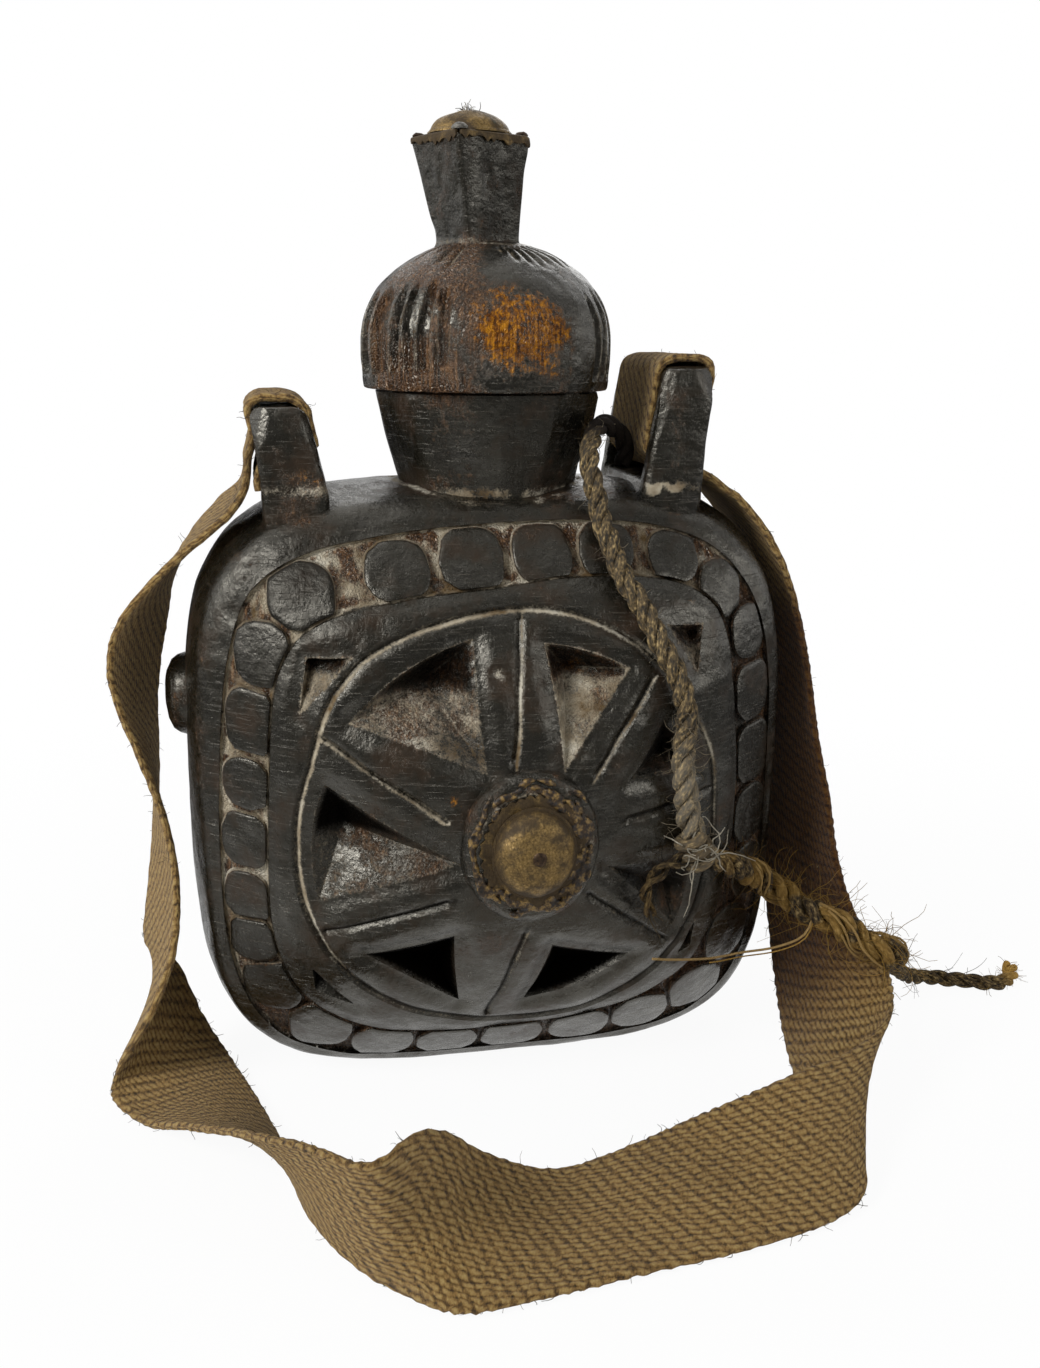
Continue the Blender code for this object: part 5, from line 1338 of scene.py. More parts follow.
def face_plan(sizes):
    """The carved front seen flat: points and triangles that follow every cut, and the loop of its edge."""
    turns = full_turn(OUTLINE_STEPS)
    points = [np.column_stack(outline(turns, EDGE_HALF * FACE_LIMIT))]
    edges = [(i, (i + 1) % OUTLINE_STEPS) for i in range(OUTLINE_STEPS)]
    count = OUTLINE_STEPS

    def add_line(line, closed=False):
        nonlocal count
        points.append(line)
        edges.extend((count + i, count + i + 1) for i in range(len(line) - 1))
        if closed:
            edges.append((count + len(line) - 1, count))
        count += len(line)

    run = WALL_RUN / EDGE_HALF
    fine = full_turn(900)
    base_x, base_z = outline(fine, EDGE_HALF)
    for inner_shift, outer_shift in ((0, 0), (run, -run)):
        for share, shift in zip(channel_edges(fine), (inner_shift, outer_shift)):
            share = share + shift
            add_line(
                np.column_stack([base_x * share, BODY_CENTRE_Z + (base_z - BODY_CENTRE_Z) * share]), True,
            )
    for border, deep, *_ in pocket_list():
        dense = np.vstack(
            [spline([a, b], 0.0007)[:-1] for a, b in zip(border, np.roll(border, -1, axis=0))]
        )
        add_line(dense, True)
        for end in sharpest(border):
            t = np.linspace(0, 1, max(int(np.linalg.norm(end - deep) / 0.0007), 3))[:-1, None]
            add_line(deep * (1 - t) + end * t)
    for number, line in enumerate(groove_lines(sizes)):
        across = unit(np.gradient(line, axis=0))[:, ::-1] * (1, -1) * sizes.groove_width / 2
        for shift in (0, 0.4, -0.4, 1, -1):
            side = spline(line + across * shift, 0.0008)
            add_line(side[:-1] if number == 0 else side, number == 0)
    fixed = np.vstack(points)
    step = sizes.grain
    reach = EDGE_HALF * FACE_LIMIT
    grid_x, grid_z = np.meshgrid(np.arange(-reach, reach, step), np.arange(-reach, reach, step * 0.87))
    grid_x = grid_x + (np.arange(len(grid_x)) % 2)[:, None] * step / 2
    grid = np.column_stack([grid_x.ravel(), grid_z.ravel() + BODY_CENTRE_Z])
    grid += np.random.default_rng(51).uniform(-0.12, 0.12, grid.shape) * step
    share = face_share(*grid.T)
    wheel = lengths(grid - (0, WHEEL_CENTRE_Z))
    hub = lengths(grid - (HUB_X, WHEEL_CENTRE_Z))
    coarse = (np.arange(len(grid)) % 2 == 0) | (((share > 0.74) | (wheel < 0.064)) & (hub > 0.018))
    grid = grid[(share < FACE_LIMIT - 0.006) & coarse]
    cells = {}
    for point in fixed:
        cells.setdefault((int(point[0] // step), int(point[1] // step)), []).append(point)
    kept = []
    for point in grid:
        i, j = int(point[0] // step), int(point[1] // step)
        near = [q for a in (-1, 0, 1) for b in (-1, 0, 1) for q in cells.get((i + a, j + b), ())]
        gaps = [(q[0] - point[0]) ** 2 + (q[1] - point[1]) ** 2 for q in near]
        if not gaps or min(gaps) > (step * 0.5) ** 2:
            kept.append(point)
    places = np.vstack([fixed, kept]) / MM
    plan = geometry.delaunay_2d_cdt([Vector(place) for place in places], edges, [], 0, 1e-3)
    found = np.array([tuple(place) for place in plan[0]]) * MM
    loop = {
        source: index for index, sources in enumerate(plan[3]) for source in sources
        if source < OUTLINE_STEPS
    }
    return found, plan[2], [loop[i] for i in range(OUTLINE_STEPS)]


def side_profile():
    """Half size and depth of the body's side, from the carved front over the wall to the back's middle."""
    shares = np.linspace(FACE_LIMIT, 1, 8)
    front = [(EDGE_HALF * s, -WALL_HALF_DEPTH - FACE_RISE * (1 - s**FACE_POWER)) for s in shares]
    parts = np.linspace(-1, 1, 90)[1:-1]
    wall = [(EDGE_HALF + WALL_BULGE * (1 - p * p), WALL_HALF_DEPTH * p) for p in parts]
    back = [
        (EDGE_HALF * s, WALL_HALF_DEPTH + FACE_RISE * (1 - s**FACE_POWER)) for s in np.linspace(1, 0, 150)
    ]
    line = spline([(*point, 0.0) for point in front + wall + back], 0.0005)[:, :2]
    soft = line.copy()
    for _ in range(14):
        soft[1:-1] = (soft[:-2] + 2 * soft[1:-1] + soft[2:]) / 4
    depth = soft[:, 1]
    wanted = [0]
    gap = 0.0
    for i in range(1, len(soft)):
        gap += np.linalg.norm(soft[i] - soft[i - 1])
        if gap > (0.0015 if depth[i] < WALL_HALF_DEPTH else 0.0034):
            wanted.append(i)
            gap = 0.0
    return soft[wanted[1:-1]]


def chip_flat(points, planes):
    """Cuts flats into a shape: what lies beyond a plane is pressed back onto it."""
    for heading, reach in planes:
        beyond = np.maximum(points @ heading - reach, 0)
        points = points - beyond[:, None] * heading
    return points


class FLASK_OT_body(bpy.types.Operator):
    """Carves the body: wheel, pockets, grooves and the border's channel, with plain sides and back"""

    bl_idname = "flask.body"
    bl_label = "Carved body"

    def execute(self, context):
        sizes = context.scene.flask_carving
        plan, triangles, loop = face_plan(sizes)
        depth, carved = carve(plan, sizes)
        x, z = plan.T
        points = [np.column_stack([x, face_y(x, z) + depth, z])]
        triangles = [tuple(face) for face in triangles]
        a, b, c = (plan[triangles[0][k]] for k in range(3))
        if (b - a)[0] * (c - a)[1] - (b - a)[1] * (c - a)[0] < 0:
            triangles = [face[::-1] for face in triangles]
        faces = triangles
        turns = full_turn(OUTLINE_STEPS)
        last = loop
        count = len(plan)
        for half, y in side_profile():
            ring_x, ring_z = outline(turns, half)
            ring = np.column_stack([ring_x, np.full(OUTLINE_STEPS, y), ring_z])
            points.append(ring)
            row = list(range(count, count + OUTLINE_STEPS))
            for i in range(OUTLINE_STEPS):
                j = (i + 1) % OUTLINE_STEPS
                faces.append((last[i], row[i], row[j], last[j]))
            last = row
            count += OUTLINE_STEPS
        points.append(np.array([(0.0, WALL_HALF_DEPTH + FACE_RISE, BODY_CENTRE_Z)]))
        faces += [(last[i], count, last[(i + 1) % OUTLINE_STEPS]) for i in range(OUTLINE_STEPS)]
        points = np.vstack(points)
        side = len(plan)
        outer = points[side:]
        middle = np.array((0, 0, BODY_CENTRE_Z))
        rough = 0.0004 * waves(outer, 0.016, 52) + 0.00018 * waves(outer, 0.006, 53)
        near_face = smooth_step(-WALL_HALF_DEPTH - 0.0025, -WALL_HALF_DEPTH + 0.002, outer[:, 1])
        outer = outer - unit(outer - middle) * np.maximum(rough * near_face + 0.0002, 0)[:, None]
        draw = np.random.default_rng(54)
        planes = []
        for _ in range(KNIFE_FLATS):
            spot = outer[int(draw.integers(0, len(outer)))]
            if spot[1] < -WALL_HALF_DEPTH + 0.002:
                continue
            heading = unit(unit((spot - middle) * (1, 1.2, 1)) + draw.normal(size=3) * 0.04)
            reach = (outer @ heading).max() - draw.uniform(0.00005, 0.0004)
            planes.append((heading, reach))
        points[side:] = chip_flat(outer, planes)
        points[:, 2] = np.maximum(points[:, 2], 0.0)
        tints = np.zeros((len(points), 4))
        tints[:side] = carved
        tints[side:, 3] = 1.0
        streaks = waves(points[side:] * (1, 1, 0.25), 0.006, 55)
        tints[side:, 1] = 0.24 + 0.36 * streaks
        top = points[side:, 2] - BODY_TOP_Z
        around_neck = lengths(points[side:, :2])
        collar = smooth_step(-0.012, 0.0, top) * bell(around_neck - 0.0305, 0.0022)
        tints[side:, 0] = collar * (0.6 + 0.5 * waves(points[side:], 0.004, 56))
        piece = new_piece("carved_body", points.tolist(), faces)
        finished(piece, tints, "oiled_hardwood", 28, "flask", "dark_wood", "flask_body")
        return {"FINISHED"}


def roundel_outline(number, gap):
    """A roundel's outline on the face, cut flat where its neighbours and the channel's walls press it."""
    x, z, half_x, half_z = ROUNDELS[number]
    centre = np.array((x, z)) * MM
    turns = full_turn(72)
    circle = circle_at(turns)
    radius = (np.abs(circle) ** 2.5).sum(axis=1) ** (-1 / 2.5)
    radius = radius * (1 + 0.025 * waves(circle, 0.7, 92 + number))
    line = circle * radius[:, None] * (half_x * MM, half_z * MM)
    draw = np.random.default_rng(91 + number)
    planes = []
    for step in (-1, 1):
        other = np.array(ROUNDELS[(number + step) % len(ROUNDELS)][:2]) * MM - centre
        planes.append((unit(other), (np.linalg.norm(other) - gap) / 2))
    for turn in draw.uniform(0, 2 * math.pi, 6):
        heading = heading_at(turn)
        planes.append((heading, (line @ heading).max() - draw.uniform(0.0002, 0.0006)))
    line = chip_flat(line, planes) + centre
    share = face_share(*line.T)
    inner, outer = channel_edges(np.arctan2(line[:, 1] - BODY_CENTRE_Z, line[:, 0]))
    held = (np.clip(share, inner + 0.0085, outer - 0.0085) / share)[:, None]
    return (line - (0, BODY_CENTRE_Z)) * held + (0, BODY_CENTRE_Z)


class FLASK_OT_roundels(bpy.types.Operator):
    """Cuts the border's roundels: low discs with a worn flat top and a hand-cut edge"""

    bl_idname = "flask.roundels"
    bl_label = "Roundels"

    def execute(self, context):
        sizes = context.scene.flask_carving
        sinks = (
            (1.05, sizes.channel_depth + 0.0012), (1.02, 0.0024), (1.0, 0.0012), (0.99, 0.0007),
            (0.965, 0.00025), (0.92, 0.00006), (0.8, 0.0), (0.6, 0.0), (0.4, 0.0), (0.2, 0.0),
        )
        store = MeshStore()
        for number in range(len(ROUNDELS)):
            line = roundel_outline(number, sizes.roundel_gap)
            count = len(line)
            middle = line.mean(axis=0)
            rings = []
            for share, sink in sinks:
                ring = middle + (line - middle) * share
                uneven = 0.00025 * waves(ring, 0.006, 120 + number) * (sink < 0.001) + 0.0003
                rings.append(np.column_stack([ring[:, 0], face_y(*ring.T) + sink + uneven, ring[:, 1]]))
            faces = [tuple(range(count)), tuple(range((len(sinks) - 1) * count, len(sinks) * count))[::-1]]
            faces += ring_faces(range(len(sinks)), count, True)
            points = np.vstack(rings)
            upper = upper_left(*middle)
            low = np.repeat([sink > 0.001 for _, sink in sinks], count)
            edge = np.repeat([0.965 < share <= 1.0 for share, _ in sinks], count)
            dust = low * (0.2 + 0.5 * upper) + 0.16 * edge * waves(points, 0.005, 131)
            wear = 0.1 + 0.6 * low + 0.4 * edge + 0.2 * waves(points, 0.012, 130)
            shade = 1 - spots_at(points[:, ::2], SOOTY_SPOTS) * (1 - np.clip(dust, 0, 1))
            store.add(points, faces, tints_of(dust, wear, 0, shade))
        piece = clean_shell(store.make("border_roundels", "oiled_hardwood", 40))
        belongs(piece, "flask", "dark_wood", "flask_body")
        return {"FINISHED"}


# Neck, lugs and boss


def clean_shell(piece):
    """Merges a shape's doubles and turns its faces outwards."""
    bm = bmesh.new()
    bm.from_mesh(piece.data)
    bmesh.ops.remove_doubles(bm, verts=bm.verts, dist=1e-6)
    bmesh.ops.recalc_face_normals(bm, faces=bm.faces)
    bm.to_mesh(piece.data)
    bm.free()
    return piece


def lathe(name, profile, steps, centre=(0.0, 0.0)):
    """Turns a profile of (radius, height) about an upright axis; it starts and ends on the axis."""
    profile = np.array(profile)
    turns = full_turn(steps)
    points, faces = [(centre[0], centre[1], profile[0][1])], []
    for radius, height in profile[1:-1]:
        points += [
            (centre[0] + radius * math.cos(t), centre[1] + radius * math.sin(t), height) for t in turns
        ]
    points.append((centre[0], centre[1], profile[-1][1]))
    rings = len(profile) - 2
    for j in range(steps):
        k = (j + 1) % steps
        faces.append((0, 1 + j, 1 + k))
        for i in range(rings - 1):
            a, b = 1 + i * steps, 1 + (i + 1) * steps
            faces.append((a + j, b + j, b + k, a + k))
        last = 1 + (rings - 1) * steps
        faces.append((last + k, last + j, len(points) - 1))
    return clean_shell(new_piece(name, points, faces))


def refine(profile, spacing):
    """The same profile with more points on its straight runs."""
    made = [profile[0]]
    for a, b in zip(profile, profile[1:]):
        a, b = np.array(a), np.array(b)
        count = max(int(np.linalg.norm(b - a) / spacing), 1)
        made += [tuple(a + (b - a) * k / count) for k in range(1, count + 1)]
    return made


class FlaskTop(bpy.types.PropertyGroup):
    """Neck, lugs and boss."""

    neck_base: length_setting("Neck base", "Radius at the neck's foot", 0.0293)
    neck_top: length_setting("Neck top", "Radius at the neck's rim", 0.0363)
    bore: length_setting("Bore", "Radius of the bore", 0.015)
    lug_detail: length_setting("Lug detail", "Mesh size on the lugs", 0.0008)
    boss_radius: length_setting("Boss radius", "Half the wall boss's width", 0.0135)


class FLASK_OT_neck(bpy.types.Operator):
    """Turns the flared neck with its bore and cuts the knife flats round it"""

    bl_idname = "flask.neck"
    bl_label = "Neck"

    def execute(self, context):
        sizes = context.scene.flask_top
        flare = sizes.neck_top - sizes.neck_base
        top = NECK_TOP_Z
        profile = [
            (0.0, 0.2015), (sizes.bore * 0.9, 0.2015), (sizes.bore, 0.2035), (sizes.bore, top - 0.0008),
            (sizes.bore + 0.0008, top), (sizes.neck_top - 0.0014, top),
            (sizes.neck_top - 0.0004, top - 0.0006), (sizes.neck_top, top - 0.0022),
            (sizes.neck_top - flare * 0.2, top - 0.009), (sizes.neck_top - flare * 0.5, top - 0.017),
            (sizes.neck_top - flare * 0.85, top - 0.023), (sizes.neck_base, BODY_TOP_Z),
            (sizes.neck_base, 0.181), (0.0, 0.180),
        ]
        neck = lathe("carved_neck", refine(profile, 0.0011), 220)
        points = vertex_array(neck)
        radius = lengths(points[:, :2])
        outside = (radius > sizes.neck_base - 0.003) & (points[:, 2] < top - 0.0004)
        draw = np.random.default_rng(301)
        skin = points[outside]
        turn = 0.25
        while turn < 2 * math.pi + 0.2:
            heading = heading_at(turn)
            slope = draw.uniform(-0.02, 0.03)
            reach = sizes.neck_base + (skin[:, 2] - BODY_TOP_Z) * (flare / NECK_HEIGHT + slope)
            rise = np.clip((skin[:, 2] - BODY_TOP_Z) / NECK_HEIGHT, 0, 1)
            bulge = 0.6 * flare * rise * (rise - 1)
            limit = reach + bulge * -0.4 - draw.uniform(0.0003, 0.0012)
            beyond = np.maximum(skin[:, :2] @ heading - limit, 0)
            skin[:, :2] -= beyond[:, None] * heading
            turn += draw.uniform(0.34, 0.62)
        points[outside] = skin
        rough = 0.00018 * waves(points, 0.007, 302)
        points += unit(points * (1, 1, 0)) * rough[:, None] * outside[:, None]
        set_vertex_array(neck, points)
        turns = np.arctan2(points[:, 1], points[:, 0])
        facing = circle_at(turns)
        foot = bell(points[:, 2] - 0.1955 + 0.0015 * np.abs(facing[:, 0]), 0.0026)
        dust = foot * (0.5 + 0.35 * waves(facing, 0.5, 303) + 0.5 * waves(points, 0.003, 306))
        red = 0.25 + 0.6 * waves(facing * (1, 0.4), 0.4, 304) + 0.15 * waves(points, 0.01, 305)
        # A warm streak down the front, painted as worn and rubbed wood; it also stands for the light that
        # catches a facet's edge there
        held = bell(facing[:, 0] + 0.3, 0.09) * (facing[:, 1] < 0)
        held = held * (0.7 + 0.4 * waves(points * (1, 1, 0.3), 0.006, 307))
        tints = tints_of(dust, red + 0.7 * held, 0.3 * held)
        finished(neck, tints, "oiled_hardwood", 22, "flask", "dark_wood", "flask_body")
        return {"FINISHED"}


def lug_centre(side, z):
    """The lugs lean outwards from their bases."""
    rise = max((z - LUG_FLOOR_Z) / (LUG_TOP_Z[side] - LUG_FLOOR_Z), 0.0)
    return -0.0035 + side * (0.059 + 0.005 * rise)


def block(name, rings):
    """A closed block through four-cornered rings."""
    points = [corner for ring in rings for corner in ring]
    faces = [(0, 1, 2, 3), tuple(range(len(points) - 4, len(points)))] + ring_faces(range(len(rings)), 4)
    return clean_shell(new_piece(name, points, faces))


class FLASK_OT_lugs(bpy.types.Operator):
    """Carves the two slotted lugs, with knife flats down their posts"""

    bl_idname = "flask.lugs"
    bl_label = "Lugs"

    def execute(self, context):
        sizes = context.scene.flask_top
        half_length, half_slot = 0.0283, 0.0221
        halves = []
        for side in (-1, 1):
            top = LUG_TOP_Z[side]

            def ring(z, low, high, reach):
                """Four corners at a height, between two places across the lug's own middle."""
                x = lug_centre(side, z)
                return [
                    (x + low, -reach, z), (x + high, -reach, z), (x + high, reach, z), (x + low, reach, z),
                ]

            lug = block("lug", [ring(z, -half, half, half_length) for z, half in (
                (LUG_FLOOR_Z - 0.019, 0.0102), (LUG_FLOOR_Z - 0.004, 0.01), (LUG_FLOOR_Z + 0.012, 0.0091),
                (top - 0.003, 0.0086), (top - 0.0004, 0.0074),
            )])
            apply_modifier(lug, "BEVEL", width=0.003, segments=3, limit_method="ANGLE", angle_limit=0.6)
            # The slot, and the narrower waist that the strap goes round
            waist = ((LUG_FLOOR_Z - 0.004, 0.0092), (LUG_FLOOR_Z + 0.012, 0.0069), (top + 0.004, 0.0065))
            for cut in (
                [ring(z, -0.03, 0.03, half_slot) for z in (LUG_FLOOR_Z, LUG_FLOOR_Z + 0.012)],
                [ring(z, half, 0.03, half_slot) for z, half in waist],
                [ring(z, -0.03, -half, half_slot) for z, half in waist],
            ):
                cutter = block("cut", cut)
                apply_modifier(lug, "BOOLEAN", object=cutter, operation="DIFFERENCE", solver="EXACT")
                bpy.data.objects.remove(cutter)
            apply_modifier(lug, "REMESH", mode="VOXEL", voxel_size=sizes.lug_detail, use_smooth_shade=True)
            apply_modifier(lug, "SMOOTH", factor=0.5, iterations=3)
            points = vertex_array(lug)
            draw = np.random.default_rng(311 + side)
            middle = np.array((lug_centre(side, top - 0.02), 0, top - 0.02))
            post = points[:, 1] < -0.0222
            planes = []
            for turn in (-2.6, -2.2, -1.6, -1.0, -0.6):
                for tip in (-0.06, 0.2):
                    heading = unit(
                        np.array((math.cos(turn) * 0.75, math.sin(turn), tip + draw.uniform(-0.06, 0.06)))
                    )
                    around = (points[post] - middle) @ heading
                    planes.append((heading, np.quantile(around, 0.97 - draw.uniform(0, 0.05))))
            for _ in range(26):
                heading = unit(draw.normal(size=3) * (0.5, 1.0, 0.6))
                around = (points - middle) @ heading
                planes.append((heading, around.max() - draw.uniform(0.0003, 0.0012)))
            points = chip_flat(points - middle, planes) + middle
            points += 0.00013 * wander(points, 0.004, 315)
            set_vertex_array(lug, points)
            halves.append(lug)
        only(halves[0])
        halves[1].select_set(True)
        bpy.ops.object.join()
        lugs = bpy.context.object
        lugs.name = lugs.data.name = "carved_lugs"
        points = vertex_array(lugs)
        left_foot = bell(lengths((points - (-0.056, -0.028, 0.1975)) / (1, 1, 0.6)), 0.008)
        right_foot = bell(lengths((points - (0.052, -0.028, 0.1965)) / (1, 1, 0.5)), 0.006)
        worn = 0.15 + 0.35 * waves(points * (1, 1, 0.35), 0.006, 318) + 0.5 * left_foot
        dust = 1.1 * smooth_step(-0.1, 0.4, waves(points, 0.0022, 319)) * right_foot
        dust = dust + 0.35 * bell(points[:, 2] - 0.197, 0.002) + 0.25 * left_foot
        tints = tints_of(dust, worn, 0.35 * left_foot)
        finished(lugs, tints, "oiled_hardwood", 24, "flask", "dark_wood", "flask_body")
        return {"FINISHED"}


class FLASK_OT_boss(bpy.types.Operator):
    """Turns the low boss on the left wall"""

    bl_idname = "flask.boss"
    bl_label = "Wall boss"

    def execute(self, context):
        r = context.scene.flask_top.boss_radius
        profile = [
            (0.0, 0.0066), (r * 0.3, 0.0064), (r * 0.6, 0.0057), (r * 0.84, 0.0042), (r * 0.95, 0.0022),
            (r, 0.0), (r * 1.02, -0.004), (0.0, -0.004),
        ]
        boss = lathe("wall_boss", refine(profile, 0.0009), 72)
        points = vertex_array(boss)
        draw = np.random.default_rng(321)
        planes = [(unit(heading_at(t, 0.55)), r * 0.93) for t in draw.uniform(0, 6.3, 16)]
        points = chip_flat(points, planes) + 0.0002 * wander(points, 0.005, 322)
        points = np.column_stack([BOSS_X - points[:, 2], points[:, 0], BOSS_Z + points[:, 1]])
        set_vertex_array(boss, points)
        clean_shell(boss)
        tints = tints_of(0, 0.25 + 0.2 * waves(points, 0.006, 325))
        finished(boss, tints, "oiled_hardwood", 24, "flask", "dark_wood", "flask_body")
        return {"FINISHED"}


# Hub


class FlaskBrass(bpy.types.PropertyGroup):
    """The brass and iron trim."""

    washer: length_setting("Washer", "Radius to the tips of its teeth", 0.0168)
    teeth: IntProperty(name="Teeth", description="Teeth round the washer", default=34)
    dome: length_setting("Hub dome", "Radius of the dome on the hub", 0.012)
    cap: length_setting("Finial dome", "Radius of the dome on the finial", 0.0122)
    colour: colour_setting("Brass", "Colour of the bare metal", "7e663a")


def tarnished_brass():
    """Sheet brass, hammered and long untouched: dull yellow metal with brown-black tarnish in blotches and
    dents, fine scratches and a few green specks."""
    material, add, shader = new_material("tarnished_brass")
    tarnish = add("SeparateColor", {0: add("Attribute", attribute_name="finish")})
    place = add("TexCoord").outputs["Object"]
    blotch = add("TexNoise", {"Vector": place, "Scale": 260.0, "Detail": 6.0, "Roughness": 0.68})
    fine = add("TexNoise", {"Vector": place, "Scale": 1500.0, "Detail": 4.0, "Roughness": 0.7})
    scratch = add("Mapping", {0: place, 2: (0.3, 0.5, 0.9), 3: (2600.0, 250.0, 250.0)})
    scratch = add("TexNoise", {"Vector": scratch, "Scale": 1.0, "Detail": 2.0})
    tarnish = add("Math", {0: blotch, 1: tarnish}, operation="ADD")
    tarnish = add(
        "MapRange", {"Value": tarnish, "From Min": 0.45, "From Max": 0.85}, interpolation_type="SMOOTHSTEP",
    )
    bare = add(
        "ValToRGB", {0: fine},
        [(0.3, "4d3c22"), (0.5, tuple(bpy.context.scene.flask_brass.colour)), (0.72, "a98c58")],
    )
    dull = add("Mix", {0: fine, 6: "1a130a", 7: "554327"}, data_type="RGBA")
    tone = add("Mix", {0: tarnish, 6: bare, 7: dull}, data_type="RGBA")
    specks = add("MapRange", {"Value": blotch, "From Min": 0.66, "From Max": 0.72})
    tone = add("Mix", {0: specks, 6: tone, 7: "3c4330"}, data_type="RGBA")
    metal = add("MapRange", {"Value": tarnish, "To Min": 0.45, "To Max": 0.05})
    rough = add("MapRange", {"Value": tarnish, "To Min": 0.4, "To Max": 0.68})
    relief = add("Math", {0: scratch, 1: 0.35, 2: blotch}, operation="MULTIPLY_ADD")
    bump = add("Bump", {"Height": relief, "Strength": 0.8, "Distance": 0.0006})
    set_sockets(shader, {
        "Base Color": tone, "Specular IOR Level": 0.35, "Metallic": metal, "Roughness": rough,
        "Normal": bump,
    })
    return material


def pitted_finish(name, scale, detail, stops, relief, **sockets):
    """A finish of one fine noise that gives its colours and its relief: a strength and a height."""
    material, add, shader = new_material(name)
    place = add("TexCoord").outputs["Object"]
    pits = add("TexNoise", {"Vector": place, "Scale": scale, "Detail": detail, "Roughness": 0.7})
    tone = add("ValToRGB", {0: pits}, stops)
    bump = add("Bump", {"Height": pits, "Strength": relief[0], "Distance": relief[1]})
    set_sockets(shader, {"Base Color": tone, "Normal": bump, **sockets})
    return material


def blackened_iron():
    """Forged iron nail, oiled and rusted brown-black: rough, with a dull metal glint on its rubbed head."""
    stops = [(0.35, "2a2019"), (0.55, "4b3a2a"), (0.75, "6c5638")]
    return pitted_finish("blackened_iron", 900.0, 5.0, stops, (0.5, 0.0003), Metallic=0.7, Roughness=0.5)


def grey_solder():
    """A lump of old lead solder: dull pale grey, soft and pitted, with darker hollows."""
    stops = [(0.35, "3a3733"), (0.6, "8b8880")]
    return pitted_finish("grey_solder", 900.0, 4.0, stops, (0.8, 0.0005), Metallic=0.5, Roughness=0.55)


def brown_resin():
    """Old tree resin smeared over a repair: dark brown, cracked and waxy, catching light on its ridges."""
    stops = [(0.38, "120d08"), (0.5, "3a2a17"), (0.62, "8a6f3c")]
    return pitted_finish("brown_resin", 500.0, 5.0, stops, (0.8, 0.0006), Roughness=0.45)


def face_front(points, y):
    """Turns a shape made about +Z to look out of the hub along -Y."""
    return np.column_stack([HUB_X + points[:, 0], y - points[:, 2], WHEEL_CENTRE_Z + points[:, 1]])


HUB_FRONT_Y = -0.0735


def hub_disc():
    profile = [
        (0.0, 0.0), (0.0168, 0.0), (0.0192, -0.0004), (0.0208, -0.0013), (0.0216, -0.0028),
        (0.0219, -0.006), (0.0222, -0.0095), (0.0, -0.0095),
    ]
    disc = lathe("hub_disc", refine(profile, 0.0007), 150)
    points = vertex_array(disc)
    turns = np.arctan2(points[:, 1], points[:, 0])
    circle = circle_at(turns)
    points[:, :2] *= (1 + 0.035 * waves(circle, 0.8, 401))[:, None] * (0.96, 1.1)
    draw = np.random.default_rng(402)
    turns = draw.uniform(0, 6.3, 24)
    planes = [(unit(heading_at(t, draw.uniform(0.2, 1.4))), 0.0202) for t in turns]
    points = chip_flat(points, planes)
    points += 0.00022 * wander(points, 0.0045, 403)
    dust = 0.5 * bell(lengths(points[:, :2]) - 0.0178, 0.0012) * (points[:, 1] > -0.004)
    set_vertex_array(disc, face_front(points, HUB_FRONT_Y))
    clean_shell(disc)
    tints = tints_of(dust, 0.35 + 0.3 * waves(points, 0.006, 406))
    finished(disc, tints, "oiled_hardwood", 26, "flask", "dark_wood", "flask_body")


def hub_washer(sizes):
    teeth = sizes.teeth
    washer = MeshStore()
    turns = full_turn(teeth * 6)
    tooth = np.abs((turns * teeth / (2 * math.pi)) % 1 - 0.5) * 2
    circle = circle_at(turns)
    edge = sizes.washer - 0.0017 * (1 - tooth) * (0.6 + 0.6 * waves(circle, 0.16, 411))
    edge = edge + 0.0005 * waves(circle, 0.25, 414)
    rows = []
    for layer in (0, 1):
        for share in (1.0, 0.97, 0.9, 0.8, 0.65, 0.5):
            radius = edge * share if share > 0.85 else np.full(len(turns), sizes.washer * share)
            x, y = 0.97 * radius * np.cos(turns), 1.07 * radius * np.sin(turns)
            lift = 0.0003 + 0.0005 * waves(np.column_stack([x, y]), 0.003, 412)
            rows.append(np.column_stack([x, y, lift + 0.0006 * (1 - layer)]))
    order = rows[:6][::-1] + rows[6:]
    points = face_front(np.vstack(order), HUB_FRONT_Y)
    faces = ring_faces([*range(len(order)), 0], len(turns))
    dirt = 0.24 + 0.3 * waves(points, 0.004, 413) + 0.42 * smooth_step(-0.006, 0.01, points[:, 0] - HUB_X)
    washer.add(points, faces, tints_of(dirt))
    washer = clean_shell(washer.make("toothed_washer", "tarnished_brass", 30))
    belongs(washer, "flask", "aged_brass", "hub_washer")


def hub_dome(r):
    profile = [(0.0, 0.0073)] + [
        (r * math.cos(a) ** 0.8, 0.0004 + 0.0069 * math.sin(a)) for a in np.radians(np.linspace(84, 0, 26))
    ]
    profile += [(r + 0.0009, 0.0002), (r + 0.0009, -0.0002), (0.0, -0.0002)]
    dome = lathe("hub_brass_dome", profile, 128)
    points = vertex_array(dome)
    points[:, 1] *= 1.12
    upper = points[:, 2] > 0.0006
    points[upper, 2] -= 0.0005 * bell(lengths(points[upper, :2] - (0.003, -0.0015)), 0.004)
    points[:, 2] += upper * (
        0.0003 * waves(points[:, :2], 0.0045, 421) + 0.00011 * waves(points[:, :2], 0.0018, 422)
    )
    rim = smooth_step(0.82, 1.0, lengths(points[:, :2]) / r)
    set_vertex_array(dome, face_front(points, HUB_FRONT_Y - 0.0014))
    clean_shell(dome)
    tints = tints_of(0.1 + 0.2 * rim + 0.12 * waves(points, 0.005, 423))
    finished(dome, tints, "tarnished_brass", 50, "flask", "aged_brass", "hub_dome")


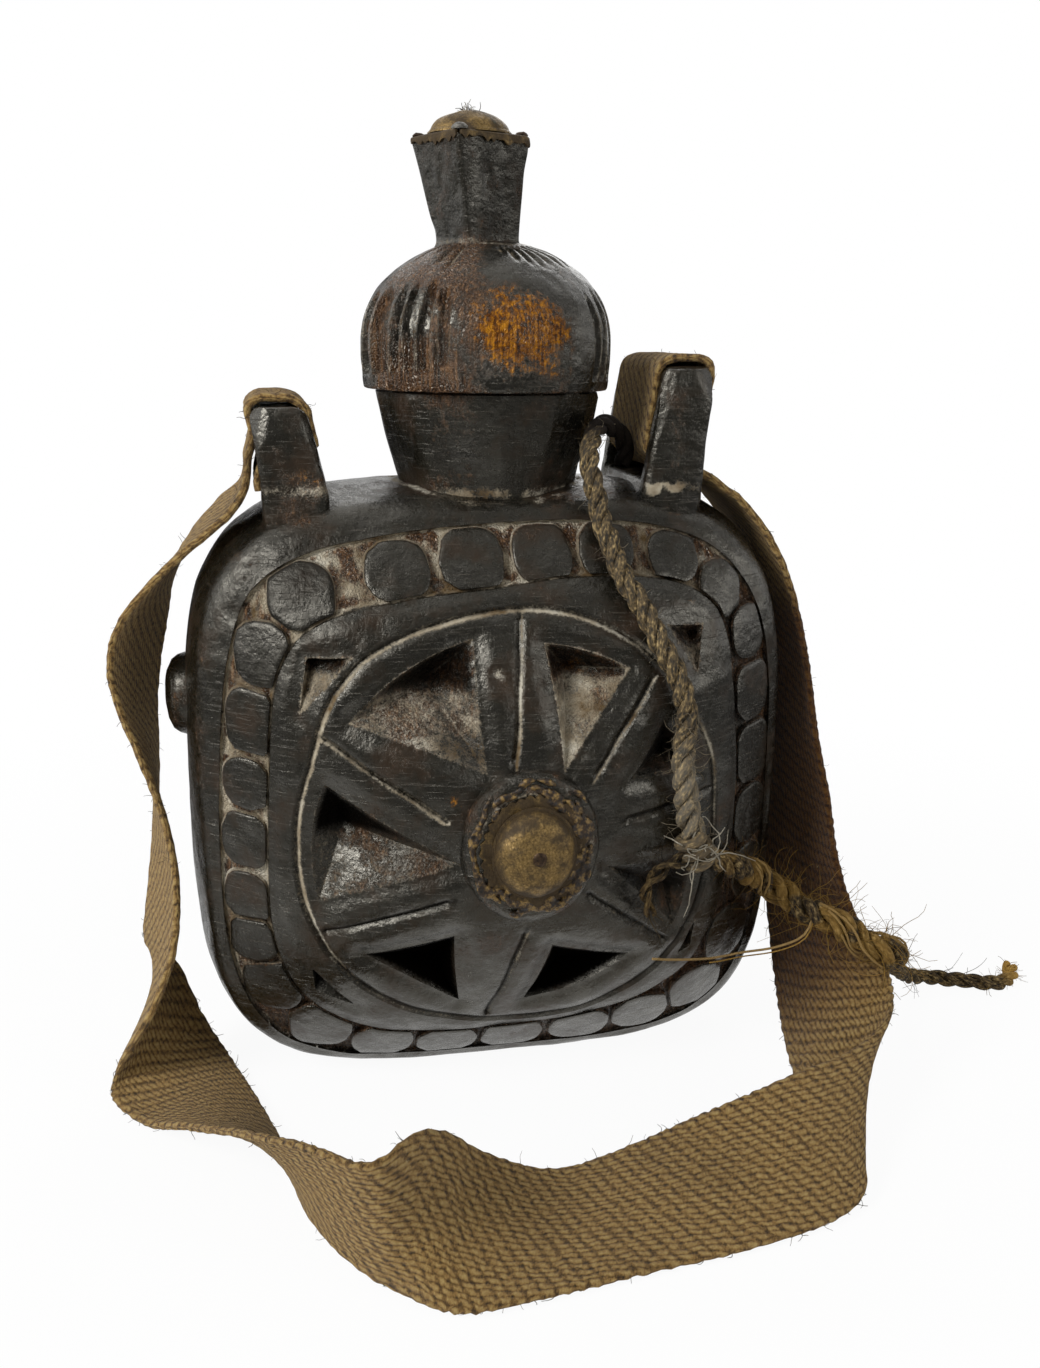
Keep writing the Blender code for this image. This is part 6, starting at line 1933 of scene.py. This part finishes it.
def hub_nail():
    profile = [
        (0.0, 0.0009), (0.0011, 0.0008), (0.0019, 0.0005), (0.0023, 0.0), (0.0023, -0.0004),
        (0.0009, -0.0006), (0.0009, -0.016), (0.0, -0.0164),
    ]
    nail = lathe("hub_iron_nail", profile, 28)
    points = vertex_array(nail)
    points[:, :2] *= (1 + 0.1 * waves(points[:, :2], 0.004, 431))[:, None]
    points[:, 1] += 0.0009 * (points[:, 2] > -0.0006)
    set_vertex_array(nail, face_front(points, HUB_FRONT_Y - 0.0084))
    clean_shell(nail)
    dress(nail, "blackened_iron", 40)
    belongs(nail, "flask", "dark_iron", "hub_nail")


def hub_resin():
    resin = MeshStore()
    draw = np.random.default_rng(441)
    for low, high, count, reach, spread in (
        (-2.7, -0.3, 60, 0.0166, 0.0017), (1.3, 3.9, 34, 0.0186, 0.0012), (-0.5, 1.3, 52, 0.0164, 0.0017),
    ):
        for turn in np.linspace(low, high, count) + draw.normal(size=count) * 0.05:
            bend = np.linspace(turn - 0.1 - draw.uniform(0, 0.12), turn + 0.12, 9)
            radius = reach + draw.normal() * spread + 0.0005 * np.sin(bend * 9)
            height = np.full(9, 0.0007 * (spread > 0.0015) - 0.0004 + draw.uniform(-0.0004, 0.0004))
            line = np.column_stack([radius * np.cos(bend) * 0.97, radius * np.sin(bend) * 1.08, height])
            swell = np.sin(np.linspace(0.25, math.pi - 0.25, 9))
            resin.tube(face_front(line, HUB_FRONT_Y), draw.uniform(0.0006, 0.0012) * swell, 8)
    resin = resin.make("hub_resin", "brown_resin")
    resin.data.uv_layers.remove(resin.data.uv_layers["surface"])
    apply_modifier(resin, "REMESH", mode="VOXEL", voxel_size=0.00035, use_smooth_shade=True)
    apply_modifier(resin, "SMOOTH", factor=0.5, iterations=2)
    dress(resin, "brown_resin")
    belongs(resin, "flask", "dark_wood")


class FLASK_OT_hub(bpy.types.Operator):
    """Makes the hub: wooden disc, toothed brass washer, hammered dome, nail and the resin round its edge"""

    bl_idname = "flask.hub"
    bl_label = "Hub"

    def execute(self, context):
        sizes = context.scene.flask_brass
        hub_disc()
        hub_washer(sizes)
        hub_dome(sizes.dome)
        hub_nail()
        hub_resin()
        return {"FINISHED"}


# Lid and finial


class FlaskLid(bpy.types.PropertyGroup):
    """The fluted lid, its plug and its finial."""

    radius: length_setting("Lid radius", "At its widest", 0.0403)
    rim_radius: length_setting("Rim radius", "At its lower edge", 0.0392)
    flute_depth: length_setting("Flute depth", "Depth of the side flutes", 0.0021)
    plug_radius: length_setting("Plug radius", "Of the plug in the bore", 0.0146)
    finial_base: length_setting("Finial base", "Side of the square column at its foot", 0.0183)
    finial_top: length_setting("Finial top", "Side of the square column at its top", 0.027)


# Sunken flutes in the lid's sides: turn and half width in degrees, ends in millimetres above the rim, then
# share of the depth
LID_FLUTES = (
    (241, 2.9, 7, 31, 0.7), (232.5, 3.4, 5, 33, 1.1), (223.8, 3.1, 5, 32, 1.1), (216, 3.1, 4, 31.5, 1.2),
    (204, 7.2, 4, 31, 1.1), (189.5, 5.6, 4, 30, 1.2), (177, 5.4, 4, 31, 1.0), (164, 6, 4, 32, 1.0),
    (150, 6, 4, 31, 1.1), (137, 5, 4, 30, 0.9), (318, 3.2, 3, 30, 0.7), (327, 3.4, 3, 31, 0.9),
    (336.5, 4, 3, 31, 1.0), (347.5, 5, 3, 30, 1.0), (0, 5.6, 4, 31, 1.0), (13.5, 5.8, 4, 32, 1.0),
    (28, 6.2, 4, 31, 1.0), (42, 5.5, 4, 30, 0.9),
)
# Gouges that run down from the finial's foot: turn in degrees, start and end radius in millimetres, depth
LID_GOUGES = (
    (226, 13, 29, 0.9), (236, 13, 31, 1.0), (214, 14, 25, 0.6), (262, 17, 21, 0.7), (268, 16, 22, 0.8),
    (273, 15, 24, 0.9), (281, 14, 28, 1.1), (290, 14, 29, 1.1), (299, 14, 30, 1.0), (308, 14, 29, 0.9),
    (318, 14, 30, 0.9), (330, 14, 29, 0.8), (345, 14, 28, 0.8), (3, 14, 29, 0.8), (22, 14, 28, 0.9),
    (43, 14, 29, 0.8), (66, 14, 28, 0.9), (88, 14, 29, 0.8), (112, 14, 28, 0.8), (136, 14, 29, 0.9),
    (158, 14, 28, 0.8), (181, 14, 27, 0.7), (199, 14, 28, 0.7),
)
# Short splits in the lid's side: turn, height above the rim and half height in millimetres, depth
LID_SPLITS = (
    (238.5, 27, 2.6, 1.6), (226, 17, 6.0, 1.0), (238, 11, 6.0, 0.9), (221, 9, 3.0, 0.8), (250, 4, 2.6, 0.5),
    (199, 2.5, 1.8, 0.6),
)
RUBBED_TURN = math.radians(274)  # the lid's front, where a hand has lain
LID_STEPS = 560  # points round the lid


def lid_radius_at(z, sizes):
    rise = np.clip((z - LID_WIDEST_Z) / (LID_CROWN_Z - LID_WIDEST_Z), 0, 1)
    drop = np.clip((LID_WIDEST_Z - z) / (LID_WIDEST_Z - LID_RIM_Z), 0, 1)
    return sizes.radius * np.sqrt(1 - rise**2) - (sizes.radius - sizes.rim_radius) * drop**2


def turn_gap(turns, middle):
    """Signed angle from a direction, within half a turn."""
    return (turns - middle + math.pi) % (2 * math.pi) - math.pi


def lid_cuts(turns, z, radius, sizes):
    """Depth of the flutes, gouges and splits in the lid, with the dust and wear there."""
    depth = np.zeros(len(z))
    dust = np.zeros(len(z))
    circle = circle_at(turns)
    for turn, half, first, last, amount in LID_FLUTES:
        off = turn_gap(turns, math.radians(turn) + 0.012 * np.sin(z * 150 + turn)) / math.radians(half)
        low, top = LID_RIM_Z + first * MM, LID_RIM_Z + last * MM
        ends = smooth_step(low, low + 0.0012, z) * smooth_step(top, top - 0.003, z + 0.004 * off**2)
        depth += sizes.flute_depth * amount * smooth_step(1.0, 1 - 2.0 / half, np.abs(off)) * ends
        arris = np.exp(-(((np.abs(off) - 1) * half / 0.6) ** 2))
        dust = np.maximum(dust, 0.5 * arris * ends * (turn > 170))
    for turn, first, last, amount in LID_GOUGES:
        off = turn_gap(turns, math.radians(turn)) * radius
        on = smooth_step(first * MM, (first + 2) * MM, radius) * (z > LID_WIDEST_Z)
        on = on * smooth_step(last * MM, (last - 5) * MM, radius)
        depth += 0.0012 * amount * on * bell(off, 0.0009)
        dust = np.maximum(dust, 0.62 * amount * on * bell(off, 0.0006))
    for turn, height, half, amount in LID_SPLITS:
        line = 0.0002 * np.sin(z * 700)
        off = turn_gap(turns, math.radians(turn)) * radius + line
        up = (z - LID_RIM_Z - height * MM) / (half * MM)
        depth += 0.0012 * amount * bell(off, 0.0004) * np.clip(1 - up**2, 0, 1)
    foot = bell(radius - 0.0128, 0.0012) * (z > LID_WIDEST_Z)
    dust = np.maximum(dust, 0.55 * foot)
    patch = smooth_step(math.radians(33), math.radians(15), np.abs(turn_gap(turns, RUBBED_TURN)))
    patch *= smooth_step(0.2265, 0.2325, z) * smooth_step(0.2625, 0.2535, z)
    core = np.exp(-((turn_gap(turns, math.radians(280)) / 0.33) ** 2) - ((z - 0.243) / 0.0115) ** 2)
    edge = waves(circle * 0.04 + np.column_stack([z, z]), 0.011, 501)
    rubbed = patch * (0.34 + 0.62 * core + 0.42 * edge)
    rim = bell(z - LID_RIM_Z, 0.0013)
    return depth, dust, np.clip(rubbed, 0, 1), rim


class FLASK_OT_lid(bpy.types.Operator):
    """Carves the domed lid with its side flutes, top gouges and rubbed front, and turns its plug"""

    bl_idname = "flask.lid"
    bl_label = "Lid"

    def execute(self, context):
        sizes = context.scene.flask_lid
        low = [LID_RIM_Z + 0.0003, LID_RIM_Z + 0.0008]
        side = list(np.arange(LID_RIM_Z + 0.0014, LID_WIDEST_Z, 0.0007))
        dome = [
            LID_WIDEST_Z + (LID_CROWN_Z - LID_WIDEST_Z) * s
            for s in np.sin(np.linspace(0, math.pi / 2, 62))[:-1]
        ]
        heights = np.array(low + side + dome)
        plug = sizes.plug_radius
        foot = PLUG_FOOT_Z + 0.0014
        profile = [(0.0, PLUG_FOOT_Z), (plug - 0.003, PLUG_FOOT_Z), (plug - 0.0013, foot)]
        profile += [
            (plug - 0.0009 * (1 - t), foot + t * (LID_RIM_Z - foot)) for t in np.linspace(0.05, 1, 18)
        ]
        profile += [(r, LID_RIM_Z) for r in np.linspace(plug + 0.001, sizes.rim_radius - 0.0006, 10)]
        profile += [(float(lid_radius_at(z, sizes)), z) for z in heights]
        profile[-len(heights)] = (sizes.rim_radius - 0.0001, heights[0])
        profile.append((0.0, LID_CROWN_Z))
        lid = lathe("carved_lid", profile, LID_STEPS)
        points = vertex_array(lid)
        radius = lengths(points[:, :2])
        turns = np.arctan2(points[:, 1], points[:, 0])
        outside = (points[:, 2] > LID_RIM_Z + 0.0001) & (radius > 0.004)
        depth, dust, rubbed, rim = lid_cuts(turns, points[:, 2], radius, sizes)
        middle = np.array((0, 0, LID_WIDEST_Z))
        inwards = unit((points - middle) * (1, 1, 1.2))
        rough = 0.0003 * waves(points, 0.011, 511) + 0.00018 * waves(points, 0.004, 512)
        plain_front = smooth_step(0.75, 0.3, np.abs(turn_gap(turns, RUBBED_TURN)))
        rough = rough + 0.0004 * plain_front * waves(points, 0.02, 513)
        chips = np.clip(waves(circle_at(turns), 0.09, 514) - 0.45, 0, 1) * rim
        points[outside] -= inwards[outside] * (depth + rough + 0.0003 + 0.004 * chips)[outside, None]
        points[:, 2] = np.where(outside, np.maximum(points[:, 2], LID_RIM_Z), points[:, 2])
        set_vertex_array(lid, points)
        left = smooth_step(0.75, 0.35, np.abs(turn_gap(turns, math.radians(222))))
        wear = 0.3 + 0.3 * waves(points, 0.012, 515) + left * (0.6 + 0.3 * waves(points, 0.006, 516))
        wear = wear + 0.35 * rim + 0.75 * rubbed
        wear = np.where(outside, wear, 0.75)
        tints = tints_of(dust * outside, wear, rubbed * outside)
        finished(lid, tints, "oiled_hardwood", 26, "lid", "dark_wood", "lid")
        return {"FINISHED"}


def finial_middle(z):
    """The column leans to the left."""
    return -0.0026 - 0.0028 * (z - FINIAL_FOOT_Z) / (FINIAL_TOP_Z - FINIAL_FOOT_Z)


def square_ring(side, rounding, per_side):
    """Points round a square whose corners are cut back by this share, turned as the finial stands."""
    t = np.linspace(-1, 1, per_side, endpoint=False)
    edge = np.column_stack([np.ones(per_side), t]) * (1 - rounding * np.abs(t) ** 20)[:, None]
    c, s = math.cos(FINIAL_TURN), math.sin(FINIAL_TURN)
    sides = [edge @ np.array([(c, s), (-s, c)])]
    for _ in range(3):
        sides.append(sides[-1] @ np.array([(0, 1), (-1, 0)]))
    return np.vstack(sides) * side / 2


def finial_side(z, sizes):
    """Side of the column: it narrows quickly above its foot, then widens to its top."""
    t = np.clip((z - 0.268) / (FINIAL_TOP_Z - 0.268), 0, 1)
    foot = 0.0035 * bell(z - 0.2675, 0.0022)
    return sizes.finial_base + (sizes.finial_top - sizes.finial_base) * t**1.05 + foot


def placed_ring(ring, middle, z):
    """A flat ring of points moved to its middle and height."""
    return np.column_stack([ring[:, 0] + middle, ring[:, 1], np.broadcast_to(z, len(ring))])


def finial_column(sizes):
    per_side = 26
    count = per_side * 4
    heights = np.arange(0.2655, FINIAL_TOP_Z - 0.0004, 0.0007)
    store = MeshStore()
    rows = []
    for z in heights:
        ring = square_ring(float(finial_side(z, sizes)), 0.03, per_side)
        rows.append(placed_ring(ring, finial_middle(z), z))
    for shrink, z in ((0.965, FINIAL_TOP_Z - 0.0001), (0.9, FINIAL_TOP_Z), (0.5, FINIAL_TOP_Z)):
        ring = square_ring(sizes.finial_top * shrink, 0.03, per_side)
        rows.append(placed_ring(ring, finial_middle(z), z))
    points = np.vstack(rows)
    middle = np.column_stack([finial_middle(points[:, 2]), 0 * points[:, 0], points[:, 2]])
    out = unit(points - middle)
    dents = np.zeros(len(points))
    draw = np.random.default_rng(521)
    for _ in range(24):
        spot = points[int(draw.integers(0, len(points)))]
        dents += draw.uniform(0.0002, 0.0006) * bell(
            lengths((points - spot) * (1, 1, 0.35)), draw.uniform(0.0008, 0.002),
        )
    near_top = smooth_step(0.2945, 0.2985, points[:, 2])
    dents += 0.0004 * near_top * np.clip(waves(points, 0.003, 522), 0, 1)
    rough = 0.00025 * waves(points, 0.009, 523) + 0.00012 * waves(points * (1, 1, 0.3), 0.003, 524)
    points = points - out * (dents + rough)[:, None]
    faces = [tuple(range(count))[::-1], *ring_faces(range(len(rows)), count)]
    faces.append(tuple(range((len(rows) - 1) * count, len(rows) * count)))
    foot = bell(points[:, 2] - 0.2705, 0.0013)
    wear = 0.3 + 0.3 * waves(points * (1, 1, 0.4), 0.006, 525) + 0.35 * foot
    dust = 0.45 * foot + 0.3 * near_top * (waves(points, 0.003, 526) > 0.35)
    # Painted shade darkens the column's right faces, which are turned from the light
    right = smooth_step(-0.0006, 0.0006, points[:, 0] - middle[:, 0])
    store.add(points, faces, tints_of(dust, wear, 0.15 * foot, 1 - 0.35 * right))
    column = clean_shell(store.make("finial_column", "oiled_hardwood", 34))
    belongs(column, "lid", "dark_wood", "lid")


def finial_plate(sizes):
    per_side = 60
    count = per_side * 4
    perimeter = np.arange(count)
    tooth = np.abs((perimeter / 6.7 + 0.3 * np.sin(perimeter * 0.21)) % 1 - 0.5) * 2
    drop = 0.0012 + 0.0015 * tooth * (0.6 + 0.5 * np.sin(perimeter * 0.37 + 1))
    drop = drop + 0.0004 * np.sin(perimeter * 0.09)
    rows = []
    for layer in (0, 1):
        thick = CAP_SHEET * layer
        outer = sizes.finial_top + 0.0002 + 2 * thick
        for shrink in (0.05, 0.3, 0.55, 0.75, 0.9):
            ring = square_ring(outer * shrink, 0.2, per_side)
            crown = 0.0016 * (1 - shrink**2) + 0.0003 * waves(ring, 0.004, 531)
            rows.append(placed_ring(ring, finial_middle(CAP_Z), CAP_Z + thick + crown))
        for shrink, fall in ((0.975, 0.0), (0.995, 0.0003), (1.0, 0.0008)):
            ring = square_ring(outer * shrink, 0.2, per_side)
            rows.append(placed_ring(ring, finial_middle(CAP_Z), CAP_Z + thick - fall))
        for share in (0.5, 1.0):
            z = CAP_Z - 0.0008 - (drop - 0.0008) * share
            base = square_ring(1.0, 0.2, per_side)
            side = np.array([float(finial_side(value, sizes)) for value in z]) + 0.0004 + 2 * thick
            puff = 1 + 0.012 * share * waves(base, 0.08, 532)
            rows.append(placed_ring(base * side[:, None] * puff[:, None], finial_middle(z), z))
    order = rows[:10] + rows[10:][::-1]
    points = np.vstack(order)
    faces = ring_faces(range(len(order)), count, True)
    faces.append(tuple(range(count)))
    faces.append(tuple(range((len(order) - 1) * count, len(order) * count))[::-1])
    plate = MeshStore()
    plate.add(points, faces, tints_of(0.34 + 0.25 * waves(points, 0.003, 533)))
    plate = clean_shell(plate.make("finial_cap", "tarnished_brass", 35))
    belongs(plate, "lid", "aged_brass", "finial_plate")


def finial_dome(r):
    profile = [(0.0, 0.0066)] + [
        (r * math.cos(a) ** 0.9, 0.0010 + 0.0056 * math.sin(a) ** 1.3)
        for a in np.radians(np.linspace(85, 4, 26))
    ]
    profile += [(r + 0.0005, 0.0006), (r + 0.0009, 0.0002), (r + 0.0009, -0.0002), (0.0, -0.0002)]
    dome = lathe("finial_brass_dome", profile, 110)
    points = vertex_array(dome)
    upper = points[:, 2] > 0.0007
    points[:, 2] += upper * (
        0.0004 * waves(points[:, :2], 0.007, 541) + 0.00015 * waves(points[:, :2], 0.0025, 542)
    )
    tarnish = 0.12 + 0.2 * waves(points, 0.006, 543)
    points += (finial_middle(CAP_Z), 0.0, CAP_Z + CAP_SHEET + 0.0007)
    set_vertex_array(dome, points)
    finished(dome, tints_of(tarnish), "tarnished_brass", 50, "lid", "aged_brass", "finial_dome")


def finial_tacks(sizes):
    reach = sizes.finial_top / math.sqrt(2) - 0.003
    for number in range(4):
        turn = FINIAL_TURN + math.radians(45 + 90 * number)
        profile = [
            (0.0, 0.0013), (0.0007, 0.0012), (0.0012, 0.0008), (0.0015, 0.0002), (0.0014, -0.0002),
            (0.0006, -0.0003), (0.0005, -0.0048), (0.0, -0.0055),
        ]
        tack = lathe(f"finial_tack_head_{number + 1}", profile, 20)
        points = vertex_array(tack)
        head = points[:, 2] > -0.0003
        # The front one sits in a grey lump of solder
        points[head] *= (1.9, 1.7, 1.2) if number == 2 else (1.5, 0.9, 0.8)
        points[head] += 0.0002 * wander(points[head], 0.0015, 545)
        points[head] = points[head] @ np.array(Matrix.Rotation(-turn - 0.6, 3, "Z"))
        points += (
            finial_middle(FINIAL_TOP_Z) + reach * math.cos(turn), reach * math.sin(turn),
            CAP_Z + CAP_SHEET + 0.0004,
        )
        set_vertex_array(tack, points)
        dress(tack, "grey_solder" if number == 2 else "blackened_iron", 40)
        belongs(tack, "lid", "dark_iron", f"finial_tack_{number + 1}")


def finial_thread():
    wisp = MeshStore()
    draw = np.random.default_rng(551)
    crown = np.array((finial_middle(CAP_Z) - 0.001, -0.001, CAP_Z + 0.0074))
    for _ in range(34):
        heading = np.array((draw.normal() - 0.2, draw.normal(), 1.0 + 0.4 * draw.random()))
        tint = PALE if draw.random() < 0.6 else PLAIN
        hair(
            wisp, crown + draw.normal(size=3) * (0.0009, 0.0009, 0.0001), heading,
            draw.uniform(0.0018, 0.0042), 0.55, 0.00016, tint, draw,
        )
    wisp = wisp.make("finial_thread", "jute_fibre")
    belongs(wisp, "lid", "jute")


class FLASK_OT_finial(bpy.types.Operator):
    """Cuts the square finial and caps it with toothed sheet brass, a dome, tacks and a wisp of thread"""

    bl_idname = "flask.finial"
    bl_label = "Finial"

    def execute(self, context):
        sizes = context.scene.flask_lid
        finial_column(sizes)
        finial_plate(sizes)
        finial_dome(context.scene.flask_brass.cap)
        finial_tacks(sizes)
        finial_thread()
        return {"FINISHED"}


FINISHES = {
    finish.__name__: finish
    for finish in (
        white_studio_sweep, jute_fibre, jute_webbing, oiled_hardwood, tarnished_brass, blackened_iron,
        grey_solder, brown_resin,
    )
}
SETTINGS = (
    ("flask_stage", FlaskStage),
    ("flask_tether", FlaskTether),
    ("flask_strap", FlaskStrap),
    ("flask_carving", FlaskCarving),
    ("flask_top", FlaskTop),
    ("flask_brass", FlaskBrass),
    ("flask_lid", FlaskLid),
)
STEPS = (
    FLASK_OT_stage, FLASK_OT_tether, FLASK_OT_body, FLASK_OT_roundels, FLASK_OT_neck, FLASK_OT_lugs,
    FLASK_OT_boss, FLASK_OT_strap, FLASK_OT_hub, FLASK_OT_lid, FLASK_OT_finial,
)


class FLASK_PT_pieces(bpy.types.Panel):
    """Lists the flask's pieces in the order in which they are made"""

    bl_label = "Carved flask"
    bl_idname = "FLASK_PT_pieces"
    bl_space_type = "VIEW_3D"
    bl_region_type = "UI"
    bl_category = "Flask"

    def draw(self, context):
        for name, group in SETTINGS:
            box = self.layout.box()
            box.label(text=group.__doc__)
            for setting in group.__annotations__:
                box.prop(getattr(context.scene, name), setting)
        for step in STEPS:
            self.layout.operator(step.bl_idname)


def register():
    for name, group in SETTINGS:
        bpy.utils.register_class(group)
        setattr(bpy.types.Scene, name, PointerProperty(type=group))
    for step in (*STEPS, FLASK_PT_pieces):
        bpy.utils.register_class(step)


def unregister():
    for step in (FLASK_PT_pieces, *STEPS[::-1]):
        bpy.utils.unregister_class(step)
    for name, group in SETTINGS[::-1]:
        delattr(bpy.types.Scene, name)
        bpy.utils.unregister_class(group)


def main():
    register()
    for step in STEPS:
        family, name = step.bl_idname.split(".")
        getattr(getattr(bpy.ops, family), name)()


if __name__ == "__main__":
    main()
